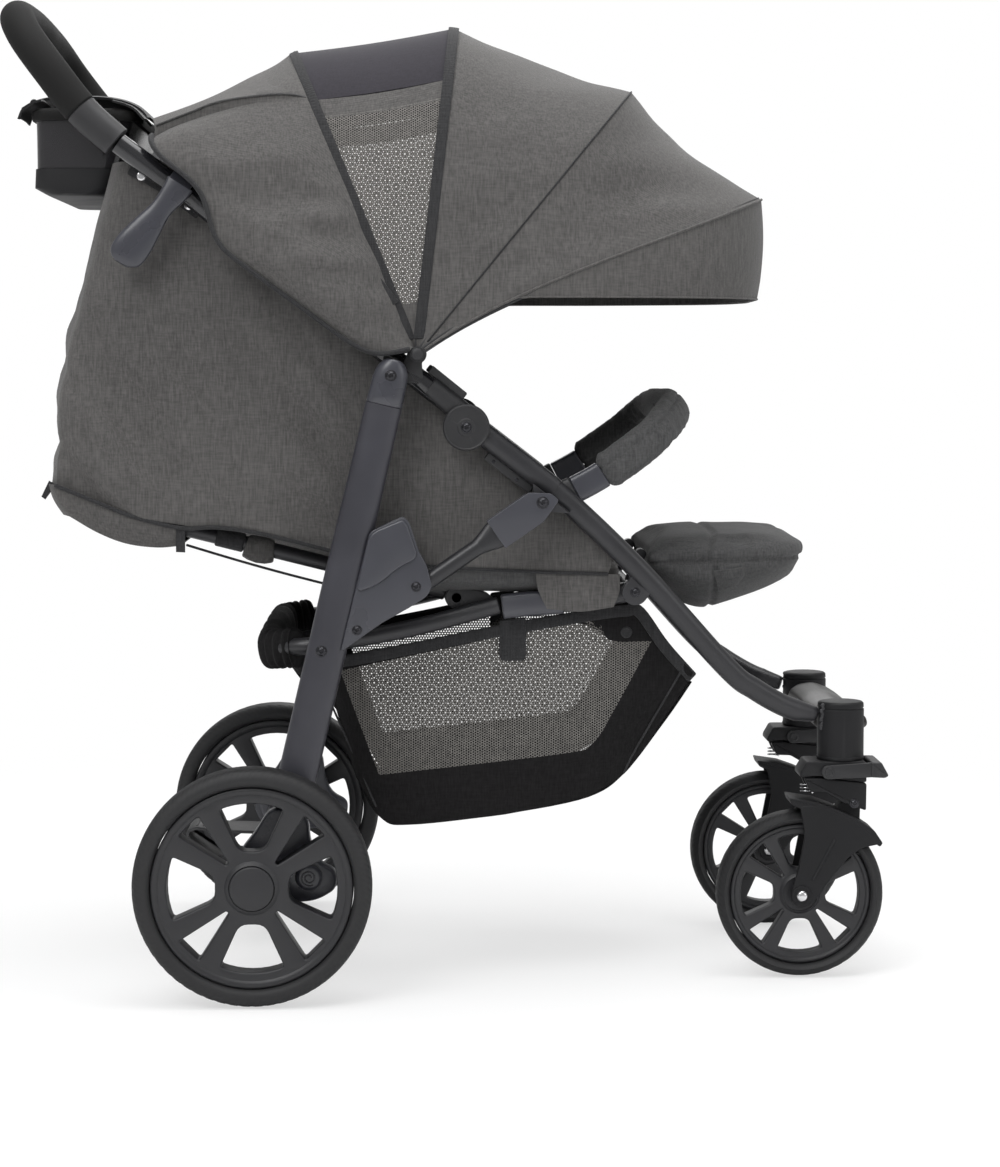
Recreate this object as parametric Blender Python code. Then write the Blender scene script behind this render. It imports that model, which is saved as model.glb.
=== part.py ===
"""A travel system stroller, modelled as the separate pieces it is built from.

Units are metres, +Z is up, +X is the direction of travel and the frame is symmetric about Y = 0.
Side-view places are (x, z) pairs measured from the rear axle; one empty then moves the whole
stroller so that the middle of its length stands at X = 0.  R is the rider's right, on -Y.
"""
import math

import bmesh
import bpy
from mathutils import Vector

# Overall placing
AXLE_TO_MIDDLE = 0.2061
SEAT_GAP = 0.0003
SIDES = {"R": -1, "L": 1}

# Rear wheels
REAR_WHEEL_R = 0.122
REAR_TYRE_WIDTH = 0.044
REAR_TRACK = 0.560
REAR_TYRE_DEPTH = 0.0195
# Front wheels and castors
FRONT_WHEEL_R = 0.0891
FRONT_TYRE_WIDTH = 0.035
FRONT_TRACK = 0.293
FRONT_TYRE_DEPTH = 0.0145
WHEEL_BASE = 0.5715
CASTOR_TRAIL = 0.0428
CASTOR_HOUSING_R = 0.0246
CASTOR_HOUSING_TOP = 0.2935
CASTOR_HOUSING_BOTTOM = 0.2316
HUB_R = 0.0235
HUB_CAP_R = 0.0215
WHEEL_AXLE_R = 0.006
AXLE_CLEARANCE = 0.0004
WINDOW_COUNT = 8
WINDOW_TURN = 0.11
REAR_WHEEL_STEPS = 24
FRONT_WHEEL_STEPS = 20

# Frame tubes: half sizes, and the gaps that set the planes they lie in
TUBE_R = 0.0110
LEG_HALF_DEPTH = 0.0192
LEG_HALF_WIDTH = 0.0125
SEAT_TUBE_R = 0.0090
BRACE_R = 0.0085
GRIP_R = 0.0180
COLLAR_R = 0.0165
COLLAR_LENGTH = 0.046
REAR_BAR_R = 0.0095
LEG_TYRE_GAP = 0.0030
TUBE_LEG_GAP = 0.0010
SEAT_JOINT_GAP = 0.0160
CASTOR_LEG_OFFSET = 0.0035
LEG_Y = REAR_TRACK / 2.0 - REAR_TYRE_WIDTH / 2.0 - LEG_TYRE_GAP - LEG_HALF_WIDTH
TUBE_Y = LEG_Y - LEG_HALF_WIDTH - TUBE_LEG_GAP - TUBE_R
LEG_END_Y = FRONT_TRACK / 2.0 + CASTOR_LEG_OFFSET

# Side-view pivots
FOLD_PIVOT = (0.2174, 0.5837)
LEG_PIVOT = (0.1409, 0.6363)
LEG_FOOT = (0.0365, 0.1945)
BRACE_TOP = (0.2945, 0.5080)
BRACE_FOOT = (0.1170, 0.3855)
SEAT_PIVOT = (0.3915, 0.4135)
SEAT_KNEE = (0.2650, 0.4010)
LINK_FOOT = (0.0700, 0.3575)
BACKREST_PIVOT = (0.2080, 0.4060)
CALF_PIVOT = (0.4060, 0.4450)
CALF_LUG_R = 0.0060
CANOPY_PIVOT = (0.1675, 0.6580)
REAR_AXLE = (0.0, REAR_WHEEL_R)
FRONT_AXLE = (WHEEL_BASE, FRONT_WHEEL_R)
CASTOR_X = WHEEL_BASE + CASTOR_TRAIL
SUSPENSION_PIVOT = (0.6265, 0.1869)
LOCK_PIVOT = (0.5987, 0.2204)
LID_PIVOT = (-0.2385, 0.9350)



def line_between(side_view, parts, inner, outer):
    """A tube's (x, distance from the middle, z) line, spread from inner to outer by the parts."""
    widest = max(parts)
    return tuple((x, inner + (outer - inner) * part / widest, z) for (x, z), part in zip(side_view, parts))


# Tube centre lines: the side view, and how far out each point lies in parts of the widest
FRONT_LEG_LINE = line_between(
    ((0.2345, 0.5770), (0.3095, 0.5180), (0.3960, 0.4356), (0.4886, 0.3335), (0.5200, 0.3085),
     (0.5560, 0.2880), (0.5875, 0.2790)),
    (68.0, 66.5, 58.0, 33.0, 22.0, 9.0, 0.0), LEG_END_Y, TUBE_Y)
SEAT_JOINT_Y = FRONT_LEG_LINE[2][1]
SEAT_Y = SEAT_JOINT_Y - SEAT_JOINT_GAP
HANDLE_LINE = line_between(
    ((0.2227, 0.5907), (0.1807, 0.6227), (-0.0592, 0.8161), (-0.0926, 0.8397), (-0.1345, 0.8711)),
    (1.0, 1.0, 1.0, 1.0, 1.0), 0.0, TUBE_Y)
GRIP_LINE = line_between(
    ((-0.1355, 0.8719), (-0.1700, 0.9030), (-0.2030, 0.9450), (-0.2260, 0.9800), (-0.2390, 1.0030),
     (-0.2440, 1.0130), (-0.2455, 1.0170)),
    (218.0, 218.0, 216.0, 204.0, 174.0, 120.0, 0.0), 0.0, TUBE_Y)
BUMPER_LINE = line_between(
    ((0.3290, 0.5260), (0.3460, 0.5375), (0.3950, 0.5780), (0.4230, 0.6010), (0.4390, 0.6090),
     (0.4460, 0.6110)),
    (208.0, 207.0, 200.0, 178.0, 130.0, 0.0), 0.0, TUBE_Y - 0.010)
BUMPER_COVER_START = 0.036

# Parent tray
TRAY_HALF_WIDTH = 0.160
TRAY_OUTLINE = ((-0.2350, 0.9330), (-0.2320, 0.8300), (-0.2250, 0.8230), (-0.1530, 0.8230),
                (-0.1330, 0.8500), (-0.1230, 0.8900), (-0.1130, 0.9330))

# Canopy: one entry for each bow, its angle from the pivot and its radius over the middle
BOW_ANGLES = (112.2, 83.4, 50.6, 24.1)
BOW_RADII = (0.341, 0.344, 0.357, 0.400)
BOW_THICKNESS = 0.0030
BOW_WIDTH = 0.0080
BOW_LAYER = 0.0034
BOW_HUB_GAP = 0.0017
BOW_FIRST_LAYER = TUBE_Y + TUBE_R + BOW_HUB_GAP
CANOPY_CLOTH = 0.0020
REAR_EDGE_TOP_ANGLE = 141.0
REAR_EDGE_LOW_ANGLE = 163.0
VISOR_BOTTOM = 0.716
ARCH_POWER = 4.0
SEWN_GAP = 0.0004
BOW_STEPS = 8
CANOPY_LOW_R = 0.045
REAR_EDGE_Y = BOW_FIRST_LAYER + 0.0163
VISOR_LOW_R = 0.150

# Soft parts
PAD_INSET = 0.042
PAD_HALF_WIDTH = SEAT_Y - PAD_INSET
COVER_Y = TUBE_Y - 0.014
COVER_TOP_Y = TUBE_Y - TUBE_R + 0.0002
COVER_CLOTH = 0.0030
BASKET_CLOTH = 0.0025
BASKET_HALF_WIDTH = SEAT_Y - SEAT_TUBE_R + 0.0001
SEAT_PAD_BACK = (0.2250, 0.4130)
SEAT_PAD_FRONT = (0.3885, 0.4207)
SEAT_PAD_THICK = 0.045
RECLINE_ANGLE = 166.0
BACKREST_LENGTH = 0.400
BACKREST_Y = SEAT_Y - PAD_INSET
BACKREST_TUBE_R = 0.0080
RECLINE_BAR_R = 0.0060
CALF_END = (0.5810, 0.4520)
CALF_STATIONS = (0.0, 0.06, 0.15, 0.27, 0.53, 0.75, 0.88, 0.96, 1.0)
CALF_BELLY = (0.008, 0.022, 0.042, 0.053, 0.040, 0.031, 0.0255, 0.015, 0.004)
CALF_CROWN = (0.010, 0.015, 0.018, 0.021, 0.019, 0.0160, 0.0120, 0.007, 0.002)

# Fork springs
SPRING_X = 0.5790
SPRING_R = 0.0062
SPRING_WIRE_R = 0.0009
SPRING_CURLS = 3
SPRING_LOW = 0.1905
SPRING_HIGH = 0.2058

Y_AXIS = Vector((0.0, 1.0, 0.0))
Z_AXIS = Vector((0.0, 0.0, 1.0))
X_AXIS = Vector((1.0, 0.0, 0.0))


# Scene start
for leftover in list(bpy.data.objects):
    bpy.data.objects.remove(leftover, do_unlink=True)

stand = bpy.data.objects.new("stroller_origin", None)
stand.location = (-AXLE_TO_MIDDLE, 0.0, 0.0)
bpy.context.scene.collection.objects.link(stand)


def make_material(name, color, roughness, metallic=0.0):
    """One Principled BSDF finish."""
    mat = bpy.data.materials.new(name)
    mat.use_nodes = True
    shader = mat.node_tree.nodes["Principled BSDF"]
    shader.inputs["Base Color"].default_value = (*color, 1.0)
    shader.inputs["Roughness"].default_value = roughness
    shader.inputs["Metallic"].default_value = metallic
    return mat


FINISHES = {
    "frame": ((0.028, 0.028, 0.033), 0.42, 0.35),
    "plastic": ((0.022, 0.022, 0.026), 0.48, 0.0),
    "gloss": ((0.030, 0.031, 0.038), 0.28, 0.0),
    "foam": ((0.045, 0.045, 0.045), 0.62, 0.0),
    "tyre": ((0.030, 0.030, 0.032), 0.66, 0.0),
    "rim": ((0.026, 0.026, 0.030), 0.45, 0.0),
    "smoke": ((0.060, 0.060, 0.062), 0.20, 0.0),
    "steel": ((0.55, 0.55, 0.56), 0.25, 1.0),
    "charcoal_cloth": ((0.105, 0.100, 0.096), 0.90, 0.0),
    "black_cloth": ((0.018, 0.018, 0.019), 0.88, 0.0),
    "vent_mesh": ((0.180, 0.175, 0.165), 0.80, 0.0),
}


def flat(point, y=0.0):
    """A side-view (x, z) pair as a point at the distance y from the middle."""
    return Vector((point[0], y, point[1]))


def finish_object(name, mesh_bm, look, pivot=(0.0, 0.0), pivot_y=0.0, smooth=35.0):
    """Turn a bmesh into a named object whose origin is on its joint's axis."""
    origin = flat(pivot, pivot_y)
    bmesh.ops.remove_doubles(mesh_bm, verts=mesh_bm.verts, dist=1e-6)
    bmesh.ops.recalc_face_normals(mesh_bm, faces=mesh_bm.faces)
    bmesh.ops.translate(mesh_bm, verts=mesh_bm.verts, vec=-origin)
    mesh = bpy.data.meshes.new(name)
    mesh_bm.to_mesh(mesh)
    mesh_bm.free()
    mesh.shade_smooth()
    mesh.set_sharp_from_angle(angle=math.radians(smooth))
    obj = bpy.data.objects.new(name, mesh)
    color, roughness, metallic = FINISHES[look]
    obj.data.materials.append(make_material(name, color, roughness, metallic))
    obj.location = origin
    obj.parent = stand
    bpy.context.scene.collection.objects.link(obj)
    return obj


def hide_guide(obj):
    """Mark an object as a tool for a Boolean and not a piece."""
    obj.hide_render = True
    obj.display_type = "WIRE"
    return obj


def boolean(target, tool, operation):
    """Cut a tool out of the target, or weld it on."""
    hide_guide(tool)
    step = target.modifiers.new(tool.name, "BOOLEAN")
    step.operation = operation
    step.solver = "EXACT"
    step.object = tool
    return target


def cut(target, tool):
    return boolean(target, tool, "DIFFERENCE")


def weld(target, tool):
    return boolean(target, tool, "UNION")


# Form helpers
def oval(sides, half_u, half_v, power=2.0):
    """Points of a superellipse; power 2 is an ellipse, higher is squarer and 0 is a rectangle."""
    if not power:
        return [(half_u, half_v), (-half_u, half_v), (-half_u, -half_v), (half_u, -half_v)]
    points = []
    for step in range(sides):
        angle = 2.0 * math.pi * (step + 0.5) / sides
        c = math.cos(angle)
        s = math.sin(angle)
        u = half_u * math.copysign(abs(c) ** (2.0 / power), c)
        v = half_v * math.copysign(abs(s) ** (2.0 / power), s)
        points.append((u, v))
    return points


def smooth_path(points, steps):
    """A Catmull-Rom curve through the points, with the given steps in each span."""
    ends = [2.0 * points[0] - points[1]] + list(points) + [2.0 * points[-1] - points[-2]]
    path = []
    for i in range(1, len(ends) - 2):
        a, b, c, d = ends[i - 1:i + 3]
        for k in range(steps):
            t = k / steps
            path.append(0.5 * (2.0 * b + (c - a) * t + (2.0 * a - 5.0 * b + 4.0 * c - d) * t * t
                               + (3.0 * b - a - 3.0 * c + d) * t * t * t))
    path.append(points[-1].copy())
    return path


def mirrored(points):
    """A half path that ends at Y = 0, carried on to the other side."""
    half = [Vector((x, -y, z)) for x, y, z in points]
    return half + [Vector((p.x, -p.y, p.z)) for p in reversed(half[:-1])]


def tangents(path):
    last = len(path) - 1
    return [(path[min(i + 1, last)] - path[max(i - 1, 0)]).normalized() for i in range(last + 1)]


def bridge(name, rings, look, closed=False, **place):
    """A closed solid lofted through rings with the same number of points."""
    bm = bmesh.new()
    loops = [[bm.verts.new(p) for p in ring] for ring in rings]
    count = len(loops[0])
    pairs = list(zip(loops, loops[1:]))
    if closed:
        pairs.append((loops[-1], loops[0]))
    for low, high in pairs:
        for k in range(count):
            n = (k + 1) % count
            bm.faces.new((low[k], low[n], high[n], high[k]))
    if not closed:
        bm.faces.new(list(reversed(loops[0])))
        bm.faces.new(loops[-1])
    return finish_object(name, bm, look, **place)


def sweep_rings(path, half_side, half_up, side=Y_AXIS, sides=10, power=2.0):
    """Rings along a path; the sizes are one value or one for each station."""
    count = len(path)
    across = half_side if isinstance(half_side, (list, tuple)) else [half_side] * count
    upward = half_up if isinstance(half_up, (list, tuple)) else [half_up] * count
    rings = []
    u = side.copy()
    for point, ahead, a, b in zip(path, tangents(path), across, upward):
        u = (u - ahead * u.dot(ahead)).normalized()
        v = ahead.cross(u)
        rings.append([point + u * pu + v * pv for pu, pv in oval(sides, a, b, power)])
    return rings


def sweep(name, path, half_side, half_up, look, side=Y_AXIS, sides=10, power=2.0, **place):
    return bridge(name, sweep_rings(path, half_side, half_up, side, sides, power), look, **place)


def prism(name, outline, y_low, y_high, look, bevel=0.0, **place):
    """A side-view outline carried from one Y to another, with optional eased edges."""
    bm = bmesh.new()
    near = [bm.verts.new(flat(p, y_low)) for p in outline]
    far = [bm.verts.new(flat(p, y_high)) for p in outline]
    count = len(outline)
    for k in range(count):
        n = (k + 1) % count
        bm.faces.new((near[k], near[n], far[n], far[k]))
    caps = [bm.faces.new(list(reversed(near))), bm.faces.new(far)]
    if bevel:
        rim = list({edge for face in caps for edge in face.edges})
        bmesh.ops.bevel(bm, geom=rim, offset=bevel, segments=1, affect="EDGES", profile=0.5)
    return finish_object(name, bm, look, **place)


def turned(name, profile, centre, look, steps=24, axis=Y_AXIS, phase=0.0, **place):
    """A closed (radius, distance along the axis) profile turned round the axis."""
    axis = axis.normalized()
    seed = X_AXIS if abs(axis.dot(X_AXIS)) < 0.9 else Z_AXIS
    u = (seed - axis * seed.dot(axis)).normalized()
    v = axis.cross(u)
    bm = bmesh.new()
    columns = []
    for radius, along in profile:
        base = centre + axis * along
        if radius <= 0.0:
            columns.append([bm.verts.new(base)] * steps)
            continue
        column = []
        for k in range(steps):
            angle = 2.0 * math.pi * k / steps + phase
            column.append(bm.verts.new(base + radius * (u * math.cos(angle) + v * math.sin(angle))))
        columns.append(column)
    pairs = list(zip(columns, columns[1:]))
    if profile[0][0] > 0.0:
        pairs.append((columns[-1], columns[0]))
    for first, second in pairs:
        for k in range(steps):
            n = (k + 1) % steps
            corners = []
            for vert in (first[k], first[n], second[n], second[k]):
                if vert not in corners:
                    corners.append(vert)
            if len(corners) > 2:
                bm.faces.new(corners)
    return finish_object(name, bm, look, **place)


def rod(name, start, end, radius, look="plastic", steps=12, **place):
    """A plain cylinder between two points."""
    length = (end - start).length
    profile = [(0.0, 0.0), (radius, 0.0), (radius, length), (0.0, length)]
    return turned(name, profile, start, look, steps, end - start, **place)


def shell(name, grid, thickness, look, inward, first=None, last=None, **place):
    """A closed sheet: a grid of points and the same grid moved towards the inside.

    first and last give the way inwards along the two end rows, where they are sewn to a strip.
    """
    rows = len(grid)
    cols = len(grid[0])
    inner = []
    for i in range(rows):
        line = []
        for j in range(cols):
            du = grid[min(i + 1, rows - 1)][j] - grid[max(i - 1, 0)][j]
            dv = grid[i][min(j + 1, cols - 1)] - grid[i][max(j - 1, 0)]
            normal = du.cross(dv)
            if normal.length < 1e-12:
                normal = inward - grid[i][j]
            normal.normalize()
            if normal.dot(inward - grid[i][j]) < 0.0:
                normal = -normal
            if i == 0 and first:
                normal = first[j]
            if i == rows - 1 and last:
                normal = last[j]
            line.append(grid[i][j] + normal * thickness)
        inner.append(line)
    bm = bmesh.new()
    front = [[bm.verts.new(p) for p in line] for line in grid]
    back = [[bm.verts.new(p) for p in line] for line in inner]
    for i in range(rows - 1):
        for j in range(cols - 1):
            bm.faces.new((front[i][j], front[i][j + 1], front[i + 1][j + 1], front[i + 1][j]))
            bm.faces.new((back[i][j], back[i + 1][j], back[i + 1][j + 1], back[i][j + 1]))
    rim = [(0, j) for j in range(cols)] + [(i, cols - 1) for i in range(1, rows)]
    rim += [(rows - 1, j) for j in range(cols - 2, -1, -1)] + [(i, 0) for i in range(rows - 2, 0, -1)]
    for k, (i, j) in enumerate(rim):
        p, q = rim[(k + 1) % len(rim)]
        bm.faces.new((front[i][j], front[p][q], back[p][q], back[i][j]))
    return finish_object(name, bm, look, **place)


def arc(centre, radius, start, end, steps):
    """Side-view points on a circle, angles in degrees."""
    points = []
    for k in range(steps + 1):
        angle = math.radians(start + (end - start) * k / steps)
        points.append((centre[0] + radius * math.cos(angle), centre[1] + radius * math.sin(angle)))
    return points


def side_band(side, low, high):
    """The two Y values of a layer between two distances from the middle."""
    return sorted((side * low, side * high))


def along(start, end, distance):
    """The side-view point at a distance from start towards end."""
    way = (Vector(end) - Vector(start)).normalized()
    point = Vector(start) + way * distance
    return (point.x, point.y)


def leg_axis_x(z):
    """Where the rear leg's centre line is at the height z."""
    slope = (LEG_PIVOT[0] - LEG_FOOT[0]) / (LEG_PIVOT[1] - LEG_FOOT[1])
    return LEG_PIVOT[0] + (z - LEG_PIVOT[1]) * slope


# Front frame: the fixed body that everything else hangs on
def front_leg(tag, side):
    path = smooth_path([Vector((x, side * y, z)) for x, y, z in FRONT_LEG_LINE], 2)
    leg = sweep("front_leg_" + tag, path, TUBE_R, TUBE_R * 1.04, "frame")
    ear_outline = [
        (BRACE_TOP[0] - 0.0085, BRACE_TOP[1] + 0.0210),
        (BRACE_TOP[0] + 0.0270, BRACE_TOP[1] - 0.0095),
        (BRACE_TOP[0] + 0.0185, BRACE_TOP[1] - 0.0100),
    ] + arc(BRACE_TOP, 0.0085, -80.0, -210.0, 4)
    low, high = side_band(side, TUBE_Y - 0.0040, LEG_Y - BRACE_R - SEAT_GAP)
    weld(leg, prism("guide_brace_ear_" + tag, ear_outline, low, high, "frame"))
    start = (FRONT_LEG_LINE[0][0], FRONT_LEG_LINE[0][2])
    after = (FRONT_LEG_LINE[1][0], FRONT_LEG_LINE[1][2])
    spots = [flat(along(start, after, d), side * (TUBE_Y + TUBE_R - 0.0040)) for d in (0.0, 0.015, 0.030)]
    weld(leg, sweep("guide_hinge_seat_" + tag, spots, 0.0040, 0.0095, "plastic", sides=4, power=0.0))
    arm = bumper_path()
    end = arm[0] if side < 0 else arm[-1]
    way = (arm[1] - arm[0]) if side < 0 else (arm[-2] - arm[-1])
    way.normalize()
    mount = [end - way * 0.0220, end - way * 0.0110, end - way * SEAT_GAP]
    weld(leg, sweep("guide_bumper_mount_" + tag, mount, 0.0085, 0.0140, "plastic", sides=8, power=4.0))
    knob = rod("guide_seat_bolt_" + tag, flat(SEAT_PIVOT, side * (SEAT_Y + SEAT_TUBE_R + SEAT_GAP)),
               flat(SEAT_PIVOT, side * (SEAT_JOINT_Y + 0.0030)), 0.0085)
    plate_outline = arc(SEAT_PIVOT, 0.0105, 150.0, 330.0, 6) + [
        (SEAT_PIVOT[0] + 0.0210, SEAT_PIVOT[1] + 0.0080),
        (SEAT_PIVOT[0] - 0.0020, SEAT_PIVOT[1] + 0.0290),
    ]
    low, high = side_band(side, SEAT_JOINT_Y - 0.0055, SEAT_JOINT_Y + 0.0045)
    weld(leg, prism("guide_seat_plate_" + tag, plate_outline, low, high, "frame"))
    weld(leg, knob)
    return leg


def fold_hinge(tag, side):
    """The round cover of the fold joint, with its pin through the handle tube's eye."""
    outer = TUBE_Y + TUBE_R + SEAT_GAP
    profile = [
        (0.0, 0.001 - 2.0 * TUBE_R), (0.0048, 0.001 - 2.0 * TUBE_R), (0.0048, SEAT_GAP), (0.0240, SEAT_GAP),
        (0.0240, 0.0045), (0.0215, 0.0070), (0.0060, 0.0070), (0.0055, 0.0095), (0.0, 0.0100),
    ]
    return turned("fold_hinge_" + tag, profile, flat(FOLD_PIVOT, side * outer), "plastic", 18,
                  Y_AXIS * side)


def castor_housing(tag, side):
    y = side * FRONT_TRACK / 2.0
    r = CASTOR_HOUSING_R
    profile = [
        (0.0, CASTOR_HOUSING_BOTTOM), (r, CASTOR_HOUSING_BOTTOM), (r, CASTOR_HOUSING_TOP - 0.007),
        (r - 0.0008, CASTOR_HOUSING_TOP - 0.0062), (r - 0.0008, CASTOR_HOUSING_TOP - 0.002),
        (r - 0.0030, CASTOR_HOUSING_TOP), (0.0, CASTOR_HOUSING_TOP),
    ]
    return turned("castor_housing_" + tag, profile, Vector((CASTOR_X, y, 0.0)), "plastic", 20, Z_AXIS)


def footplate():
    """The oval foot rest and the beam that joins the two castor housings."""
    beam_half = FRONT_TRACK / 2.0 - CASTOR_HOUSING_R - SEAT_GAP
    stations = 13
    rings = []
    for k in range(stations):
        t = -1.0 + 2.0 * k / (stations - 1)
        y = t * beam_half
        swell = max(0.0, 1.0 - (abs(t) * 1.02) ** 2.4)
        front = 0.6270 + 0.0485 * swell ** 0.5
        back = 0.6010 - 0.0330 * swell ** 0.6
        top = 0.2790 + 0.0080 * swell ** 0.6
        low = 0.2560 + 0.0020 * swell
        rings.append([
            Vector((back, y, low + 0.008)), Vector((back + 0.004, y, top - 0.006)),
            Vector((back + 0.012, y, top)), Vector(((back + front) / 2.0, y, top + 0.0035)),
            Vector((front - 0.016, y, top - 0.0045)), Vector((front - 0.002, y, top - 0.0135)),
            Vector((front, y, low + 0.0055)), Vector((front - 0.010, y, low)),
            Vector((back + 0.010, y, low)),
        ])
    return bridge("footplate", rings, "foam")


# Handle frame
def handle_tube(tag, side):
    path = [Vector((x, side * y, z)) for x, y, z in HANDLE_LINE]
    place = {"pivot": FOLD_PIVOT}
    tube = sweep("handle_tube_" + tag, path, TUBE_R, TUBE_R, "frame", **place)
    low, high = side_band(side, TUBE_Y - TUBE_R + SEAT_GAP, TUBE_Y + TUBE_R - SEAT_GAP)
    eye = prism("guide_eye_" + tag, arc(FOLD_PIVOT, 0.0105, 0.0, 330.0, 11), low, high, "frame")
    weld(tube, eye)
    leg_plate = arc(LEG_PIVOT, 0.0110, 180.0, 322.0, 5) + [
        (LEG_PIVOT[0] + 0.0400, LEG_PIVOT[1] - 0.0080), (LEG_PIVOT[0] + 0.0330, LEG_PIVOT[1] - 0.0020),
        (LEG_PIVOT[0] - 0.0060, LEG_PIVOT[1] + 0.0290),
    ]
    low, high = side_band(side, TUBE_Y - 0.0040, LEG_Y - LEG_HALF_WIDTH - SEAT_GAP)
    weld(tube, prism("guide_leg_plate_" + tag, leg_plate, low, high, "frame"))
    hub_plate = arc(CANOPY_PIVOT, 0.0100, -60.0, 150.0, 6) + [
        (CANOPY_PIVOT[0] - 0.0180, CANOPY_PIVOT[1] - 0.0150),
        (CANOPY_PIVOT[0] + 0.0070, CANOPY_PIVOT[1] - 0.0330),
    ]
    low, high = side_band(side, TUBE_Y - 0.0050, BOW_FIRST_LAYER - BOW_THICKNESS / 2.0 - SEAT_GAP)
    weld(tube, prism("guide_hub_plate_" + tag, hub_plate, low, high, "plastic"))
    stack = BOW_FIRST_LAYER + len(BOW_ANGLES) * BOW_LAYER
    pin = turned("guide_hub_pin_" + tag,
                 [(0.0, 0.0), (0.0036, 0.0), (0.0036, stack - TUBE_Y), (0.0072, stack - TUBE_Y),
                  (0.0065, stack - TUBE_Y + 0.0026), (0.0, stack - TUBE_Y + 0.0034)],
                 flat(CANOPY_PIVOT, side * TUBE_Y), "plastic", 12, Y_AXIS * side)
    weld(tube, pin)
    bore = rod("guide_eye_bore_" + tag, flat(FOLD_PIVOT, side * (TUBE_Y - 0.028)),
               flat(FOLD_PIVOT, side * (TUBE_Y + 0.022)), 0.0053, steps=14)
    cut(tube, bore)
    return tube


def handle_grip():
    path = smooth_path(mirrored(GRIP_LINE), 2)
    radii = []
    lengths = [0.0]
    for a, b in zip(path, path[1:]):
        lengths.append(lengths[-1] + (b - a).length)
    for travelled in lengths:
        from_end = min(travelled, lengths[-1] - travelled)
        radii.append(COLLAR_R if from_end < COLLAR_LENGTH else GRIP_R)
    return sweep("handle_grip", path, radii, radii, "foam", sides=8, pivot=FOLD_PIVOT)


def tube_sleeve(name, path_point, direction, inner, outer, length, look):
    """A sleeve round a tube, made as a turned ring."""
    profile = [(inner, 0.0), (outer, 0.0), (outer, length), (inner, length)]
    return turned(name, profile, path_point, look, 12, direction)


def stand_paddle(tag, side):
    """The paddle that the folded stroller stands on, clamped round the handle tube."""
    y = side * (TUBE_Y + TUBE_R + 0.0058)
    spine = [(-0.0690, 0.8320), (-0.0740, 0.8230), (-0.0880, 0.8050), (-0.1000, 0.7850),
             (-0.1120, 0.7680), (-0.1220, 0.7540), (-0.1250, 0.7475)]
    path = [flat(p, y) for p in spine]
    widths = [0.0135, 0.0140, 0.0135, 0.0155, 0.0175, 0.0150, 0.0080]
    depths = [0.0045, 0.0050, 0.0050, 0.0055, 0.0055, 0.0045, 0.0025]
    paddle = sweep("stand_paddle_" + tag, path, depths, widths, "gloss", sides=10, power=2.4,
                   pivot=FOLD_PIVOT)
    way = (flat(HANDLE_LINE[3][::2]) - flat(HANDLE_LINE[2][::2])).normalized()
    centre = flat(HANDLE_LINE[2][::2], side * TUBE_Y) + way * 0.008
    sleeve = tube_sleeve("guide_paddle_clamp_" + tag, centre, way, TUBE_R + 0.0008, TUBE_R + 0.0038,
                         0.020, "gloss")
    weld(paddle, sleeve)
    return paddle


def parent_tray():
    """The organiser between the handle tubes: two cup wells and a middle compartment."""
    tray = prism("parent_tray", TRAY_OUTLINE, -TRAY_HALF_WIDTH, TRAY_HALF_WIDTH, "smoke", bevel=0.004,
                 pivot=FOLD_PIVOT)
    for tag, side in SIDES.items():
        well = turned("guide_cup_" + tag, [(0.0, 0.0), (0.0350, 0.0), (0.0390, 0.1200), (0.0, 0.1200)],
                      Vector((-0.1800, side * 0.1150, 0.8290)), "smoke", 16, Z_AXIS)
        cut(tray, well)
        reach_start = Vector((-0.1560, side * (TRAY_HALF_WIDTH - 0.004), 0.9080))
        reach_end = Vector((-0.1680, side * (TUBE_Y - GRIP_R - 0.0007), 0.9060))
        arm = sweep("guide_tray_arm_" + tag, [reach_start, (reach_start + reach_end) * 0.5, reach_end],
                    0.0085, 0.0120, "smoke", side=X_AXIS, sides=8, power=4.0)
        weld(tray, arm)
    pocket = prism("guide_tray_pocket", [(-0.2260, 0.9500), (-0.2230, 0.8330), (-0.1600, 0.8330),
                                         (-0.1430, 0.8560), (-0.1230, 0.9500)], -0.0700, 0.0700, "smoke")
    cut(tray, pocket)
    return tray


def tray_lid():
    """The flap over the middle compartment, hinged along its rear edge."""
    outline = [(-0.2370, 0.9333), (-0.1130, 0.9333), (-0.1080, 0.9355), (-0.1100, 0.9395),
               (-0.1350, 0.9455), (-0.1800, 0.9480), (-0.2200, 0.9445), (-0.2400, 0.9370)]
    return prism("tray_lid", outline, -0.0740, 0.0740, "plastic", bevel=0.0015, pivot=LID_PIVOT)


# Rear frame
def rear_leg(tag, side):
    top = Vector(LEG_PIVOT)
    foot = Vector(LEG_FOOT)
    way = (foot - top).normalized()
    length = (foot - top).length
    stations = [-0.0165, -0.0145, -0.0095, -0.0020, 0.0200, 0.0300, 0.0306, 0.1500, 0.3000, length]
    depth = [LEG_HALF_DEPTH * part / 192.0 for part in (40, 90, 140, 172, 180, 180, 172, 190, 192, 192)]
    width = [LEG_HALF_WIDTH * part / 125.0 for part in (95, 110, 120, 125, 125, 125, 118, 125, 125, 125)]
    path = []
    for s in stations:
        spot = top + way * s
        path.append(Vector((spot.x, side * LEG_Y, spot.y)))
    return sweep("rear_leg_" + tag, path, width, depth, "frame", sides=12, power=2.3, pivot=LEG_PIVOT)


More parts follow.
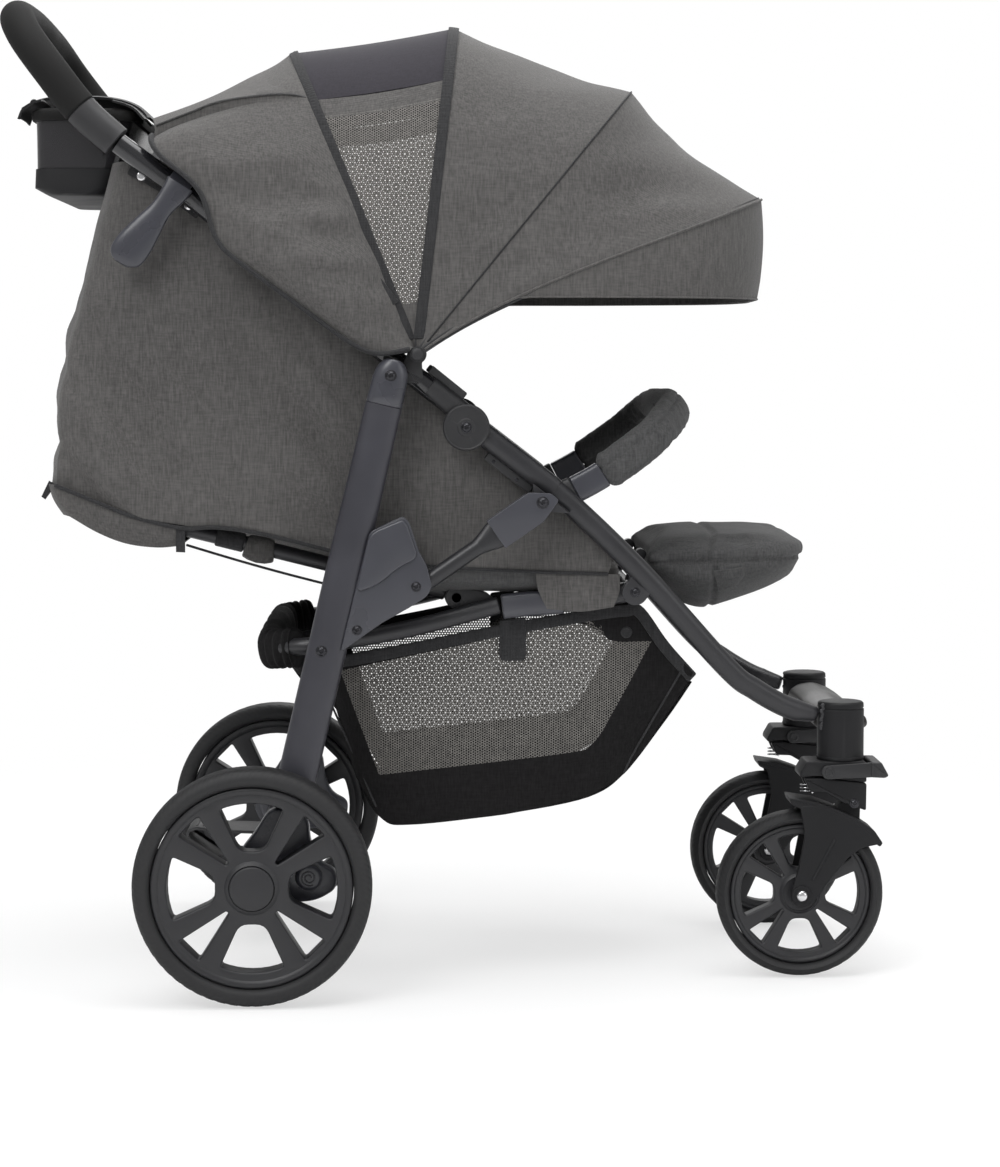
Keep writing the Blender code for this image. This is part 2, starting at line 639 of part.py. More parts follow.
def gusset(tag, side):
    """The cover plate on the rear leg that takes the brace's foot between its cheeks."""
    edge = LEG_HALF_DEPTH + 0.0002
    low_z = 0.3710
    high_z = 0.4790
    outline = [
        (leg_axis_x(low_z) + edge, low_z), (BRACE_FOOT[0] + 0.0140, 0.3880), (0.1560, 0.4010),
        (0.1740, 0.4130), (0.1812, 0.4230), (0.1760, 0.4440), (0.1690, 0.4560), (0.1590, 0.4880),
        (0.1530, 0.4925), (leg_axis_x(high_z) + edge, high_z),
    ]
    low, high = side_band(side, LEG_Y - 0.0115, LEG_Y + 0.0120)
    plate = prism("gusset_" + tag, outline, low, high, "plastic", bevel=0.0016, pivot=LEG_PIVOT)
    web = 0.0050
    slot = [
        (leg_axis_x(0.3600) + edge - 0.0060, 0.3600), (0.2100, 0.3600), (0.2100, 0.5100),
        (leg_axis_x(0.5100) + edge + web, 0.5100), (leg_axis_x(0.4180) + edge + web, 0.4180),
        (leg_axis_x(0.4100) + edge - 0.0060, 0.4100),
    ]
    low, high = side_band(side, LEG_Y - BRACE_R - 0.0006, LEG_Y + BRACE_R + 0.0006)
    cut(plate, prism("guide_gusset_slot_" + tag, slot, low, high, "plastic"))
    return plate


def axle_housing(tag, side):
    """The moulded foot of the leg: the brake's housing, its arm and the stub axle."""
    way = (Vector(LEG_FOOT) - Vector(LEG_PIVOT)).normalized()
    across = Vector((-way.y, way.x))
    seat = Vector(LEG_FOOT) + way * 0.0006
    rear_corner = seat - across * (LEG_HALF_DEPTH + 0.0003)
    front_corner = seat + across * (LEG_HALF_DEPTH + 0.0003)
    outline = [
        (rear_corner.x, rear_corner.y), (0.0010, 0.1700), (-0.0165, 0.1500), (-0.0190, 0.1220),
        (-0.0100, 0.1060), (0.0100, 0.1000), (0.0400, 0.0990), (0.0640, 0.1010), (0.0840, 0.1130),
        (0.0850, 0.1310), (0.0660, 0.1410), (0.0560, 0.1600), (front_corner.x, front_corner.y),
    ]
    low, high = side_band(side, LEG_Y - LEG_HALF_WIDTH, LEG_Y + LEG_HALF_WIDTH - 0.0005)
    housing = prism("axle_housing_" + tag, outline, low, high, "plastic", bevel=0.0025, pivot=LEG_PIVOT)
    stub = rod("guide_stub_axle_" + tag, flat(REAR_AXLE, side * LEG_Y),
               flat(REAR_AXLE, side * (REAR_TRACK / 2.0 + REAR_TYRE_WIDTH / 2.0 - 0.0085)), WHEEL_AXLE_R,
               "steel", 16)
    weld(housing, stub)
    bolt = rod("guide_arm_bolt_" + tag, flat((0.0545, 0.1262), side * (LEG_Y - 0.001)),
               flat((0.0545, 0.1262), side * (LEG_Y + LEG_HALF_WIDTH + 0.0022)), 0.0060, "steel", 10)
    weld(housing, bolt)
    return housing


def rear_axle():
    reach = LEG_Y - LEG_HALF_WIDTH - SEAT_GAP
    return rod("rear_axle", flat(REAR_AXLE, -reach), flat(REAR_AXLE, reach), REAR_BAR_R, "frame", 16,
               pivot=LEG_PIVOT)


def brake_pedal():
    """The foot pedal that rocks on the rear axle tube."""
    outline = [(0.0140, 0.1340), (-0.0100, 0.1390), (-0.0420, 0.1400), (-0.0760, 0.1440),
               (-0.0860, 0.1390), (-0.0840, 0.1290), (-0.0560, 0.1100), (-0.0360, 0.0990),
               (-0.0080, 0.1060), (0.0140, 0.1090)]
    pedal = prism("brake_pedal", outline, -0.0360, 0.0360, "plastic", bevel=0.003, pivot=REAR_AXLE)
    bore = rod("guide_pedal_bore", flat(REAR_AXLE, -0.0500), flat(REAR_AXLE, 0.0500),
               REAR_BAR_R + 0.0007, steps=20)
    cut(pedal, bore)
    return pedal


# Wheels
def wheel(prefix, tag, centre, radius, width, depth, steps, side):
    """A tyre on a moulded rim with eight windows, wide and narrow in turn."""
    half = width / 2.0
    seat_r = radius - depth
    bore_r = WHEEL_AXLE_R + AXLE_CLEARANCE
    crown = [
        (seat_r + SEAT_GAP, -half + 0.006), (seat_r + 0.005, -half), (radius - 0.0070, -half),
        (radius, -half + 0.0105), (radius, half - 0.0105), (radius - 0.0070, half),
        (seat_r + 0.005, half), (seat_r + SEAT_GAP, half - 0.006),
    ]
    place = {"pivot": (centre.x, centre.z), "pivot_y": centre.y}
    turned(prefix + "_tyre_" + tag, crown, centre, "tyre", steps, Y_AXIS * side, **place)
    web = 0.0065
    profile = [
        (bore_r, -half + 0.004), (HUB_R, -half + 0.004), (HUB_R + 0.004, -web), (seat_r - 0.0130, -web),
        (seat_r, -half + 0.006), (seat_r, half - 0.006), (seat_r - 0.0130, web), (HUB_R + 0.004, web),
        (HUB_R, half - 0.0065), (bore_r, half - 0.0065),
    ]
    rim = turned(prefix + "_rim_" + tag, profile, centre, "rim", steps, Y_AXIS * side, **place)
    bm = bmesh.new()
    inner = HUB_R + 0.0045
    outer = seat_r - 0.0135
    for k in range(WINDOW_COUNT):
        angle = 2.0 * math.pi * k / WINDOW_COUNT + WINDOW_TURN
        wide = k % 2 == 0
        start = inner + (0.006 if wide else 0.002)
        tip = 0.15 * (outer - inner) if wide else 0.09 * (outer - inner)
        base = 0.355 * outer if wide else 0.165 * outer
        corners = [(start, -tip), (start, tip), (outer - 0.007, base), (outer, base * 0.75),
                   (outer, -base * 0.75), (outer - 0.007, -base)]
        loops = []
        for depth_y in (-half, half):
            loop = []
            for along_r, across_r in corners:
                x = along_r * math.cos(angle) - across_r * math.sin(angle)
                z = along_r * math.sin(angle) + across_r * math.cos(angle)
                loop.append(bm.verts.new(centre + Vector((x, depth_y, z))))
            loops.append(loop)
        count = len(corners)
        for i in range(count):
            n = (i + 1) % count
            bm.faces.new((loops[0][i], loops[0][n], loops[1][n], loops[1][i]))
        bm.faces.new(list(reversed(loops[0])))
        bm.faces.new(loops[1])
    cut(rim, finish_object("guide_windows_" + prefix + tag, bm, "rim"))
    return rim


def rear_wheel(tag, side):
    centre = flat(REAR_AXLE, side * REAR_TRACK / 2.0)
    rim = wheel("rear", tag, centre, REAR_WHEEL_R, REAR_TYRE_WIDTH, REAR_TYRE_DEPTH,
                REAR_WHEEL_STEPS, side)
    half = REAR_TYRE_WIDTH / 2.0
    cap = turned("guide_hub_cap_" + tag,
                 [(0.0, half - 0.0040), (HUB_CAP_R, half - 0.0040 - 0.0035), (HUB_CAP_R, half - 0.0015),
                  (HUB_CAP_R - 0.0015, half), (0.0, half)],
                 centre, "rim", 16, Y_AXIS * side, 0.13)
    weld(rim, cap)
    return rim


# Braces
def brace(tag, side):
    """The side brace: a round tube that flares into a channel under the front leg."""
    top = Vector(BRACE_TOP)
    foot = Vector(BRACE_FOOT)
    way = (top - foot).normalized()
    length = (top - foot).length
    stations = [-0.0080, -0.0055, 0.0, 0.0200, 0.1280, 0.1420, 0.1600, 0.1606, length - 0.0260,
                length - 0.0100, length - 0.0010, length + 0.0050]
    depth = [0.0030, 0.0060, 0.0080, 0.0085, 0.0085, 0.0105, 0.0150, 0.0165, 0.0160, 0.0100, 0.0066,
             0.0035]
    width = [0.0055, 0.0065, 0.0070, 0.0085, 0.0085, 0.0085, 0.0080, 0.0084, 0.0084, 0.0084, 0.0084,
             0.0084]
    path = []
    for s in stations:
        spot = foot + way * s
        path.append(Vector((spot.x, side * LEG_Y, spot.y)))
    arm = sweep("brace_" + tag, path, width, depth, "frame", sides=8, power=2.8, pivot=BRACE_TOP)
    bolt = turned("guide_brace_bolt_" + tag,
                  [(0.0, 0.0), (0.0050, 0.0), (0.0050, 0.0115), (0.0035, 0.0125), (0.0, 0.0125)],
                  flat(BRACE_TOP, side * (LEG_Y - 0.002)), "steel", 10, Y_AXIS * side)
    weld(arm, bolt)
    return arm


# Seat frames
def seat_frame():
    """The front half of the seat base: two side tubes and the bar across their knees."""
    half = [
        Vector((SEAT_PIVOT[0], SEAT_Y, SEAT_PIVOT[1])),
        Vector((0.3300, SEAT_Y, 0.4040)),
        Vector((SEAT_KNEE[0] + 0.0130, SEAT_Y, SEAT_KNEE[1] - 0.0005)),
    ]
    right = [Vector((p.x, -p.y, p.z)) for p in half]
    frame = sweep("seat_frame", smooth_path(right, 2), SEAT_TUBE_R, 0.0105, "frame", sides=10,
                  power=2.6, pivot=SEAT_PIVOT)
    other = sweep("guide_seat_tube_L", smooth_path(half, 2), SEAT_TUBE_R, 0.0105, "frame", sides=10,
                  power=2.6)
    weld(frame, other)
    bar_end = SEAT_Y + 0.0010
    bar_r = 0.0075
    bar_x = 0.3400
    bar_z = seat_pad_level(bar_x) - SEAT_GAP - bar_r
    weld(frame, rod("guide_seat_bar", Vector((bar_x, -bar_end, bar_z)), Vector((bar_x, bar_end, bar_z)),
                    bar_r, "frame", 10))
    weld(frame, rod("guide_front_bar", Vector((0.3920, -bar_end, 0.4110)),
                    Vector((0.3920, bar_end, 0.4110)), 0.0070, "frame", 10))
    for tag, side in SIDES.items():
        lug = arc(CALF_PIVOT, CALF_LUG_R, -10.0, 170.0, 6) + [(0.3880, 0.4130), (0.3950, 0.4080)]
        low, high = side_band(side, 0.0800, 0.0950)
        weld(frame, prism("guide_calf_lug_" + tag, lug, low, high, "frame"))
    return frame


def seat_link():
    """The rear half of the seat base, bent round behind the legs to carry the basket."""
    half = [
        Vector((SEAT_KNEE[0] - 0.0130, SEAT_Y, SEAT_KNEE[1] - 0.0020)),
        Vector((0.1600, SEAT_Y, 0.3750)),
        Vector((LINK_FOOT[0], SEAT_Y, LINK_FOOT[1] + 0.0015)),
        Vector((0.0430, SEAT_Y - 0.0030, 0.3560)),
        Vector((0.0180, SEAT_Y - 0.0220, 0.3530)),
        Vector((0.0120, SEAT_Y - 0.0600, 0.3520)),
        Vector((0.0120, 0.0, 0.3520)),
    ]
    path = smooth_path(mirrored([(p.x, p.y, p.z) for p in half]), 1)
    link = sweep("seat_link", path, SEAT_TUBE_R, SEAT_TUBE_R, "frame", sides=10, pivot=SEAT_KNEE)
    for tag, side in SIDES.items():
        pin = rod("guide_link_pin_" + tag, flat(LINK_FOOT, side * SEAT_Y),
                  flat(LINK_FOOT, side * (LEG_Y - LEG_HALF_WIDTH - SEAT_GAP)), 0.0055, "steel", 10)
        weld(link, pin)
    return link


def recline_hinge():
    """The cross bar on which the backrest reclines, with its two end brackets."""
    x, z = BACKREST_PIVOT
    reach = SEAT_Y - SEAT_TUBE_R - SEAT_GAP
    bar = rod("recline_hinge", Vector((x, -reach, z)), Vector((x, reach, z)), RECLINE_BAR_R, "frame", 12,
              pivot=BACKREST_PIVOT)
    for tag, side in SIDES.items():
        outline = arc((x, z), 0.0120, 60.0, 300.0, 6)
        outline += [(x + 0.0360, z - 0.0120), (x + 0.0400, z - 0.0020), (x + 0.0300, z + 0.0060)]
        low, high = side_band(side, reach - 0.0100, reach)
        weld(bar, prism("guide_recline_bracket_" + tag, outline, low, high, "plastic"))
    return bar


def backrest_point(distance, lift, y):
    """A point along the reclined back, lifted square to it."""
    way = Vector((math.cos(math.radians(RECLINE_ANGLE)), 0.0, math.sin(math.radians(RECLINE_ANGLE))))
    up = Vector((way.z, 0.0, -way.x))
    return flat(BACKREST_PIVOT, y) + way * distance + up * lift


def backrest_frame():
    half = [backrest_point(0.0155, 0.0, BACKREST_Y), backrest_point(0.1800, 0.0, BACKREST_Y),
            backrest_point(BACKREST_LENGTH - 0.055, 0.0, BACKREST_Y),
            backrest_point(BACKREST_LENGTH - 0.014, 0.0, BACKREST_Y - 0.020),
            backrest_point(BACKREST_LENGTH, 0.0, BACKREST_Y - 0.060),
            backrest_point(BACKREST_LENGTH, 0.0, 0.0)]
    path = smooth_path(mirrored([(p.x, p.y, p.z) for p in half]), 1)
    frame = sweep("backrest_frame", path, BACKREST_TUBE_R, BACKREST_TUBE_R, "frame", sides=8,
                  pivot=BACKREST_PIVOT)
    for tag, side in SIDES.items():
        eye_low, eye_high = side_band(side, BACKREST_Y - 0.0060, BACKREST_Y + 0.0060)
        eye = prism("guide_back_eye_" + tag, arc(BACKREST_PIVOT, 0.0125, 0.0, 330.0, 11), eye_low,
                    eye_high, "frame")
        weld(frame, eye)
        arm_path = [backrest_point(0.0040, 0.0, side * BACKREST_Y),
                    backrest_point(0.0200, 0.0, side * BACKREST_Y)]
        weld(frame, sweep("guide_back_arm_" + tag, arm_path, 0.0060, 0.0070, "frame", sides=8))
        bore = rod("guide_back_bore_" + tag, flat(BACKREST_PIVOT, side * (BACKREST_Y - 0.020)),
                   flat(BACKREST_PIVOT, side * (BACKREST_Y + 0.020)), RECLINE_BAR_R + 0.0006, steps=16)
        cut(frame, bore)
    return frame


def cushion(name, frame_at, length, half_width, thick, look, channels, **place):
    """A crowned pad: frame_at gives a point from (distance, lift, y)."""
    rows = 9
    cols = 7
    rings = []
    for i in range(rows):
        s = i / (rows - 1)
        pull = 1.0 - 0.06 * math.sin(math.pi * s) ** 2
        edge = math.sin(math.pi * min(max(s, 0.04), 0.96)) ** 0.35
        ring = []
        for j in range(cols):
            t = -1.0 + 2.0 * j / (cols - 1)
            crown = (1.0 - abs(t) ** 3.0) ** 0.5
            channel = 1.0 - 0.12 * abs(math.sin(math.pi * channels * s))
            ring.append(frame_at(length * s, thick * (0.30 + 0.70 * crown * edge) * channel,
                                 t * half_width * pull))
        for j in range(cols - 1, -1, -1):
            t = -1.0 + 2.0 * j / (cols - 1)
            ring.append(frame_at(length * s, 0.0, t * half_width * pull * 0.985))
        rings.append(ring)
    return bridge(name, rings, look, **place)


def backrest_pad():
    def place_at(distance, lift, y):
        return backrest_point(0.045 + distance, 0.0077 + lift, y)
    return cushion("backrest_pad", place_at, BACKREST_LENGTH - 0.045, PAD_HALF_WIDTH, 0.030,
                   "charcoal_cloth", 3, pivot=BACKREST_PIVOT)


def seat_pad_level(x, lift=0.0):
    """The height of the seat pad's underside at x, or a lift above it."""
    slope = (SEAT_PAD_FRONT[1] - SEAT_PAD_BACK[1]) / (SEAT_PAD_FRONT[0] - SEAT_PAD_BACK[0])
    return SEAT_PAD_BACK[1] + slope * (x - SEAT_PAD_BACK[0]) + lift


def seat_pad():
    back = Vector(SEAT_PAD_BACK)
    front = Vector(SEAT_PAD_FRONT)
    way = (front - back).normalized()
    up = Vector((-way.y, way.x))

    def place_at(distance, lift, y):
        spot = back + way * distance + up * lift
        return Vector((spot.x, y, spot.y))
    return cushion("seat_pad", place_at, (front - back).length, PAD_HALF_WIDTH + 0.010, SEAT_PAD_THICK,
                   "charcoal_cloth", 0, pivot=SEAT_PIVOT)


def harness_buckle():
    """The buckle of the rider's harness, which lies on the seat pad."""
    rear = 0.2920
    front = 0.3400
    outline = []
    for x, bulge, lift in ((rear, 0.0, 0.0), (front, 0.0, 0.0), (front, 0.003, 0.005), (front, -0.003, 0.010),
                           (rear, 0.003, 0.010), (rear, -0.003, 0.005)):
        outline.append((x + bulge, seat_pad_level(x, SEAT_PAD_THICK + SEAT_GAP + lift)))
    return prism("harness_buckle", outline, -0.0210, 0.0210, "plastic", bevel=0.002, pivot=SEAT_PIVOT)


def calf_rest():
    """The padded leg rest with its deep underside and rounded front end."""
    rings = []
    end = Vector(CALF_END)
    way = (end - Vector(CALF_PIVOT)).normalized()
    start = Vector(CALF_PIVOT) + way * (CALF_LUG_R + SEAT_GAP)
    up = Vector((-way.y, way.x))
    for s, belly, crown in zip(CALF_STATIONS, CALF_BELLY, CALF_CROWN):
        round_off = 1.0 if s < 0.6 else math.sqrt(max(0.0, 1.0 - ((s - 0.6) / 0.42) ** 2.6))
        half = 0.060 + 0.085 * round_off
        spot = start + way * ((end - start).length * s)
        ring = []
        for u, v in oval(12, half, 1.0, 3.0):
            lift = crown * v if v > 0.0 else belly * v
            ring.append(Vector((spot.x + up.x * lift, u, spot.y + up.y * lift)))
        rings.append(ring)
    return bridge("calf_rest", rings, "black_cloth", pivot=CALF_PIVOT)


def bumper_path():
    return smooth_path(mirrored(BUMPER_LINE), 2)


def bumper_bar():
    """The padded guard bar; its cover starts past the plastic arm at each end."""
    path = bumper_path()
    lengths = [0.0]
    for a, b in zip(path, path[1:]):
        lengths.append(lengths[-1] + (b - a).length)
    across = []
    upward = []
    for travelled in lengths:
        from_end = min(travelled, lengths[-1] - travelled)
        covered = from_end > BUMPER_COVER_START
        across.append(0.0120 if covered else 0.0090)
        upward.append(0.0190 if covered else 0.0145)
    return sweep("bumper_bar", path, across, upward, "black_cloth", sides=10, power=2.6,
                 pivot=(BUMPER_LINE[0][0], BUMPER_LINE[0][2]))


# Castors
def castor_fork(tag, side):
    y = side * FRONT_TRACK / 2.0
    outline = [(0.5760, CASTOR_HOUSING_BOTTOM - SEAT_GAP), (0.6385, CASTOR_HOUSING_BOTTOM - SEAT_GAP),
               (0.6395, 0.2120), (0.6390, 0.1790), (0.6140, 0.1880), (0.5960, 0.1985), (0.5740, 0.2010),
               (0.5690, 0.2100)]
    centre = Vector((CASTOR_X, y, 0.0))
    place = {"pivot": (CASTOR_X, CASTOR_HOUSING_BOTTOM), "pivot_y": y}
    fork = prism("castor_fork_" + tag, outline, y - 0.0235, y + 0.0235, "plastic", bevel=0.0015, **place)
    slot = [(0.5600, 0.1500), (0.6350, 0.1500), (0.6350, 0.1990), (0.6200, 0.2075), (0.5600, 0.2075)]
    cut(fork, prism("guide_fork_slot_" + tag, slot, y - 0.0125, y + 0.0125, "plastic"))
    pin = rod("guide_fork_pin_" + tag, flat(SUSPENSION_PIVOT, y - 0.0255), flat(SUSPENSION_PIVOT, y + 0.0255),
              0.0038, "steel", 10)
    weld(fork, pin)
    return fork


def lock_lever(tag, side):
    """The swivel lock: a yoke round the fork with a tab in front."""
    y = side * FRONT_TRACK / 2.0
    place = {"pivot": LOCK_PIVOT, "pivot_y": y}
    tab = [(0.6430, 0.2150), (0.6580, 0.2142), (0.6615, 0.2165), (0.6535, 0.2300), (0.6430, 0.2300)]
    lever = prism("lock_lever_" + tag, tab, y - 0.0285, y + 0.0285, "plastic", bevel=0.0012, **place)
    arm = arc(LOCK_PIVOT, 0.0070, 110.0, 270.0, 5) + [(0.6450, 0.2155), (0.6450, 0.2285)]
    for offset in (-1, 1):
        low, high = sorted((y + offset * 0.0240, y + offset * 0.0275))
        weld(lever, prism("guide_lever_arm_%s_%d" % (tag, offset + 1), arm, low, high, "plastic"))
    return lever


def wheel_fork(tag, side):
    """The sprung lower fork: a mudguard crown, two arms and the ear on its pivot."""
    y = side * FRONT_TRACK / 2.0
    place = {"pivot": SUSPENSION_PIVOT, "pivot_y": y}
    outline = [
        (0.5576, 0.1930), (0.5700, 0.1900), (0.5850, 0.1880), (0.6036, 0.1815), (0.6267, 0.1720),
        (0.6480, 0.1575), (0.6560, 0.1450), (0.6340, 0.1405), (0.6160, 0.1270), (0.5860, 0.0800),
        (0.5715, 0.0735), (0.5600, 0.0800), (0.5590, 0.0920), (0.5665, 0.1190), (0.5740, 0.1530),
        (0.5700, 0.1700), (0.5600, 0.1850),
    ]
    fork = prism("wheel_fork_" + tag, outline, y - 0.0245, y + 0.0245, "plastic", bevel=0.0015, **place)
    half = FRONT_TYRE_WIDTH / 2.0 + 0.0022
    well = turned("guide_wheel_well_" + tag,
                  [(0.0, -half), (FRONT_WHEEL_R + 0.0042, -half), (FRONT_WHEEL_R + 0.0042, half), (0.0, half)],
                  flat(FRONT_AXLE, y), "plastic", 20, Y_AXIS)
    cut(fork, well)
    ear = arc(SUSPENSION_PIVOT, 0.0085, -20.0, 150.0, 5) + [(0.6080, 0.1790), (0.6340, 0.1660)]
    weld(fork, prism("guide_fork_ear_" + tag, ear, y - 0.0115, y + 0.0115, "plastic"))
    bore = rod("guide_ear_bore_" + tag, flat(SUSPENSION_PIVOT, y - 0.02), flat(SUSPENSION_PIVOT, y + 0.02),
               0.0043, steps=16)
    cut(fork, bore)
    axle = rod("guide_front_axle_" + tag, flat(FRONT_AXLE, y - 0.0262), flat(FRONT_AXLE, y + 0.0262),
               WHEEL_AXLE_R, "steel", 16)
    weld(fork, axle)
    return fork


def fork_spring(tag, side):
    """The coil spring seen behind the fork, as one unbroken wire."""
    y = side * FRONT_TRACK / 2.0
    per_curl = 8
    count = per_curl * SPRING_CURLS
    path = []
    for k in range(count + 1):
        angle = 2.0 * math.pi * k / per_curl
        height = SPRING_LOW + (SPRING_HIGH - SPRING_LOW) * k / count
        path.append(Vector((SPRING_X + SPRING_R * math.cos(angle), y + SPRING_R * math.sin(angle), height)))
    return sweep("fork_spring_" + tag, path, SPRING_WIRE_R, SPRING_WIRE_R, "steel", side=Z_AXIS, sides=5,
                 pivot=(SPRING_X, SPRING_LOW), pivot_y=y)


def spring_gap():
    """The least gap between one curl of the fork spring and the next."""
    pitch = (SPRING_HIGH - SPRING_LOW) / SPRING_CURLS
    return pitch - 2.0 * SPRING_WIRE_R


# Canopy
def bow_shape(index, radius, power=ARCH_POWER):
    """Distance from the middle at which a bow stands when it is radius away from the pivot."""
    width = BOW_FIRST_LAYER + BOW_LAYER * index
    reach = min(1.0, radius / BOW_RADII[index])
    return width * max(0.0, 1.0 - reach ** power) ** (1.0 / power)


def bow_way(index):
    angle = math.radians(BOW_ANGLES[index])
    return Vector((math.cos(angle), 0.0, math.sin(angle)))


def bow_square(index):
    """The direction across a bow's strip, towards the front of the canopy."""
    way = bow_way(index)
    return Vector((way.z, 0.0, -way.x))


def bow_path(index, first=0.0):
    """Half of a bow's line on the right, from a radius near the hub up to the top."""
    half = []
    for k in range(BOW_STEPS + 1):
        r = BOW_RADII[index] * math.sin(0.5 * math.pi * k / BOW_STEPS)
        half.append(flat(CANOPY_PIVOT, -bow_shape(index, r)) + bow_way(index) * r)
    if first:
        reach = [(p - flat(CANOPY_PIVOT, p.y)).length for p in half]
        k = next(i for i, r in enumerate(reach) if r > first)
        part = (first - reach[k - 1]) / (reach[k] - reach[k - 1])
        half = [half[k - 1].lerp(half[k], part)] + half[k:]
    return half


def bow(index):
    """One flat strip bow, from one hub over the top to the other."""
    strip = bridge("canopy_bow_%d" % (index + 1), bow_rings(full_arch(bow_path(index)), index), "plastic",
                   pivot=CANOPY_PIVOT)
    y = bow_shape(index, 0.0)
    for tag, side in SIDES.items():
        low, high = side_band(side, y - BOW_THICKNESS / 2.0, y + BOW_THICKNESS / 2.0)
        eye = prism("guide_bow_eye_%d%s" % (index, tag), arc(CANOPY_PIVOT, 0.0072, 0.0, 315.0, 7), low,
                    high, "plastic")
        weld(strip, eye)
        bore = rod("guide_bow_bore_%d%s" % (index, tag), flat(CANOPY_PIVOT, side * (y - 0.015)),
                   flat(CANOPY_PIVOT, side * (y + 0.020)), 0.0042, steps=10)
        cut(strip, bore)
    return strip


def bow_rings(path, index):
    return sweep_rings(path, BOW_WIDTH / 2.0, BOW_THICKNESS / 2.0, bow_square(index), 4, 0.0)


def bow_edge(index, first, toward_front):
    """The outer corner line of a bow, a sewing gap away from its strip."""
    corner = 3 if toward_front else 2
    square = bow_square(index) * (SEWN_GAP if toward_front else -SEWN_GAP)
    return [ring[corner] + square for ring in bow_rings(full_arch(bow_path(index, first)), index)]


def bow_inward(index, first):
    rings = bow_rings(full_arch(bow_path(index, first)), index)
    return [(ring[0] - ring[3]).normalized() for ring in rings]


def full_arch(row):
    """A row of points on the right, carried over the middle to the left."""
    return row + [Vector((p.x, -p.y, p.z)) for p in reversed(row[:-1])]


def panel_grid(front_row, back_row, rows, sag=0.0):
    """Rows of points between two arches, drawn in towards the pivot by the sag."""
    grid = []
    for i in range(rows):
        t = i / (rows - 1)
        row = []
        for p, q in zip(front_row, back_row):
            spot = p.lerp(q, t)
            inward = (flat(CANOPY_PIVOT, 0.0) - spot).normalized()
            span = (p - q).length
            row.append(spot + inward * sag * span * math.sin(math.pi * t))
        grid.append(row)
    return grid


def canopy_panel(name, a, b, look, sag):
    grid = panel_grid(bow_edge(a, CANOPY_LOW_R, True), bow_edge(b, CANOPY_LOW_R, False), 4, sag)
    return shell(name, grid, CANOPY_CLOTH, look, flat(CANOPY_PIVOT, 0.0), bow_inward(a, CANOPY_LOW_R),
                 bow_inward(b, CANOPY_LOW_R), pivot=CANOPY_PIVOT)


def canopy_rear():
    """The panel from the first bow back and down over the handle tubes."""
    front_row = bow_edge(0, CANOPY_LOW_R, False)
    half = []
    count = len(front_row) // 2
    for point in front_row[:count + 1]:
        r = (point - flat(CANOPY_PIVOT, point.y)).length
        s = min(1.0, (r - CANOPY_LOW_R) / (BOW_RADII[0] - CANOPY_LOW_R))
        angle = math.radians(REAR_EDGE_LOW_ANGLE + (REAR_EDGE_TOP_ANGLE - REAR_EDGE_LOW_ANGLE) * s)
        y = REAR_EDGE_Y * max(0.0, 1.0 - s ** 14.0) ** (1.0 / 14.0)
        half.append(flat(CANOPY_PIVOT, -y) + Vector((r * math.cos(angle), 0.0, r * math.sin(angle))))
    grid = panel_grid(front_row, full_arch(half), 5)
    return shell("canopy_rear", grid, CANOPY_CLOTH, "charcoal_cloth", flat(CANOPY_PIVOT, 0.0),
                 bow_inward(0, CANOPY_LOW_R), pivot=CANOPY_PIVOT)


def visor():
    """The peak that hangs from the front bow."""
    index = len(BOW_ANGLES) - 1
    top = bow_edge(index, VISOR_LOW_R, True)
    hem = [Vector((p.x - 0.004, p.y, min(p.z - 0.003, VISOR_BOTTOM))) for p in top]
    grid = [[p.lerp(q, i / 3.0) for p, q in zip(top, hem)] for i in range(4)]
    return shell("visor", grid, CANOPY_CLOTH, "charcoal_cloth", flat(CANOPY_PIVOT, 0.0) + X_AXIS * 0.15,
                 bow_inward(index, VISOR_LOW_R), pivot=CANOPY_PIVOT)


# Seat cover and basket
def side_cover():
    """The seat's fabric sides and back, hung inside the handle tubes."""
    top_edge = [(0.3700, 0.4480), (0.2950, 0.5180), (0.2130, 0.5982), (0.1200, 0.6716), (0.0000, 0.7684),
                (-0.0900, 0.8130), (-0.1420, 0.8050)]
    low_edge = [(0.3640, 0.4330), (0.2950, 0.4330), (0.2130, 0.4380), (0.1200, 0.4370), (0.0000, 0.4600),
                (-0.0900, 0.4700), (-0.1500, 0.4860)]
    corner_back = [(-0.1800, 0.7700), (-0.1950, 0.5000)]
    grid = []
    for i in range(6):
        t = i / 5.0
        belly = math.sin(math.pi * t) * 0.5 + 0.5
        row = []
        for k, ((tx, tz), (bx, bz)) in enumerate(zip(top_edge, low_edge)):
            y = COVER_TOP_Y if i == 0 and 2 <= k <= 4 else COVER_Y
            row.append(Vector((tx + (bx - tx) * t, -y, tz + (bz - tz) * t)))
        (tx, tz), (bx, bz) = corner_back
        x = tx + (bx - tx) * t - 0.0050 * belly
        z = tz + (bz - tz) * t
        row.append(Vector((x, -COVER_Y + 0.020, z)))
        row.append(Vector((x - 0.0140, -COVER_Y + 0.060, z)))
        row.append(Vector((x - 0.0180, 0.0, z)))
        grid.append(full_arch(row))
    return shell("side_cover", grid, COVER_CLOTH, "charcoal_cloth", Vector((0.05, 0.0, 0.60)),
                 pivot=BACKREST_PIVOT)


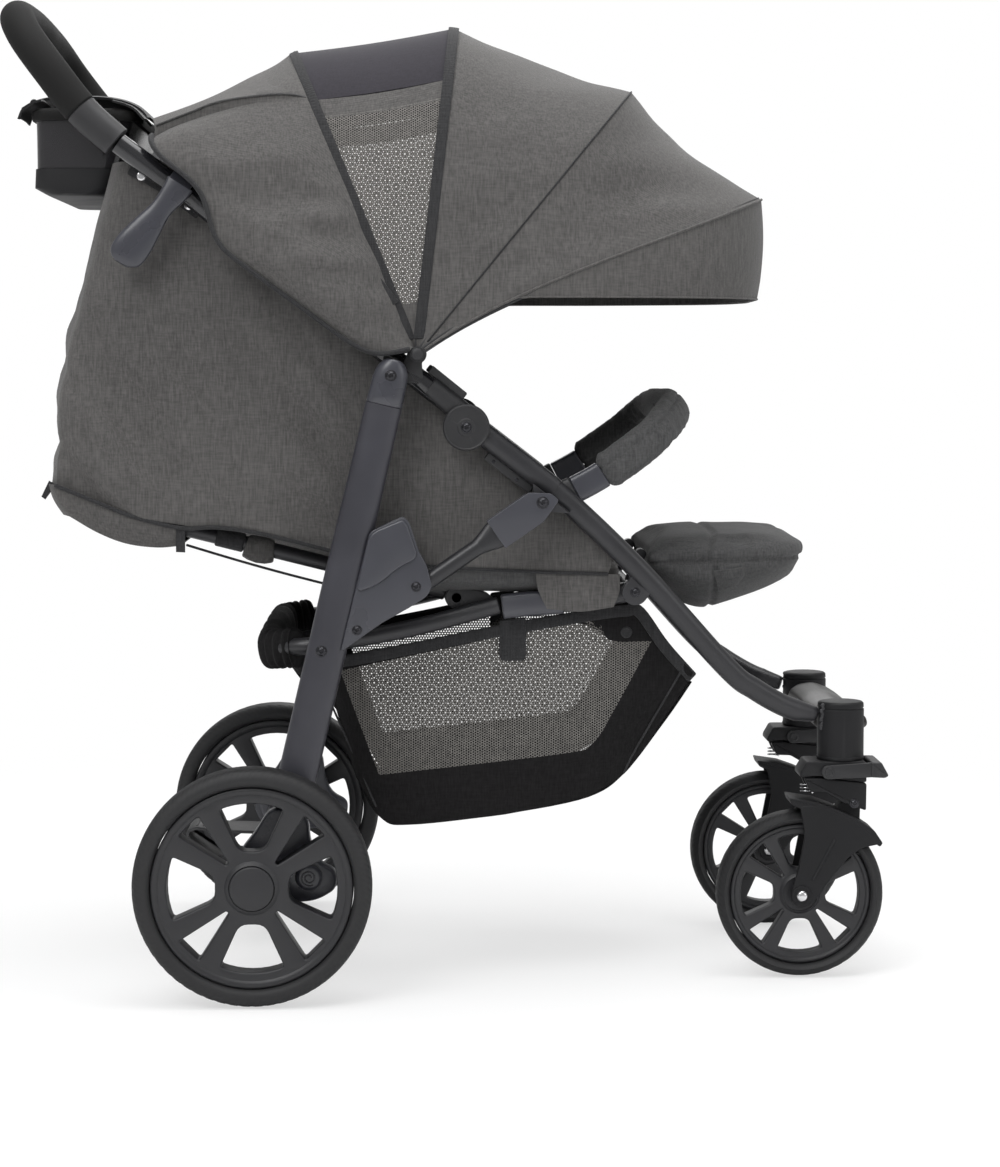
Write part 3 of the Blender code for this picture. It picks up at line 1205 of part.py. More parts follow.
def basket():
    """The shopping basket, a trough of mesh and cloth under the seat."""
    stations = [
        (0.0209, 0.1250, 0.3480, 0.3520), (0.0480, 0.1740, 0.3160, 0.3520),
        (0.0800, 0.1800, 0.3000, 0.3590), (0.1060, 0.1830, 0.2100, 0.3653),
        (0.1300, 0.1831, 0.1720, 0.3695), (0.1600, 0.1831, 0.1660, 0.3750),
        (0.2500, 0.1831, 0.1760, 0.3900), (0.3450, 0.1800, 0.1930, 0.3900),
        (0.3850, 0.1760, 0.2180, 0.3800), (0.4250, 0.1700, 0.2700, 0.3560),
        (0.4560, 0.1640, 0.3140, 0.3250),
    ]
    widest = max(half for x, half, low, high in stations)
    grid = []
    for x, nominal, low, high in stations:
        half = BASKET_HALF_WIDTH * nominal / widest
        depth = high - low
        foot = half - 0.10 * min(depth, 0.18)
        lip = min(0.035, depth * 0.4)
        row = [
            Vector((x, -half, high)), Vector((x, -half + 0.02 * depth, low + depth * 0.5)),
            Vector((x, -foot, low + lip * 0.5)), Vector((x, -foot + 0.030, low + lip * 0.1)),
            Vector((x, -foot * 0.45, low)), Vector((x, 0.0, low - 0.001)),
        ]
        grid.append(full_arch(row))
    return shell("basket", grid, BASKET_CLOTH, "black_cloth", Vector((0.25, 0.0, 0.34)))


def build():
    for tag, side in SIDES.items():
        front_leg(tag, side)
        fold_hinge(tag, side)
        castor_housing(tag, side)
        handle_tube(tag, side)
        stand_paddle(tag, side)
        rear_leg(tag, side)
        gusset(tag, side)
        axle_housing(tag, side)
        rear_wheel(tag, side)
        brace(tag, side)
        castor_fork(tag, side)
        lock_lever(tag, side)
        wheel_fork(tag, side)
        fork_spring(tag, side)
        centre = flat(FRONT_AXLE, side * FRONT_TRACK / 2.0)
        wheel("front", tag, centre, FRONT_WHEEL_R, FRONT_TYRE_WIDTH, FRONT_TYRE_DEPTH,
              FRONT_WHEEL_STEPS, side)
    footplate()
    handle_grip()
    parent_tray()
    tray_lid()
    rear_axle()
    brake_pedal()
    seat_frame()
    seat_link()
    recline_hinge()
    backrest_frame()
    backrest_pad()
    seat_pad()
    harness_buckle()
    calf_rest()
    bumper_bar()
    for index in range(len(BOW_ANGLES)):
        bow(index)
    canopy_rear()
    canopy_panel("canopy_vent", 0, 1, "vent_mesh", 0.035)
    canopy_panel("canopy_mid", 1, 2, "charcoal_cloth", 0.0)
    canopy_panel("canopy_front", 2, 3, "charcoal_cloth", 0.0)
    visor()
    side_cover()
    basket()
    print("fork spring: least gap between curls %.2f mm" % (1000.0 * spring_gap()))


build()
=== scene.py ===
# The looks of a travel system stroller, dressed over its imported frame.
# Side-view places are (x, z) pairs in metres, measured from the rear axle, as in the CAD.
# R is the rider's right, on -Y, the side that the camera sees.
import math

import bmesh
import bpy
from mathutils import Matrix, Vector, noise


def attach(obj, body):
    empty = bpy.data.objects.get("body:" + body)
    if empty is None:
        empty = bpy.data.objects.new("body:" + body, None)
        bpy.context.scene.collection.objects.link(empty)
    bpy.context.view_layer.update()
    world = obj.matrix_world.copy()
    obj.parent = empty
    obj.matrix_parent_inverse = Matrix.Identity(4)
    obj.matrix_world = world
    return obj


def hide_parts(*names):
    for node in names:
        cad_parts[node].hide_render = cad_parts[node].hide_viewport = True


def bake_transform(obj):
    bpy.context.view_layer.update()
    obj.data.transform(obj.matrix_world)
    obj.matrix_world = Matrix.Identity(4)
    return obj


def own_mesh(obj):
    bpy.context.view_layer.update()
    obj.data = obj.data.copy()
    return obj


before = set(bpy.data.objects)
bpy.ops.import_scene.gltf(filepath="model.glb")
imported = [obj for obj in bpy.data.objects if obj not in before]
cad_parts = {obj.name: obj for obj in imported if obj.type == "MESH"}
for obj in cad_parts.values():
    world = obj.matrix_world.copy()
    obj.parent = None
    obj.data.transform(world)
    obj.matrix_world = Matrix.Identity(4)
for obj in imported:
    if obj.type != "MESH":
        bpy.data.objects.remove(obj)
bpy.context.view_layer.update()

AXLE_TO_MIDDLE = 0.2061
SIDES = {"R": -1, "L": 1}
X_AXIS = Vector((1.0, 0.0, 0.0))
Y_AXIS = Vector((0.0, 1.0, 0.0))
Z_AXIS = Vector((0.0, 0.0, 1.0))

# Wheels, the blocks of their tread, and the castor housings
REAR_WHEEL_R = 0.122
REAR_TYRE_WIDTH = 0.044
REAR_TRACK = 0.56
REAR_TYRE_DEPTH = 0.0195
FRONT_WHEEL_R = 0.0891
FRONT_TYRE_WIDTH = 0.035
FRONT_TRACK = 0.293
FRONT_TYRE_DEPTH = 0.0145
REAR_AXLE = (0.0, REAR_WHEEL_R)
FRONT_AXLE = (0.5715, FRONT_WHEEL_R)
REAR_CAP_R = 0.0228
FRONT_CAP_R = 0.018
REAR_BLOCKS = 60
FRONT_BLOCKS = 44
CASTOR_X = 0.6143
CASTOR_HOUSING_R = 0.0246
CASTOR_HOUSING_TOP = 0.2935
CASTOR_HOUSING_BOTTOM = 0.2316

# Tubes and the planes they lie in
TUBE_R = 0.011
TUBE_Y = 0.218
LEG_Y = 0.2425
LEG_HALF_WIDTH = 0.0125
SEAT_TUBE_R = 0.009
SEAT_Y = 0.192
GRIP_R = 0.018
COLLAR_R = 0.0165
COLLAR_LENGTH = 0.046

# The gap between fitted parts, and how far trims stand off their cloth
CLEARANCE = 0.0003
TRIM_LIFT = 0.0012

# Pivots in the side view
FOLD_PIVOT = (0.2174, 0.5837)
LEG_PIVOT = (0.1409, 0.6363)
LEG_FOOT = (0.0365, 0.1945)
BRACE_TOP = (0.2945, 0.508)
BRACE_FOOT = (0.117, 0.3855)
SEAT_PIVOT = (0.3915, 0.4135)
LINK_FOOT = (0.07, 0.3575)
BACKREST_PIVOT = (0.208, 0.406)
CALF_PIVOT = (0.406, 0.445)
CANOPY_PIVOT = (0.1675, 0.658)
SUSPENSION_PIVOT = (0.6265, 0.1869)
LOCK_PIVOT = (0.5987, 0.2204)

FRONT_LEG_LINE = (
    (0.2345, 0.218, 0.577), (0.3095, 0.2165, 0.518), (0.396, 0.208, 0.4356),
    (0.4886, 0.183, 0.3335), (0.52, 0.172, 0.3085), (0.556, 0.159, 0.288),
    (0.5875, 0.15, 0.279),
)
GRIP_LINE = (
    (-0.1355, 0.218, 0.8719), (-0.17, 0.218, 0.903), (-0.203, 0.216, 0.945),
    (-0.226, 0.204, 0.976), (-0.239, 0.174, 0.997), (-0.244, 0.12, 1.006),
    (-0.2455, 0.0, 1.01),
)
BUMPER_LINE = (
    (0.329, 0.208, 0.519), (0.346, 0.2075, 0.528), (0.363, 0.206, 0.5385), (0.401, 0.198, 0.566),
    (0.424, 0.178, 0.587), (0.438, 0.13, 0.601), (0.443, 0.0, 0.605),
)
BUMPER_ARM_LENGTH = 0.03

# Angles in degrees above which an edge is shaded sharp
PLAIN_SHARP = 38.0
RIM_SHARP = 32.0
MOULDED_SHARP = 50.0
CLOTH_SHARP = 60.0

# Canopy bows: angle in degrees, radius over the middle, and distance from the middle at the hub
BOW_ANGLES = (112.2, 83.4, 50.6, 24.1)
BOW_RADII = (0.341, 0.344, 0.357, 0.4)
BOW_Y = (0.2307, 0.2341, 0.2375, 0.2409)
FRONT_BOW_BEND = 11.0
CLOTH_LIFT = 0.0022
VISOR_HEM = 0.716
# Places along a bow, from 0 at its top to 1 at the hub: the ends of the cloth, the net and the band over it
HUB_END = 0.985
VENT_FOOT = 0.9
VENT_TOP = 0.453
VENT_BAND = 0.398
# The hood's rear edge from the hub up to the corner over the tray
REAR_EDGE = (
    (0.1604, 0.6634), (0.1327, 0.6571), (0.1179, 0.6592), (0.0989, 0.6698), (0.0756, 0.6868),
    (0.0396, 0.7132), (-0.0025, 0.7437), (-0.0299, 0.7648), (-0.0371, 0.7774), (-0.0413, 0.7943),
    (-0.0454, 0.8132), (-0.051, 0.824), (-0.064, 0.8365), (-0.0795, 0.8475), (-0.0935, 0.859),
)
REAR_EDGE_Y = 0.2455
REAR_CORNER = (-0.1, 0.8705)


def at(x, z, y=0.0):
    """A side-view place at the distance y from the middle, in the frame."""
    return Vector((x - AXLE_TO_MIDDLE, y, z))


def side_view(spot, depth):
    return at(spot[0], spot[1], depth)


def top_view(spot, depth):
    return Vector((spot[0] - AXLE_TO_MIDDLE, spot[1], depth))


# Looks
def new_tree(name):
    mat = bpy.data.materials.new(name)
    mat.use_nodes = True
    return mat, mat.node_tree, mat.node_tree.nodes["Principled BSDF"]


def add_node(tree, kind, links=(), **settings):
    """A shader node; links are (input, source socket) pairs and settings are inputs or properties."""
    made = tree.nodes.new(kind)
    for key, value in settings.items():
        name = key.replace("_", " ").title()
        if name in made.inputs:
            made.inputs[name].default_value = value
        else:
            setattr(made, key, value)
    for target, source in links:
        tree.links.new(source, made.inputs[target])
    return made


def mapped(tree, scale=(1, 1, 1), turn=0.0):
    """Object coordinates, stretched by the scale and turned about Y."""
    coords = add_node(tree, "ShaderNodeTexCoord")
    return add_node(tree, "ShaderNodeMapping", [("Vector", coords.outputs["Object"])], Scale=scale,
                    Rotation=(0.0, math.radians(turn), 0.0)).outputs[0]


def ramp(tree, source, low, high, low_color, high_color):
    made = add_node(tree, "ShaderNodeValToRGB", [("Fac", source)])
    made.color_ramp.elements[0].position = low
    made.color_ramp.elements[0].color = (*low_color, 1.0)
    made.color_ramp.elements[1].position = high
    made.color_ramp.elements[1].color = (*high_color, 1.0)
    return made.outputs["Color"]


def scaled(color, factor):
    return tuple(min(1.0, c * factor) for c in color)


def hard_look(name, color, roughness, metallic=0.0, mottle=0.16, grain=1100.0, bump=0.12, edge_highlight=0.0,
              extra=None):
    """Paint, moulded plastic, rubber or metal: uneven tone and gloss, fine grain, and sharp edges lightened
    as a painted highlight.
    """
    mat, tree, shader = new_tree(name)
    patches = add_node(tree, "ShaderNodeTexNoise", [("Vector", mapped(tree))], Scale=17.0, Detail=4.0)
    specks = add_node(tree, "ShaderNodeTexNoise", [("Vector", mapped(tree))], Scale=grain, Detail=2.0)
    tone = ramp(
        tree, patches.outputs["Fac"], 0.3, 0.7, scaled(color, 1.0 - mottle), scaled(color, 1.0 + mottle))
    # Lighten the colour along sharp convex edges: a painted edge highlight.
    if edge_highlight:
        edges = add_node(tree, "ShaderNodeNewGeometry")
        lit_edges = ramp(tree, edges.outputs["Pointiness"], 0.505, 0.56, (0, 0, 0), (edge_highlight, edge_highlight, edge_highlight))
        mix = add_node(tree, "ShaderNodeMix", data_type="RGBA", blend_type="ADD")
        mix.inputs[0].default_value = 1.0
        tree.links.new(tone, mix.inputs[6])
        tree.links.new(lit_edges, mix.inputs[7])
        tone = mix.outputs[2]
    tree.links.new(tone, shader.inputs["Base Color"])
    gloss = add_node(tree, "ShaderNodeMapRange", [("Value", patches.outputs["Fac"])])
    gloss.inputs["From Min"].default_value = 0.3
    gloss.inputs["From Max"].default_value = 0.7
    gloss.inputs["To Min"].default_value = roughness - 0.05
    gloss.inputs["To Max"].default_value = roughness + 0.06
    tree.links.new(gloss.outputs[0], shader.inputs["Roughness"])
    relief = add_node(
        tree, "ShaderNodeBump", [("Height", specks.outputs["Fac"])], Strength=bump, Distance=0.0004)
    tree.links.new(relief.outputs[0], shader.inputs["Normal"])
    shader.inputs["Metallic"].default_value = metallic
    for socket, value in (extra or {}).items():
        shader.inputs[socket].default_value = value
    return mat


def wave(tree, direction, pitch, turn=0.0, uneven=0.0):
    """Sine bands across one axis, pitch metres apart, turned in the side view."""
    return add_node(tree, "ShaderNodeTexWave", [("Vector", mapped(tree, turn=turn))],
                    bands_direction=direction, Scale=2.0 * math.pi / (20.0 * pitch), Distortion=uneven,
                    Detail=0.0, Detail_Scale=0.5).outputs["Fac"]


def maths(tree, operation, *values):
    made = add_node(tree, "ShaderNodeMath", operation=operation)
    for k, value in enumerate(values):
        if isinstance(value, (int, float)):
            made.inputs[k].default_value = value
        else:
            tree.links.new(value, made.inputs[k])
    return made.outputs[0]


def cloth_look(name, dark, light, pitch=0.0011, bump=0.35, hole_pitch=0.0, hole_share=1.35,
               sheen=0.12, hole_turn=0.0, shine=0.5):
    """Woven cloth: streaky mixed yarn, broad patches of painted fold shade, a plain weave in relief, and
    round holes if it is a net.
    """
    mat, tree, shader = new_tree(name)
    yarn = add_node(
        tree, "ShaderNodeTexNoise", [("Vector", mapped(tree, (1.0, 1.0, 0.1)))], Scale=620.0, Detail=3.0)
    cross = add_node(tree, "ShaderNodeTexNoise", [("Vector", mapped(tree, (0.14, 1.0, 1.0)))], Scale=560.0,
                     Detail=2.0)
    # Broad soft patches that lighten and darken the cloth: painted shade of folds, laid at random.
    fold_shade = add_node(tree, "ShaderNodeTexNoise", [("Vector", mapped(tree))], Scale=7.0, Detail=2.0)
    mixed = maths(tree, "ADD", maths(tree, "MULTIPLY", yarn.outputs["Fac"], 0.55),
                  maths(tree, "MULTIPLY", cross.outputs["Fac"], 0.3))
    mixed = maths(tree, "ADD", mixed, maths(tree, "MULTIPLY", fold_shade.outputs["Fac"], 0.15))
    tree.links.new(ramp(tree, mixed, 0.36, 0.66, dark, light), shader.inputs["Base Color"])
    shader.inputs["Roughness"].default_value = 0.88
    shader.inputs["Sheen Weight"].default_value = sheen
    shader.inputs["Specular IOR Level"].default_value = shine
    shader.inputs["Sheen Roughness"].default_value = 0.45
    weave = maths(tree, "ADD", wave(tree, "X", pitch), maths(tree, "ADD", wave(tree, "Z", pitch),
                                                             wave(tree, "Y", pitch)))
    relief = add_node(tree, "ShaderNodeBump", [("Height", maths(tree, "ADD", weave, mixed))], Strength=bump,
                      Distance=0.0004)
    tree.links.new(relief.outputs[0], shader.inputs["Normal"])
    if hole_pitch:
        threads = maths(tree, "ADD", wave(tree, "X", hole_pitch, hole_turn, 0.9), maths(
            tree, "ADD", wave(tree, "X", hole_pitch, hole_turn + 60.0, 0.9),
            wave(tree, "X", hole_pitch, hole_turn + 120.0, 0.9)))
        tree.links.new(maths(tree, "GREATER_THAN", threads, hole_share), shader.inputs["Alpha"])
    return mat


LOOKS = {
    "frame": hard_look("frame_paint", (0.019, 0.019, 0.0215), 0.38, 0.2, edge_highlight=0.006),
    # The rear legs take a lighter, bluer copy of the frame paint: a painted broad highlight and bluish
    # sheen.
    "leg": hard_look("lit_leg_paint", (0.033, 0.033, 0.041), 0.36, 0.2, edge_highlight=0.006),
    "plastic": hard_look("moulded_plastic", (0.008, 0.008, 0.0095), 0.53, grain=1500.0, bump=0.2,
                         edge_highlight=0.008),
    # A darker copy of the moulded plastic with weaker reflections: the weaker reflections are a duller
    # finish, the darker colour is painted shade.
    "dull_shaded_plastic": hard_look("dull_shaded_plastic", (0.0055, 0.0055, 0.0065), 0.56, grain=1500.0, bump=0.2,
                              edge_highlight=0.006, extra={"Specular IOR Level": 0.26}),
    "gloss": hard_look("glossy_plastic", (0.034, 0.035, 0.044), 0.3, grain=600.0, bump=0.05,
                       edge_highlight=0.012, mottle=0.08),
    "glossy_tube": hard_look("polished_paint", (0.011, 0.011, 0.013), 0.2, 0.2, bump=0.03,
                             extra={"Coat Weight": 0.4, "Coat Roughness": 0.12}),
    "foam": hard_look("grip_foam", (0.008, 0.0079, 0.0078), 0.8, grain=1900.0, bump=0.35, mottle=0.1,
                      extra={"Specular IOR Level": 0.22}),
    "tyre": hard_look("tyre_rubber", (0.0085, 0.0085, 0.0095), 0.62, grain=1300.0, bump=0.25, edge_highlight=0.01,
                      extra={"Specular IOR Level": 0.38}),
    "rim": hard_look("rim_plastic", (0.0105, 0.0105, 0.0125), 0.46, grain=1400.0, bump=0.12, edge_highlight=0.006),
    "smoke": hard_look("smoky_plastic", (0.03, 0.029, 0.032), 0.12, bump=0.0, mottle=0.05,
                       extra={"Transmission Weight": 0.35, "IOR": 1.49}),
    "steel": hard_look("bright_steel", (0.6, 0.6, 0.61), 0.22, 1.0, mottle=0.08, bump=0.08),
    "bolt": hard_look("black_bolt", (0.03, 0.03, 0.034), 0.24, 0.7, bump=0.05),
    "plate": hard_look("foot_plate", (0.0135, 0.0125, 0.0118), 0.36, bump=0.06, mottle=0.08,
                       extra={"Specular IOR Level": 0.36}),
    "charcoal_cloth": cloth_look("charcoal_weave", (0.046, 0.044, 0.043), (0.096, 0.092, 0.089)),
    "black_cloth": cloth_look("black_weave", (0.005, 0.0047, 0.005), (0.012, 0.0115, 0.012),
                              sheen=0.02, shine=0.16),
    "pad_cloth": cloth_look("pad_weave", (0.029, 0.029, 0.03), (0.069, 0.069, 0.069), sheen=0.1),
    "navy_cloth": cloth_look("navy_film", (0.01, 0.0085, 0.013), (0.019, 0.0165, 0.024),
                             bump=0.1, sheen=0.05),
    "webbing": cloth_look("webbing_weave", (0.01, 0.01, 0.011), (0.024, 0.024, 0.026),
                          pitch=0.0016, bump=0.5, sheen=0.05),
    "vent_mesh": cloth_look("vent_net", (0.085, 0.081, 0.076), (0.16, 0.152, 0.142), hole_pitch=0.0022,
                            hole_share=1.18),
    "vent_mesh_far": cloth_look("vent_net_far", (0.085, 0.081, 0.076), (0.16, 0.152, 0.142),
                                hole_pitch=0.0025, hole_share=1.18, hole_turn=30.0),
    "basket_mesh": cloth_look("basket_net", (0.075, 0.072, 0.068), (0.15, 0.143, 0.133), hole_pitch=0.0024,
                              hole_share=1.25),
    "basket_mesh_far": cloth_look("basket_net_far", (0.075, 0.072, 0.068), (0.15, 0.143, 0.133),
                                  hole_pitch=0.0027, hole_share=1.25, hole_turn=30.0),
}


# Shape helpers
def piece(name, bm, look, body=None, node=(), smooth=PLAIN_SHARP, other_looks=()):
    """Turn a bmesh into a named piece that rides on a body and stands for its CAD nodes."""
    bmesh.ops.recalc_face_normals(bm, faces=bm.faces)
    mesh = bpy.data.meshes.new(name)
    bm.to_mesh(mesh)
    bm.free()
    mesh.shade_smooth()
    mesh.set_sharp_from_angle(angle=math.radians(smooth))
    obj = bpy.data.objects.new(name, mesh)
    for finish in (look, *other_looks):
        mesh.materials.append(LOOKS[finish])
    bpy.context.scene.collection.objects.link(obj)
    if body:
        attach(obj, body)
    if node:
        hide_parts(*([node] if isinstance(node, str) else node))
    return obj


def loft(bm, rings, capped=True, looped=False):
    """Faces through rings that have the same number of points."""
    loops = [[bm.verts.new(p) for p in ring] for ring in rings]
    count = len(loops[0])
    pairs = list(zip(loops, loops[1:]))
    if looped:
        pairs.append((loops[-1], loops[0]))
    for low, high in pairs:
        for k in range(count):
            n = (k + 1) % count
            bm.faces.new((low[k], low[n], high[n], high[k]))
    if capped and not looped:
        bm.faces.new(list(reversed(loops[0])))
        bm.faces.new(loops[-1])
    return loops


def resampled(points, count):
    """count points on a Catmull-Rom curve through the points."""
    spots = [Vector(p) for p in points]
    ends = [2.0 * spots[0] - spots[1]] + spots + [2.0 * spots[-1] - spots[-2]]
    spans = len(spots) - 1
    out = []
    for k in range(count):
        s = spans * k / (count - 1)
        i = min(int(s), spans - 1)
        t = s - i
        a, b, c, d = ends[i:i + 4]
        out.append(0.5 * (2.0 * b + (c - a) * t + (2.0 * a - 5.0 * b + 4.0 * c - d) * t * t
                          + (3.0 * b - a - 3.0 * c + d) * t * t * t))
    return out


def lengths_of(path):
    run = [0.0]
    for a, b in zip(path, path[1:]):
        run.append(run[-1] + (b - a).length)
    return run


def line_points(line, side):
    """A (x, distance, z) line on one side of the stroller."""
    return [at(x, z, side * y) for x, y, z in line]


def both_sides(half):
    """A half row that ends in the middle, carried over to the other side."""
    return half + [Vector((p.x, -p.y, p.z)) for p in reversed(half[:-1])]


def full_path(line, count):
    return resampled(both_sides(line_points(line, -1)), count)


def sided(rows, side):
    """Rows of (x, z, distance) places on one side of the stroller."""
    return [[at(x, z, side * y) for x, z, y in row] for row in rows]


def evenly(path, count):
    """count places at equal distances along the straight lines of a path."""
    run = lengths_of(path)
    out = []
    for k in range(count):
        want = run[-1] * k / (count - 1)
        i = max(0, min(len(run) - 2, next((n for n, r in enumerate(run) if r > want), len(run) - 1) - 1))
        out.append(path[i].lerp(path[i + 1], min(1.0, (want - run[i]) / (run[i + 1] - run[i]))))
    return out


def circle(centre, radius, count):
    return [Vector((centre[0] + radius * math.cos(a), centre[1] + radius * math.sin(a)))
            for a in (2.0 * math.pi * n / count for n in range(count))]


def oval(sides, a, b, power=2.0):
    ring = []
    for k in range(sides):
        angle = 2.0 * math.pi * (k + 0.5) / sides
        c, s = math.cos(angle), math.sin(angle)
        ring.append((
            a * math.copysign(abs(c) ** (2.0 / power), c), b * math.copysign(abs(s) ** (2.0 / power), s)))
    return ring


def sweep(bm, path, across, up, sides=24, power=2.0, side=Y_AXIS, tip=0.0012):
    """A tube along a path. across and up are half sizes, one value or one for each point."""
    path = list(path)
    wide = list(across) if isinstance(across, (list, tuple)) else [across] * len(path)
    tall = list(up) if isinstance(up, (list, tuple)) else [up] * len(path)
    if tip:
        first = path[0] + (path[1] - path[0]).normalized() * tip
        last = path[-1] + (path[-2] - path[-1]).normalized() * tip
        path = [path[0], first] + path[1:-1] + [last, path[-1]]
        wide = [wide[0] - tip, wide[0]] + wide[1:-1] + [wide[-1], wide[-1] - tip]
        tall = [tall[0] - tip, tall[0]] + tall[1:-1] + [tall[-1], tall[-1] - tip]
    rings = []
    u = side.copy()
    last = len(path) - 1
    for k, point in enumerate(path):
        ahead = (path[min(k + 1, last)] - path[max(k - 1, 0)]).normalized()
        u = (u - ahead * u.dot(ahead)).normalized()
        v = ahead.cross(u)
        rings.append([point + u * pu + v * pv for pu, pv in oval(sides, wide[k], tall[k], power)])
    loft(bm, rings)
    return bm


def eased(points, ease, steps=3, closed=True):
    """Round each corner of a flat outline."""
    count = len(points)
    out = []
    for k in range(count):
        here = Vector(points[k])
        if not closed and k in (0, count - 1):
            out.append(here)
            continue
        before = Vector(points[k - 1]) - here
        after = Vector(points[(k + 1) % count]) - here
        reach = min(ease, 0.45 * before.length, 0.45 * after.length)
        turn = before.angle(after, math.pi)
        if reach <= 0.0 or turn > math.radians(168.0):
            out.append(here)
            continue
        start = here + before.normalized() * reach
        end = here + after.normalized() * reach
        for s in range(steps + 1):
            t = s / steps
            out.append(start * (1 - t) ** 2 + here * 2 * t * (1 - t) + end * t * t)
    return out


def shrunk(outline, inset):
    """The outline moved inwards by the inset, or outwards where it is negative."""
    count = len(outline)
    area = sum(outline[k - 1][0] * outline[k][1] - outline[k][0] * outline[k - 1][1] for k in range(count))
    turn = 1.0 if area > 0 else -1.0
    out = []
    for k in range(count):
        here = Vector(outline[k])
        back = (here - Vector(outline[k - 1])).normalized()
        ahead = (Vector(outline[(k + 1) % count]) - here).normalized()
        mid = back + ahead
        mid = mid.normalized() if mid.length > 1e-9 else ahead
        normal = Vector((-mid.y, mid.x)) * turn
        widen = max(0.45, abs(normal.dot(Vector((-ahead.y, ahead.x)))))
        out.append(here + normal * inset / widen)
    return out


def slab(bm, outline, low, high, edge=0.001, holes=(), place=side_view):
    """A plate between two depths, with rounded edges and any holes through it."""
    steps = [math.radians(a) for a in (0, 30, 60, 90)]
    depths = [(low + edge * (1 - math.sin(a)), edge * (1 - math.cos(a))) for a in reversed(steps)]
    depths += [(high - edge * (1 - math.sin(a)), edge * (1 - math.cos(a))) for a in steps]
    ends = ([], [])
    for number, loop in enumerate([outline, *holes]):
        sign = -1.0 if number else 1.0
        rings = [[place(p, depth) for p in shrunk(loop, inset * sign)] for depth, inset in depths]
        loops = loft(bm, rings, capped=False)
        ends[0].append(loops[0])
        ends[1].append(loops[-1])
    for cap in ends:
        if not holes:
            bm.faces.new(cap[0])
            continue
        edges = [bm.edges.get((loop[k - 1], loop[k])) for loop in cap for k in range(len(loop))]
        bmesh.ops.triangle_fill(bm, use_beauty=True, use_dissolve=False, edges=edges)


def side_slab(bm, outline, side, low, high, edge=0.001):
    """A slab between two distances from the middle, on one side."""
    a, b = sorted((side * low, side * high))
    slab(bm, outline, a, b, edge)


def lathe(bm, profile, base, axis, steps=48, ease=0.001):
    """A (radius, distance along the axis) profile turned round the axis."""
    axis = axis.normalized()
    seed = X_AXIS if abs(axis.dot(X_AXIS)) < 0.9 else Z_AXIS
    u = (seed - axis * seed.dot(axis)).normalized()
    v = axis.cross(u)
    solid = profile[0][0] <= 0.0
    spots = eased(profile, ease, closed=not solid)
    columns = []
    for radius, along in spots:
        base_here = base + axis * along
        if radius <= 1e-7:
            columns.append([bm.verts.new(base_here)] * steps)
            continue
        columns.append([bm.verts.new(base_here + radius * (u * math.cos(a) + v * math.sin(a)))
                        for a in (2.0 * math.pi * k / steps for k in range(steps))])
    pairs = list(zip(columns, columns[1:]))
    if not solid:
        pairs.append((columns[-1], columns[0]))
    for first, second in pairs:
        for k in range(steps):
            n = (k + 1) % steps
            corners = list(dict.fromkeys((first[k], first[n], second[n], second[k])))
            if len(corners) > 2:
                bm.faces.new(corners)


def rod(bm, start, end, radius, steps):
    length = (end - start).length
    lathe(bm, [(0.0, 0.0), (radius, 0.0), (radius, length), (0.0, length)], start, end - start, steps)


def bolt(bm, spot, side, radius, height):
    """A domed bolt head with a hex recess, on a thin washer."""
    lathe(bm, [(0.0, -0.002), (radius * 1.28, -0.002), (radius * 1.28, height * 0.14),
               (radius, height * 0.18), (radius * 0.93, height * 0.62), (radius * 0.6, height * 0.95),
               (radius * 0.4, height), (radius * 0.36, height * 0.55), (0.0, height * 0.55)], spot,
          Y_AXIS * side, 36, 0.0003)


def arc(centre, radius, start, end, steps=12):
    points = []
    for k in range(steps + 1):
        angle = math.radians(start + (end - start) * k / steps)
        points.append((centre[0] + radius * math.cos(angle), centre[1] + radius * math.sin(angle)))
    return points


def normals_of(grid, toward):
    """Unit normals of a grid of points, on the side away from the point toward."""
    rows, cols = len(grid), len(grid[0])
    out = []
    for i in range(rows):
        line = []
        for j in range(cols):
            du = grid[min(i + 1, rows - 1)][j] - grid[max(i - 1, 0)][j]
            dv = grid[i][min(j + 1, cols - 1)] - grid[i][max(j - 1, 0)]
            normal = du.cross(dv)
            if normal.length < 1e-12:
                normal = grid[i][j] - toward
            normal.normalize()
            if normal.dot(grid[i][j] - toward) < 0.0:
                normal = -normal
            line.append(normal)
        out.append(line)
    return out


def sheet(bm, grid, thickness, toward, chooser=None):
    """A closed sheet of cloth: the grid, and the same grid moved inwards."""
    rows, cols = len(grid), len(grid[0])
    normals = normals_of(grid, toward)
    front = [[bm.verts.new(p) for p in line] for line in grid]
    back = [[bm.verts.new(p - n * thickness) for p, n in zip(line, ns)] for line, ns in zip(grid, normals)]
    for i in range(rows - 1):
        for j in range(cols - 1):
            outer = bm.faces.new((front[i][j], front[i][j + 1], front[i + 1][j + 1], front[i + 1][j]))
            inner = bm.faces.new((back[i][j], back[i + 1][j], back[i + 1][j + 1], back[i][j + 1]))
            if chooser:
                outer.material_index = inner.material_index = chooser(i, j)
    rim = [(0, j) for j in range(cols)] + [(i, cols - 1) for i in range(1, rows)]
    rim += [(rows - 1, j) for j in range(cols - 2, -1, -1)] + [(i, 0) for i in range(rows - 2, 0, -1)]
    for k, (i, j) in enumerate(rim):
        p, q = rim[(k + 1) % len(rim)]
        bm.faces.new((front[i][j], front[p][q], back[p][q], back[i][j]))
    return bm


def dense(grid, rows, cols):
    """A finer grid on smooth curves through a coarse one."""
    wide = [resampled(line, cols) for line in grid]
    return [list(row) for row in zip(*[resampled([line[j] for line in wide], rows) for j in range(cols)])]


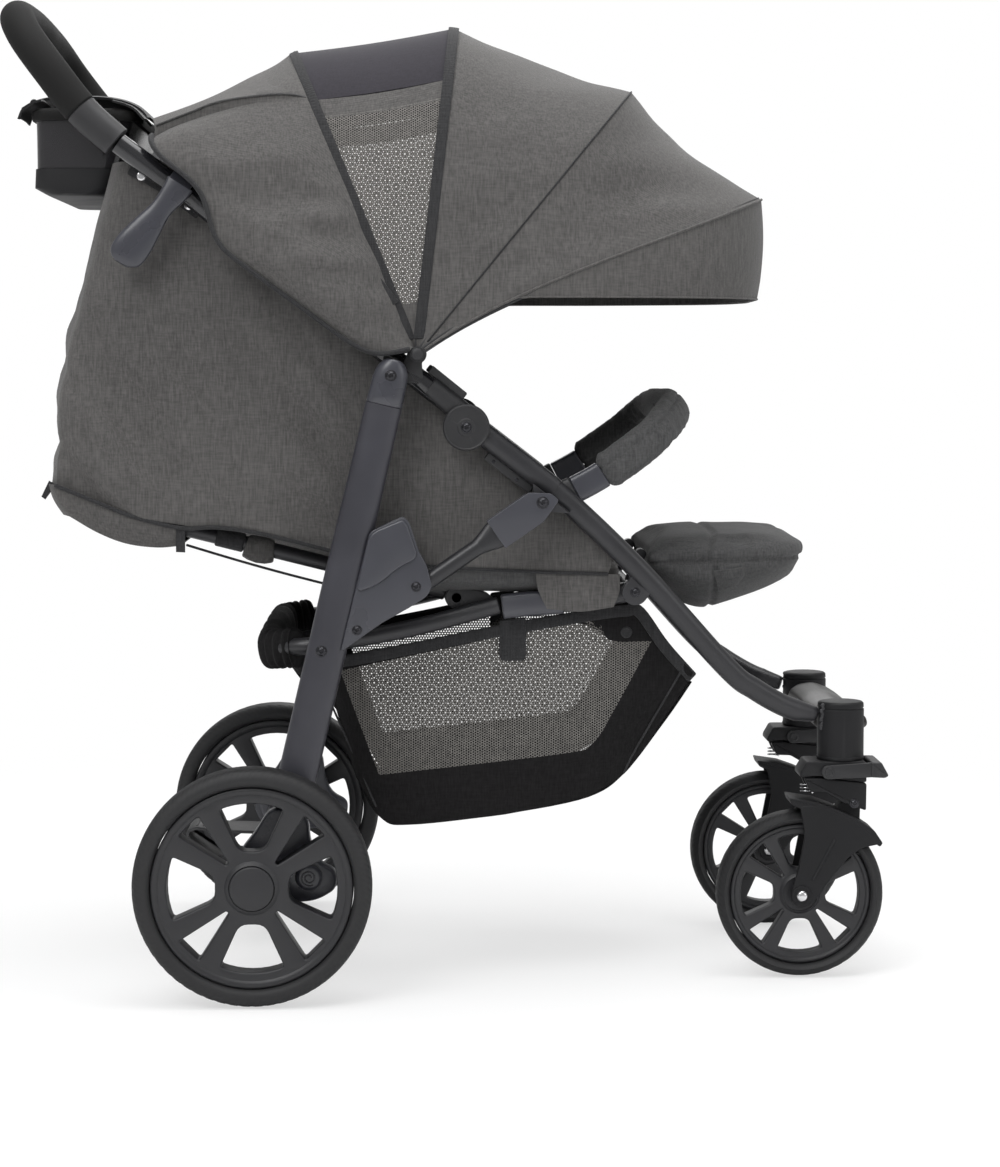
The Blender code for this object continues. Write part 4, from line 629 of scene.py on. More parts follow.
def soft_noise(point, stretch, seed):
    return noise.noise(Vector((point.x * stretch[0], point.y * stretch[1], point.z * stretch[2] + seed)))


def creased(grid, toward, depth, stretch, seed, mask=None):
    """Push a grid in and out along its normals in long soft folds."""
    normals = normals_of(grid, toward)
    out = []
    for line, ns in zip(grid, normals):
        row = []
        for p, n in zip(line, ns):
            ridge = 0.6 * soft_noise(
                p, stretch, seed) + 0.4 * (0.5 - abs(soft_noise(p, stretch, seed + 9.0)))
            weight = mask(p) if mask else 1.0
            row.append(p + n * (depth * ridge * weight))
        out.append(row)
    return out


def cord_along(bm, points, radius, sides=8, side=Y_AXIS):
    return sweep(bm, points, radius, radius, sides=sides, side=side, tip=radius * 0.4)


PUFF_PRESSURE = 4.0
PUFF_FRAMES = 20


def puffed(obj, voxel, cap):
    remesh = obj.modifiers.new("Remesh", "REMESH")
    remesh.mode = "VOXEL"
    remesh.voxel_size = voxel
    apply_modifiers(obj)
    start = [v.co.copy() for v in obj.data.vertices]
    cloth = obj.modifiers.new("Cloth", "CLOTH")
    cloth.settings.use_pressure = True
    cloth.settings.uniform_pressure_force = PUFF_PRESSURE
    cloth.settings.effector_weights.gravity = 0.0
    cloth.settings.quality = 5
    cloth.point_cache.frame_end = PUFF_FRAMES
    for number in range(1, PUFF_FRAMES + 1):
        bpy.context.scene.frame_set(number)
    shape = obj.evaluated_get(bpy.context.evaluated_depsgraph_get())
    moved = [v.co.copy() for v in shape.data.vertices]
    obj.modifiers.remove(cloth)
    for vertex, before, after in zip(obj.data.vertices, start, moved):
        step = after - before
        if step.length > cap:
            step *= cap / step.length
        vertex.co = before + step
    bpy.context.scene.frame_set(1)
    smooth = obj.modifiers.new("Subdivision", "SUBSURF")
    smooth.levels = 1
    smooth.render_levels = 1
    apply_modifiers(obj)
    obj.data.shade_smooth()
    return obj


def apply_modifiers(obj):
    """Bake the modifiers into the object's mesh."""
    shape = obj.evaluated_get(bpy.context.evaluated_depsgraph_get())
    mesh = bpy.data.meshes.new_from_object(shape)
    obj.modifiers.clear()
    obj.data = mesh


def push_in(obj, depth_at, way=None):
    """Move each point of a finished pad inwards by depth_at(point), for seams and channels."""
    for vertex in obj.data.vertices:
        depth = depth_at(vertex.co)
        if depth:
            vertex.co -= (way or vertex.normal) * depth


def cloth_of(grid):
    """Measure a sheet's longest row and longest column; the lengths are not used."""
    long_way = max(lengths_of(row)[-1] for row in grid)
    wide_way = max(lengths_of([row[j] for row in grid])[-1] for j in range(len(grid[0])))


# Wheels
def tyre(tag, prefix, side, centre, radius, width, depth, blocks):
    """A moulded tyre with slanted grooves across its tread."""
    half = width / 2.0
    seat = radius - depth
    shoulder = [(seat + 0.0003, -half + 0.006), (seat + 0.003, -half + 0.0014), (seat + 0.006, -half),
                (radius - 0.0085, -half + 0.0002), (radius - 0.004, -half + 0.003)]
    tread = [(radius - 0.0008 - 0.0009 * abs(t) ** 3, t * (half - 0.0062)) for t in
             (k / 4.0 - 1.0 for k in range(9))]
    profile = shoulder + tread + [(r, -d) for r, d in reversed(shoulder)]
    steps = blocks * 4
    bm = bmesh.new()
    rings = []
    for k in range(steps):
        angle = 2.0 * math.pi * k / steps
        ring = []
        for number, (r, d) in enumerate(profile):
            on_tread = len(shoulder) - 1 <= number <= len(shoulder) + len(tread)
            slant = abs(number - len(profile) // 2)
            groove = 0.0009 if on_tread and (k + slant) % 4 == 0 and slant else 0.0
            ring.append(
                centre + Vector(((r - groove) * math.cos(angle), side * d, (r - groove) * math.sin(angle))))
        rings.append(ring)
    loft(bm, rings, looped=True)
    piece(prefix + "_tyre_skin_" + tag, bm, "tyre", prefix + "_wheel_" + tag, prefix + "_tyre_" + tag,
          MOULDED_SHARP)


def window(radius, angle, wide):
    """The outline of one opening between two spokes, as places from the wheel's centre."""
    if wide:
        corners = [(0.305, -0.105), (0.305, 0.105)]
        rim = [(0.705 * math.cos(a), 0.705 * math.sin(a)) for a in
               (math.radians(22.0 - 44.0 * k / 8.0) for k in range(9))]
        ease = 0.075
    else:
        corners = [(0.285, -0.014), (0.285, 0.014)]
        rim = [(0.735, 0.115), (0.735, -0.115)]
        ease = 0.022
    outline = eased([(u * radius, v * radius) for u, v in corners + rim], ease * radius, 4)
    c, s = math.cos(angle), math.sin(angle)
    return [Vector((p.x * c - p.y * s, p.x * s + p.y * c)) for p in outline]


def wheel(tag, prefix, side, centre, radius, width, depth, cap_r, blocks):
    """A spoked rim: the windowed face, the rounded ring under the tyre, the hub and its cap."""
    tyre(tag, prefix, side, centre, radius, width, depth, blocks)
    half = width / 2.0
    seat = radius - depth
    bm = bmesh.new()
    face = [Vector(p) for p in arc((0.0, 0.0), radius * 0.8, 0.0, 360.0, 96)[:-1]]
    holes = [window(radius, math.radians(45.0 * k), k % 2 == 0) for k in range(8)]

    def place(spot, away):
        dish = 0.0035 * (spot.length / radius - 0.3)
        return centre + Vector((spot.x, side * (away + math.copysign(dish, away)), spot.y))
    slab(bm, face, -half + 0.0105, half - 0.0085, 0.0022, holes, place)
    ring = [
        (seat - 0.0003, -half + 0.0066), (seat - 0.0003, half - 0.0058), (seat - 0.003, half - 0.0046),
        (radius * 0.79, half - 0.0052), (radius * 0.745, half - 0.0095), (radius * 0.745, -half + 0.011),
        (radius * 0.79, -half + 0.0062), (seat - 0.003, -half + 0.0056)]
    lathe(bm, ring, centre, Y_AXIS * side, 96, 0.0012)
    hub = [(0.0066, -half + 0.004), (cap_r * 0.95, -half + 0.004), (cap_r * 1.15, -half + 0.011),
           (cap_r * 1.22, half - 0.0085), (cap_r + 0.0004, half - 0.005), (cap_r + 0.0004, half - 0.0064),
           (0.0066, half - 0.0064)]
    lathe(bm, hub, centre, Y_AXIS * side, 64, 0.0006)
    piece(
        prefix + "_rim_skin_" + tag, bm, "rim", prefix + "_wheel_" + tag, prefix + "_rim_" + tag, RIM_SHARP)
    if prefix == "rear":
        cap = bmesh.new()
        lathe(cap, [(0.0, half - 0.0062), (cap_r - 0.0004, half - 0.0062), (cap_r - 0.0004, half - 0.0034),
                    (cap_r - 0.0016, half - 0.0026), (cap_r * 0.6, half - 0.0012), (0.0, half - 0.0008)],
              centre, Y_AXIS * side, 64, 0.0006)
        piece("rear_hub_cap_" + tag, cap, "rim", "rear_wheel_" + tag)


# Front frame
def front_leg(tag, side):
    path = resampled(line_points(FRONT_LEG_LINE, side), 60)
    bm = bmesh.new()
    flare = [1.0 - 0.32 * max(0.0, (k - 52) / 7.0) for k in range(60)]
    sweep(bm, path, [TUBE_R * f for f in flare], [TUBE_R * 1.04 * f for f in flare], 32, 2.3)
    leg = path[0]
    way = (path[2] - path[0]).normalized()
    sleeve = [leg + way * d for d in (0.0, 0.004, 0.06, 0.086, 0.094)]
    sweep(bm, sleeve, [TUBE_R + 0.0006] * 3 + [TUBE_R + 0.0005, TUBE_R + 0.0002],
          [TUBE_R + 0.0008] * 3 + [TUBE_R + 0.0007, TUBE_R + 0.0004], 32, 2.4)
    ear = [(BRACE_TOP[0] - 0.0095, BRACE_TOP[1] + 0.019), (BRACE_TOP[0] + 0.03, BRACE_TOP[1] - 0.012),
           (BRACE_TOP[0] + 0.018, BRACE_TOP[1] - 0.011)] + arc(BRACE_TOP, 0.01, -80.0, -210.0, 8)
    side_slab(bm, eased(ear, 0.003), side, TUBE_Y - 0.004, 0.2336, 0.0008)
    plate = arc(SEAT_PIVOT, 0.0135, 120.0, 330.0, 12) + [
        (SEAT_PIVOT[0] + 0.023, SEAT_PIVOT[1] + 0.008), (SEAT_PIVOT[0] - 0.002, SEAT_PIVOT[1] + 0.031)]
    side_slab(bm, eased(plate, 0.003), side, 0.2022, 0.213, 0.001)
    end = path[-1]
    for k in range(9):
        spot = end + Vector((
            0.006 + 0.001 * math.sin(k * 2.3), side * (0.0105 - 0.0004 * k), 0.0105 - 0.003 * k))
        lathe(bm, [(0.0, -0.0022), (0.0022, -0.0012), (0.0026, 0.0), (0.0022, 0.0012), (0.0, 0.0022)], spot,
              Y_AXIS, 12, 0.0005)
    piece("front_tube_" + tag, bm, "frame", "front_frame", "front_leg_" + tag)
    trim = bmesh.new()
    snaps = bmesh.new()
    down = Vector((-way.z, 0.0, way.x)) * -1.0
    strip = [leg + way * d + down * 0.015 for d in (0.016, 0.04, 0.075)]
    sweep(trim, strip, 0.0016, 0.005, 16, 4.0)
    for d in (0.026, 0.056):
        lathe(snaps, [(0.0, 0.0), (0.0022, 0.0), (0.0016, 0.0008), (0.0, 0.0009)],
              leg + way * d + down * 0.016 + Y_AXIS * side * TRIM_LIFT, Y_AXIS * side, 20, 0.0003)
    bolt(snaps, at(*SEAT_PIVOT, side * 0.2128), side, 0.0042, 0.0036)
    arm = resampled(line_points(BUMPER_LINE, side), 40)
    root = arm[0]
    out = (arm[1] - arm[0]).normalized()
    sweep(trim, [root - out * 0.023, root - out * 0.008, root - out * 0.0004], 0.009, 0.015, 24, 4.0)
    piece("front_trim_" + tag, trim, "plastic", "front_frame")
    piece("front_fixings_" + tag, snaps, "bolt", "front_frame")


def fold_disc(tag, side):
    """The round cover over the fold joint, with its stepped face and centre bolt."""
    base = at(*FOLD_PIVOT, side * (TUBE_Y + TUBE_R + CLEARANCE))
    bm = bmesh.new()
    lathe(bm, [(0.0, -0.02), (0.0048, -0.02), (0.0048, 0.0), (0.024, 0.0), (0.024, 0.004),
               (0.0222, 0.0058), (0.0212, 0.005), (0.0092, 0.0058), (0.0086, 0.0066), (0.0, 0.0066)],
          base, Y_AXIS * side, 64, 0.0006)
    piece("fold_cover_" + tag, bm, "plastic", "front_frame", "fold_hinge_" + tag)
    head = bmesh.new()
    bolt(head, base + Y_AXIS * side * 0.0062, side, 0.0046, 0.0034)
    piece("fold_bolt_" + tag, head, "bolt", "front_frame")


def castor_top(tag, side):
    y = side * FRONT_TRACK / 2.0
    r, low, top = CASTOR_HOUSING_R, CASTOR_HOUSING_BOTTOM, CASTOR_HOUSING_TOP
    bm = bmesh.new()
    lathe(bm, [(0.0, low), (r, low), (r, top - 0.0085), (r - 0.001, top - 0.008), (r - 0.001, top - 0.0072),
               (r - 0.0002, top - 0.0066), (r - 0.0004, top - 0.0024), (r - 0.0022, top - 0.0006),
               (r - 0.006, top), (0.0, top)], at(CASTOR_X, 0.0, y), Z_AXIS, 72, 0.0006)
    lathe(bm, [(r - 0.0002, low + 0.001), (r + 0.0006, low + 0.0012), (r + 0.0006, low + 0.0034),
               (r - 0.0002, low + 0.0038)], at(CASTOR_X, 0.0, y), Z_AXIS, 72, 0.0003)
    piece("castor_barrel_" + tag, bm, "dull_shaded_plastic", "front_frame", "castor_housing_" + tag)


def footplate():
    """The foot rest between the two castor housings, through two oval sections near each end."""
    half = FRONT_TRACK / 2.0 - CASTOR_HOUSING_R - CLEARANCE
    rings = []
    for t in (-0.95, -0.9, 0.9, 0.95):
        swell = max(0.0, 1.0 - abs(t * 1.02) ** 2.4)
        front = 0.627 + 0.051 * swell ** 0.5
        back = 0.601 - 0.033 * swell ** 0.6
        top = 0.279 + 0.0085 * swell ** 0.6
        low = 0.256 + 0.002 * swell
        outline = [
            (back, low + 0.008), (back + 0.004, top - 0.006), (back + 0.012, top),
            ((back + front) / 2.0, top + 0.0035), (front - 0.014, top - 0.003),
            (front - 0.002, top - 0.0105), (front, low + 0.0055), (front - 0.01, low), (back + 0.01, low)]
        rings.append([at(p.x, p.y, t * half) for p in eased(outline, 0.009, 4)])
    bm = bmesh.new()
    loft(bm, rings)
    piece("foot_rest", bm, "plate", "front_frame", "footplate", CLOTH_SHARP)


# Handle frame
def handle_tube(tag, side):
    path = [at(0.2227, 0.5907, side * TUBE_Y), at(0.1807, 0.6227, side * TUBE_Y),
            at(-0.0592, 0.8161, side * TUBE_Y), at(-0.0926, 0.8397, side * TUBE_Y),
            at(-0.1345, 0.8711, side * TUBE_Y)]
    piece("handle_upright_" + tag, sweep(bmesh.new(), path, TUBE_R, TUBE_R, 36), "glossy_tube",
          "handle_frame", "handle_tube_" + tag)
    trim = bmesh.new()
    way = (path[1] - path[2]).normalized()
    down = Vector((way.z, 0.0, -way.x)) * -1.0
    hinge = [path[0] - way * d for d in (-0.002, 0.002, 0.03, 0.052, 0.055)]
    sweep(trim, hinge, [TUBE_R + 0.0005] * 5, [TUBE_R + 0.0006] * 5, 32, 2.2)
    eye = arc(FOLD_PIVOT, 0.0112, 0.0, 345.0, 23)
    side_slab(
        trim, [Vector(p) for p in eye], side, TUBE_Y - TUBE_R + 0.0005, TUBE_Y + TUBE_R - 0.0002, 0.0008)
    strip = [path[0] - way * d + down * 0.0145 for d in (0.02, 0.04, 0.066)]
    sweep(trim, strip, 0.0016, 0.0045, 16, 4.0)
    leg_plate = arc(LEG_PIVOT, 0.0115, 180.0, 322.0, 10) + [
        (LEG_PIVOT[0] + 0.03, LEG_PIVOT[1] - 0.0085), (LEG_PIVOT[0] + 0.024, LEG_PIVOT[1] - 0.003),
        (LEG_PIVOT[0] - 0.007, LEG_PIVOT[1] + 0.023)]
    side_slab(trim, eased(leg_plate, 0.003), side, TUBE_Y - 0.004, 0.2297, 0.0007)
    hub_plate = arc(CANOPY_PIVOT, 0.0098, -60.0, 150.0,
                    12) + [(CANOPY_PIVOT[0] - 0.016, CANOPY_PIVOT[1] - 0.014),
                           (CANOPY_PIVOT[0] + 0.006, CANOPY_PIVOT[1] - 0.026)]
    side_slab(trim, eased(hub_plate, 0.003), side, TUBE_Y - 0.005, 0.229, 0.0006)
    lathe(
        trim, [(0.0, 0.0), (0.0036, 0.0), (0.0036, 0.0262), (0.0066, 0.0262), (0.006, 0.0285),
               (0.003, 0.0296), (0.0, 0.0298)], at(*CANOPY_PIVOT, side * TUBE_Y), Y_AXIS * side, 40, 0.0006)
    piece("handle_fittings_" + tag, trim, "plastic", "handle_frame")


def handle_grip():
    path = full_path(GRIP_LINE, 160)
    last = next(k for k, r in enumerate(lengths_of(path)) if r > COLLAR_LENGTH)
    bm = bmesh.new()
    middle = path[last:len(path) - last]
    sweep(bm, middle, GRIP_R, GRIP_R, 36, tip=0.002)
    piece("grip_foam", bm, "foam", "handle_frame", "handle_grip")
    collars = bmesh.new()
    for ends in (path[:last + 1], list(reversed(path))[:last + 1]):
        sizes = [COLLAR_R + 0.0006 * k / last for k in range(len(ends))]
        sweep(collars, ends, sizes, sizes, 36, tip=0.001)
    piece("grip_collars", collars, "plastic", "handle_frame")


def paddle(tag, side):
    """The glossy stand foot: a band round the tube, a narrow neck and a wide rounded blade."""
    y = side * (TUBE_Y + TUBE_R + 0.0052)
    spine = resampled([at(x, z, y) for x, z in (
        (-0.07, 0.83), (-0.076, 0.821), (-0.09, 0.804), (-0.104, 0.786),
        (-0.117, 0.769), (-0.127, 0.756), (-0.1315, 0.749))], 37)
    widths = resampled([(w, 0.0) for w in (0.0145, 0.0135, 0.011, 0.015, 0.0182, 0.017, 0.008)], 37)
    depths = resampled([(d, 0.0) for d in (0.0035, 0.0042, 0.0046, 0.0056, 0.006, 0.0048, 0.002)], 37)
    bm = bmesh.new()
    sweep(bm, spine, [d[0] for d in depths], [w[0] for w in widths], 32, 2.5)
    way = (at(-0.0926, 0.8397) - at(-0.0592, 0.8161)).normalized()
    centre = at(-0.0592, 0.8161, side * TUBE_Y) + way * 0.006
    lathe(bm, [(TUBE_R + 0.0004, 0.0), (TUBE_R + 0.0046, 0.0), (TUBE_R + 0.0046, 0.024),
               (TUBE_R + 0.0004, 0.024)], centre, way, 48, 0.0014)
    piece("stand_foot_" + tag, bm, "gloss", "handle_frame", "stand_paddle_" + tag, MOULDED_SHARP)


TRAY_SIDE = 0.16
UNDER_FLAPS = at(-0.18, 0.86)
TRAY_SEAM = 0.849
TRAY_LIP = 0.901
TRAY_LEVELS = ((0.8213, -0.2178, -0.152), (0.8295, -0.228, -0.1465), (0.85, -0.227, -0.1395),
               (0.88, -0.2271, -0.13), (TRAY_LIP, -0.2275, -0.1235))


def tray_outline(back, front, half):
    return [(back, -half), (front, -half), (front, half), (back, half)]


def tray_ring(level, shrink=0.0, z=None):
    """A rounded rectangle at one level of the tray, seen from above."""
    height, back, front = level
    outline = tray_outline(back + shrink, front - shrink, TRAY_SIDE - shrink)
    return [top_view(p, height if z is None else z) for p in eased(outline, 0.022, 6)]


def tray_level(z):
    for low, high in zip(TRAY_LEVELS, TRAY_LEVELS[1:]):
        if low[0] <= z <= high[0]:
            t = (z - low[0]) / (high[0] - low[0])
            return (z, low[1] + (high[1] - low[1]) * t, low[2] + (high[2] - low[2]) * t)
    return TRAY_LEVELS[-1]


def parent_tray():
    """The organiser: a black base, a smoky clear bin, a rim, a deck with wells, and its end flaps."""
    low, lip = TRAY_LEVELS[0], TRAY_LEVELS[-1]
    base = bmesh.new()
    outer = [tray_ring(low, 0.01, z=0.8213), tray_ring(low, 0.004, z=0.8217),
             tray_ring(low, 0.0005, z=0.8235), tray_ring(TRAY_LEVELS[1]), tray_ring(tray_level(TRAY_SEAM))]
    inner = [tray_ring(tray_level(TRAY_SEAM), 0.004), tray_ring(TRAY_LEVELS[1], 0.004),
             tray_ring(low, 0.01, z=0.8245)]
    loft(base, outer + inner)
    for k in (-1, 1):
        reach = [at(-0.156, 0.894, k * 0.155), at(-0.162, 0.8935, k * 0.178), at(-0.168, 0.893, k * 0.1995)]
        sweep(base, reach, 0.0085, 0.011, 24, 4.0, side=X_AXIS)
    # The base takes the darker copy of the plastic, its darker colour painted shade.
    piece("tray_base", base, "dull_shaded_plastic", "handle_frame", "parent_tray", MOULDED_SHARP)
    walls = bmesh.new()
    heights = [TRAY_SEAM + 0.0004 + (TRAY_LIP - TRAY_SEAM) * k / 6.0 for k in range(7)]
    loft(walls, [tray_ring(tray_level(min(z, TRAY_LIP)), 0.0015) for z in heights] +
         [tray_ring(tray_level(min(z, TRAY_LIP)), 0.004) for z in reversed(heights)], looped=True)
    piece("tray_bin", walls, "smoke", "handle_frame", smooth=MOULDED_SHARP)
    # A dark block inside the clear bin: painted shade for the bin's inside.
    inner_shade = bmesh.new()
    loft(inner_shade, [tray_ring(tray_level(z), 0.014) for z in (0.83, 0.86, 0.896)])
    piece("tray_inner_shade", inner_shade, "dull_shaded_plastic", "handle_frame", smooth=MOULDED_SHARP)
    rim = bmesh.new()
    loft(rim, [tray_ring(lip, -0.002, z=TRAY_LIP - 0.003), tray_ring(lip, -0.0032, z=TRAY_LIP + 0.001),
               tray_ring(lip, -0.0028, z=TRAY_LIP + 0.0065), tray_ring(lip, 0.001, z=TRAY_LIP + 0.0095),
               tray_ring(lip, 0.006, z=TRAY_LIP + 0.008), tray_ring(lip, 0.006, z=TRAY_LIP - 0.003)],
         looped=True)
    piece("tray_rim", rim, "foam", "handle_frame", smooth=MOULDED_SHARP)
    deck = bmesh.new()
    outline = eased(tray_outline(lip[1] + 0.005, lip[2] - 0.005, TRAY_SIDE - 0.005), 0.018, 5)
    wells = [circle((-0.176, k * 0.112), 0.038, 40) for k in (-1, 1)]
    pocket = eased(tray_outline(-0.218, -0.133, 0.066), 0.01, 4)
    top = TRAY_LIP + 0.003
    slab(deck, outline, top, top + 0.0025, 0.0008, [*wells, pocket], top_view)
    for k in (-1, 1):
        lathe(deck, [(0.0, 0.832), (0.03, 0.832), (0.0366, top), (0.0379, top), (0.0313, 0.8305),
                     (0.0, 0.8305)], at(-0.176, 0.0, k * 0.112), Z_AXIS, 48, 0.002)
    piece("tray_deck", deck, "dull_shaded_plastic", "handle_frame")
    profile = ((-0.2426, 0.901), (-0.237, 0.912), (-0.2218, 0.92), (-0.195, 0.9225), (-0.164, 0.9225),
               (-0.142, 0.9195), (-0.124, 0.913), (-0.112, 0.901))
    shape = resampled([(x, z, 0.0) for x, z in profile], 40)
    for tag, side in SIDES.items():
        flap = bmesh.new()
        near, far = sorted((side * 0.077, side * (TRAY_SIDE + 0.004)))
        rows = [[at(p.x, p.y - 0.0016 * (2.0 * abs(t - 0.5)) ** 4, near + (far - near) * t) for p in shape]
                for t in (n / 10.0 for n in range(11))]
        sheet(flap, [row[:13] for row in rows], 0.0022, UNDER_FLAPS)
        sheet(flap, [row[27:] for row in rows], 0.0022, UNDER_FLAPS)
        piece("tray_flap_" + tag, flap, "dull_shaded_plastic", "handle_frame", smooth=MOULDED_SHARP)


def tray_lid():
    profile = ((-0.25, 0.9205), (-0.243, 0.9245), (-0.2304, 0.9295), (-0.2092, 0.9325), (-0.1692, 0.9325),
               (-0.146, 0.9295), (-0.1303, 0.924), (-0.1208, 0.917), (-0.1167, 0.9105))
    shape = resampled([(x, z, 0.0) for x, z in profile], 40)
    grid = [[at(p.x, p.y - 0.003 * (2.0 * abs(t - 0.5)) ** 6, -0.074 + 0.148 * t) for p in shape]
            for t in (n / 24.0 for n in range(25))]
    bm = bmesh.new()
    sheet(bm, grid, 0.0026, at(-0.18, 0.8))
    lathe(
        bm, [(0.0, -0.072), (0.0042, -0.072), (0.0042, 0.072), (0.0, 0.072)], at(-0.237, 0.923), Y_AXIS, 24)
    piece("tray_top_lid", bm, "dull_shaded_plastic", "tray_lid", "tray_lid", MOULDED_SHARP)


# Rear frame
def rear_leg(tag, side):
    """The flat-oval rear leg with its moulded cap."""
    top, foot = at(*LEG_PIVOT, side * LEG_Y), at(*LEG_FOOT, side * LEG_Y)
    way = (foot - top).normalized()
    length = (foot - top).length
    cap = [(-0.0165, 0.005, 0.0095), (-0.0158, 0.008, 0.0102), (-0.0135, 0.0112, 0.0112),
           (-0.009, 0.0146, 0.012), (-0.004, 0.0166, 0.0125), (0.004, 0.0178, 0.0127),
           (0.02, 0.0184, 0.0128), (0.0292, 0.0186, 0.0128), (0.03, 0.018, 0.0122)]
    piece("leg_cap_" + tag, sweep(bmesh.new(), [top + way * s for s, d, w in cap], [w for s, d, w in cap],
                                  [d for s, d, w in cap], 40, 2.3, tip=0.0), "gloss", "rear_frame")
    tube = bmesh.new()
    path = [top + way * (0.0302 + (length - 0.0302) * k / 24.0) for k in range(25)]
    depth = [0.0188 + 0.0012 * min(1.0, k / 10.0) for k in range(25)]
    sweep(tube, path, LEG_HALF_WIDTH, depth, 40, 2.3, tip=0.0008)
    # The leg tube takes the lighter, bluer copy of the frame paint, a painted highlight and sheen.
    piece("leg_tube_" + tag, tube, "leg", "rear_frame", "rear_leg_" + tag)
    heads = bmesh.new()
    for spot in (LEG_PIVOT, LINK_FOOT):
        bolt(heads, at(*spot, side * (LEG_Y + LEG_HALF_WIDTH - 0.0004)), side, 0.0047, 0.0034)
    for spot in ((0.166, 0.423), (0.106, 0.379)):
        bolt(heads, at(*spot, side * (LEG_Y + 0.012)), side, 0.004, 0.003)
    bolt(heads, at(0.03, 0.167, side * (LEG_Y + 0.013)), side, 0.0036, 0.003)
    piece("leg_bolts_" + tag, heads, "bolt", "rear_frame")


def leg_axis_x(z):
    slope = (LEG_PIVOT[0] - LEG_FOOT[0]) / (LEG_PIVOT[1] - LEG_FOOT[1])
    return LEG_PIVOT[0] + (z - LEG_PIVOT[1]) * slope


def gusset(tag, side):
    """The cover plate between leg and brace, with a raised field that falls away in an S."""
    edge = 0.0194
    outline = eased([
        (leg_axis_x(0.35) + edge - 0.004, 0.356), (BRACE_FOOT[0] + 0.014, 0.386), (0.158, 0.401),
        (0.177, 0.413), (0.1822, 0.423), (0.177, 0.444), (0.169, 0.458), (0.159, 0.488),
        (0.153, 0.4935), (leg_axis_x(0.479) + edge - 0.004, 0.479)], 0.006, 5)
    field = eased([
        (leg_axis_x(0.418) + edge - 0.004, 0.416), (0.129, 0.426), (0.148, 0.442), (0.164, 0.45),
        (0.1675, 0.456), (0.1575, 0.486), (0.152, 0.4915), (leg_axis_x(0.477) + edge - 0.004, 0.4775)],
        0.01, 5)
    bm = bmesh.new()
    side_slab(bm, outline, side, LEG_Y + 0.0094, LEG_Y + 0.0118, 0.001)
    side_slab(bm, outline, side, LEG_Y - 0.0115, LEG_Y - 0.0092, 0.0008)
    side_slab(bm, field, side, LEG_Y + 0.01, LEG_Y + 0.0142, 0.0022)
    web = [(leg_axis_x(0.42) + edge, 0.42), (leg_axis_x(0.42) + edge + 0.004, 0.42),
           (leg_axis_x(0.478) + edge + 0.004, 0.478), (leg_axis_x(0.478) + edge, 0.478)]
    side_slab(bm, [Vector(p) for p in web], side, LEG_Y - 0.01, LEG_Y + 0.01, 0.0005)
    piece("leg_gusset_" + tag, bm, "gloss", "rear_frame", "gusset_" + tag)


def axle_housing(tag, side):
    """The moulded foot of the leg, its round brake housing, the arm and the stub axle."""
    outline = eased([
        (0.0175, 0.1985), (0.001, 0.172), (-0.0165, 0.15), (-0.019, 0.122), (-0.01, 0.106),
        (0.01, 0.1), (0.04, 0.099), (0.064, 0.101), (0.084, 0.113), (0.085, 0.131),
        (0.066, 0.141), (0.058, 0.16), (0.055, 0.19)], 0.012, 6)
    bm = bmesh.new()
    side_slab(bm, outline, side, LEG_Y - 0.0125, LEG_Y + 0.008, 0.003)
    lathe(bm, [(0.0, 0.0), (0.03, 0.0), (0.0296, 0.0075), (0.026, 0.011), (0.015, 0.0125), (0.0, 0.0125)],
          at(0.004, 0.127, side * LEG_Y), Y_AXIS * side, 56, 0.003)
    lathe(bm, [(0.0, 0.0), (0.014, 0.0), (0.014, 0.011), (0.011, 0.0128), (0.0, 0.0128)],
          at(0.056, 0.1255, side * LEG_Y), Y_AXIS * side, 40, 0.002)
    rod(bm, at(*REAR_AXLE, side * LEG_Y), at(*REAR_AXLE, side * 0.2935), 0.006, 32)
    piece("axle_foot_" + tag, bm, "gloss", "rear_frame", "axle_housing_" + tag)
    coil = bmesh.new()
    turns = [
        at(0.056 + (0.0022 + 0.0011 * a / 2.0) * math.cos(a),
           0.1255 + (0.0022 + 0.0011 * a / 2.0) * math.sin(a), side * (LEG_Y + 0.013))
        for a in (0.35 * n for n in range(34))]
    cord_along(coil, turns, 0.0008, 8, Z_AXIS)
    piece("axle_clip_" + tag, coil, "bolt", "rear_frame")


def rear_axle():
    bm = bmesh.new()
    reach = LEG_Y - LEG_HALF_WIDTH - CLEARANCE
    rod(bm, at(*REAR_AXLE, -reach), at(*REAR_AXLE, reach), 0.0095, 40)
    piece("axle_tube", bm, "frame", "rear_frame", "rear_axle")


def brake_pedal():
    outline = eased([
        (0.014, 0.134), (-0.01, 0.139), (-0.042, 0.14), (-0.076, 0.144), (-0.086, 0.139), (-0.084, 0.129),
        (-0.056, 0.11), (-0.036, 0.099), (-0.008, 0.106), (0.014, 0.109)], 0.006, 5)
    bore = circle(REAR_AXLE, 0.0102, 32)
    bm = bmesh.new()
    slab(bm, outline, -0.036, 0.036, 0.003, [bore])
    for k in range(5):
        x = -0.048 - 0.0065 * k
        sweep(bm, [at(x, 0.1412 + 0.0005 * k, y) for y in (-0.026, 0.0, 0.026)], 0.0013, 0.0012, 12,
              side=X_AXIS)
    piece("brake_lever", bm, "plastic", "brake_pedal", "brake_pedal")


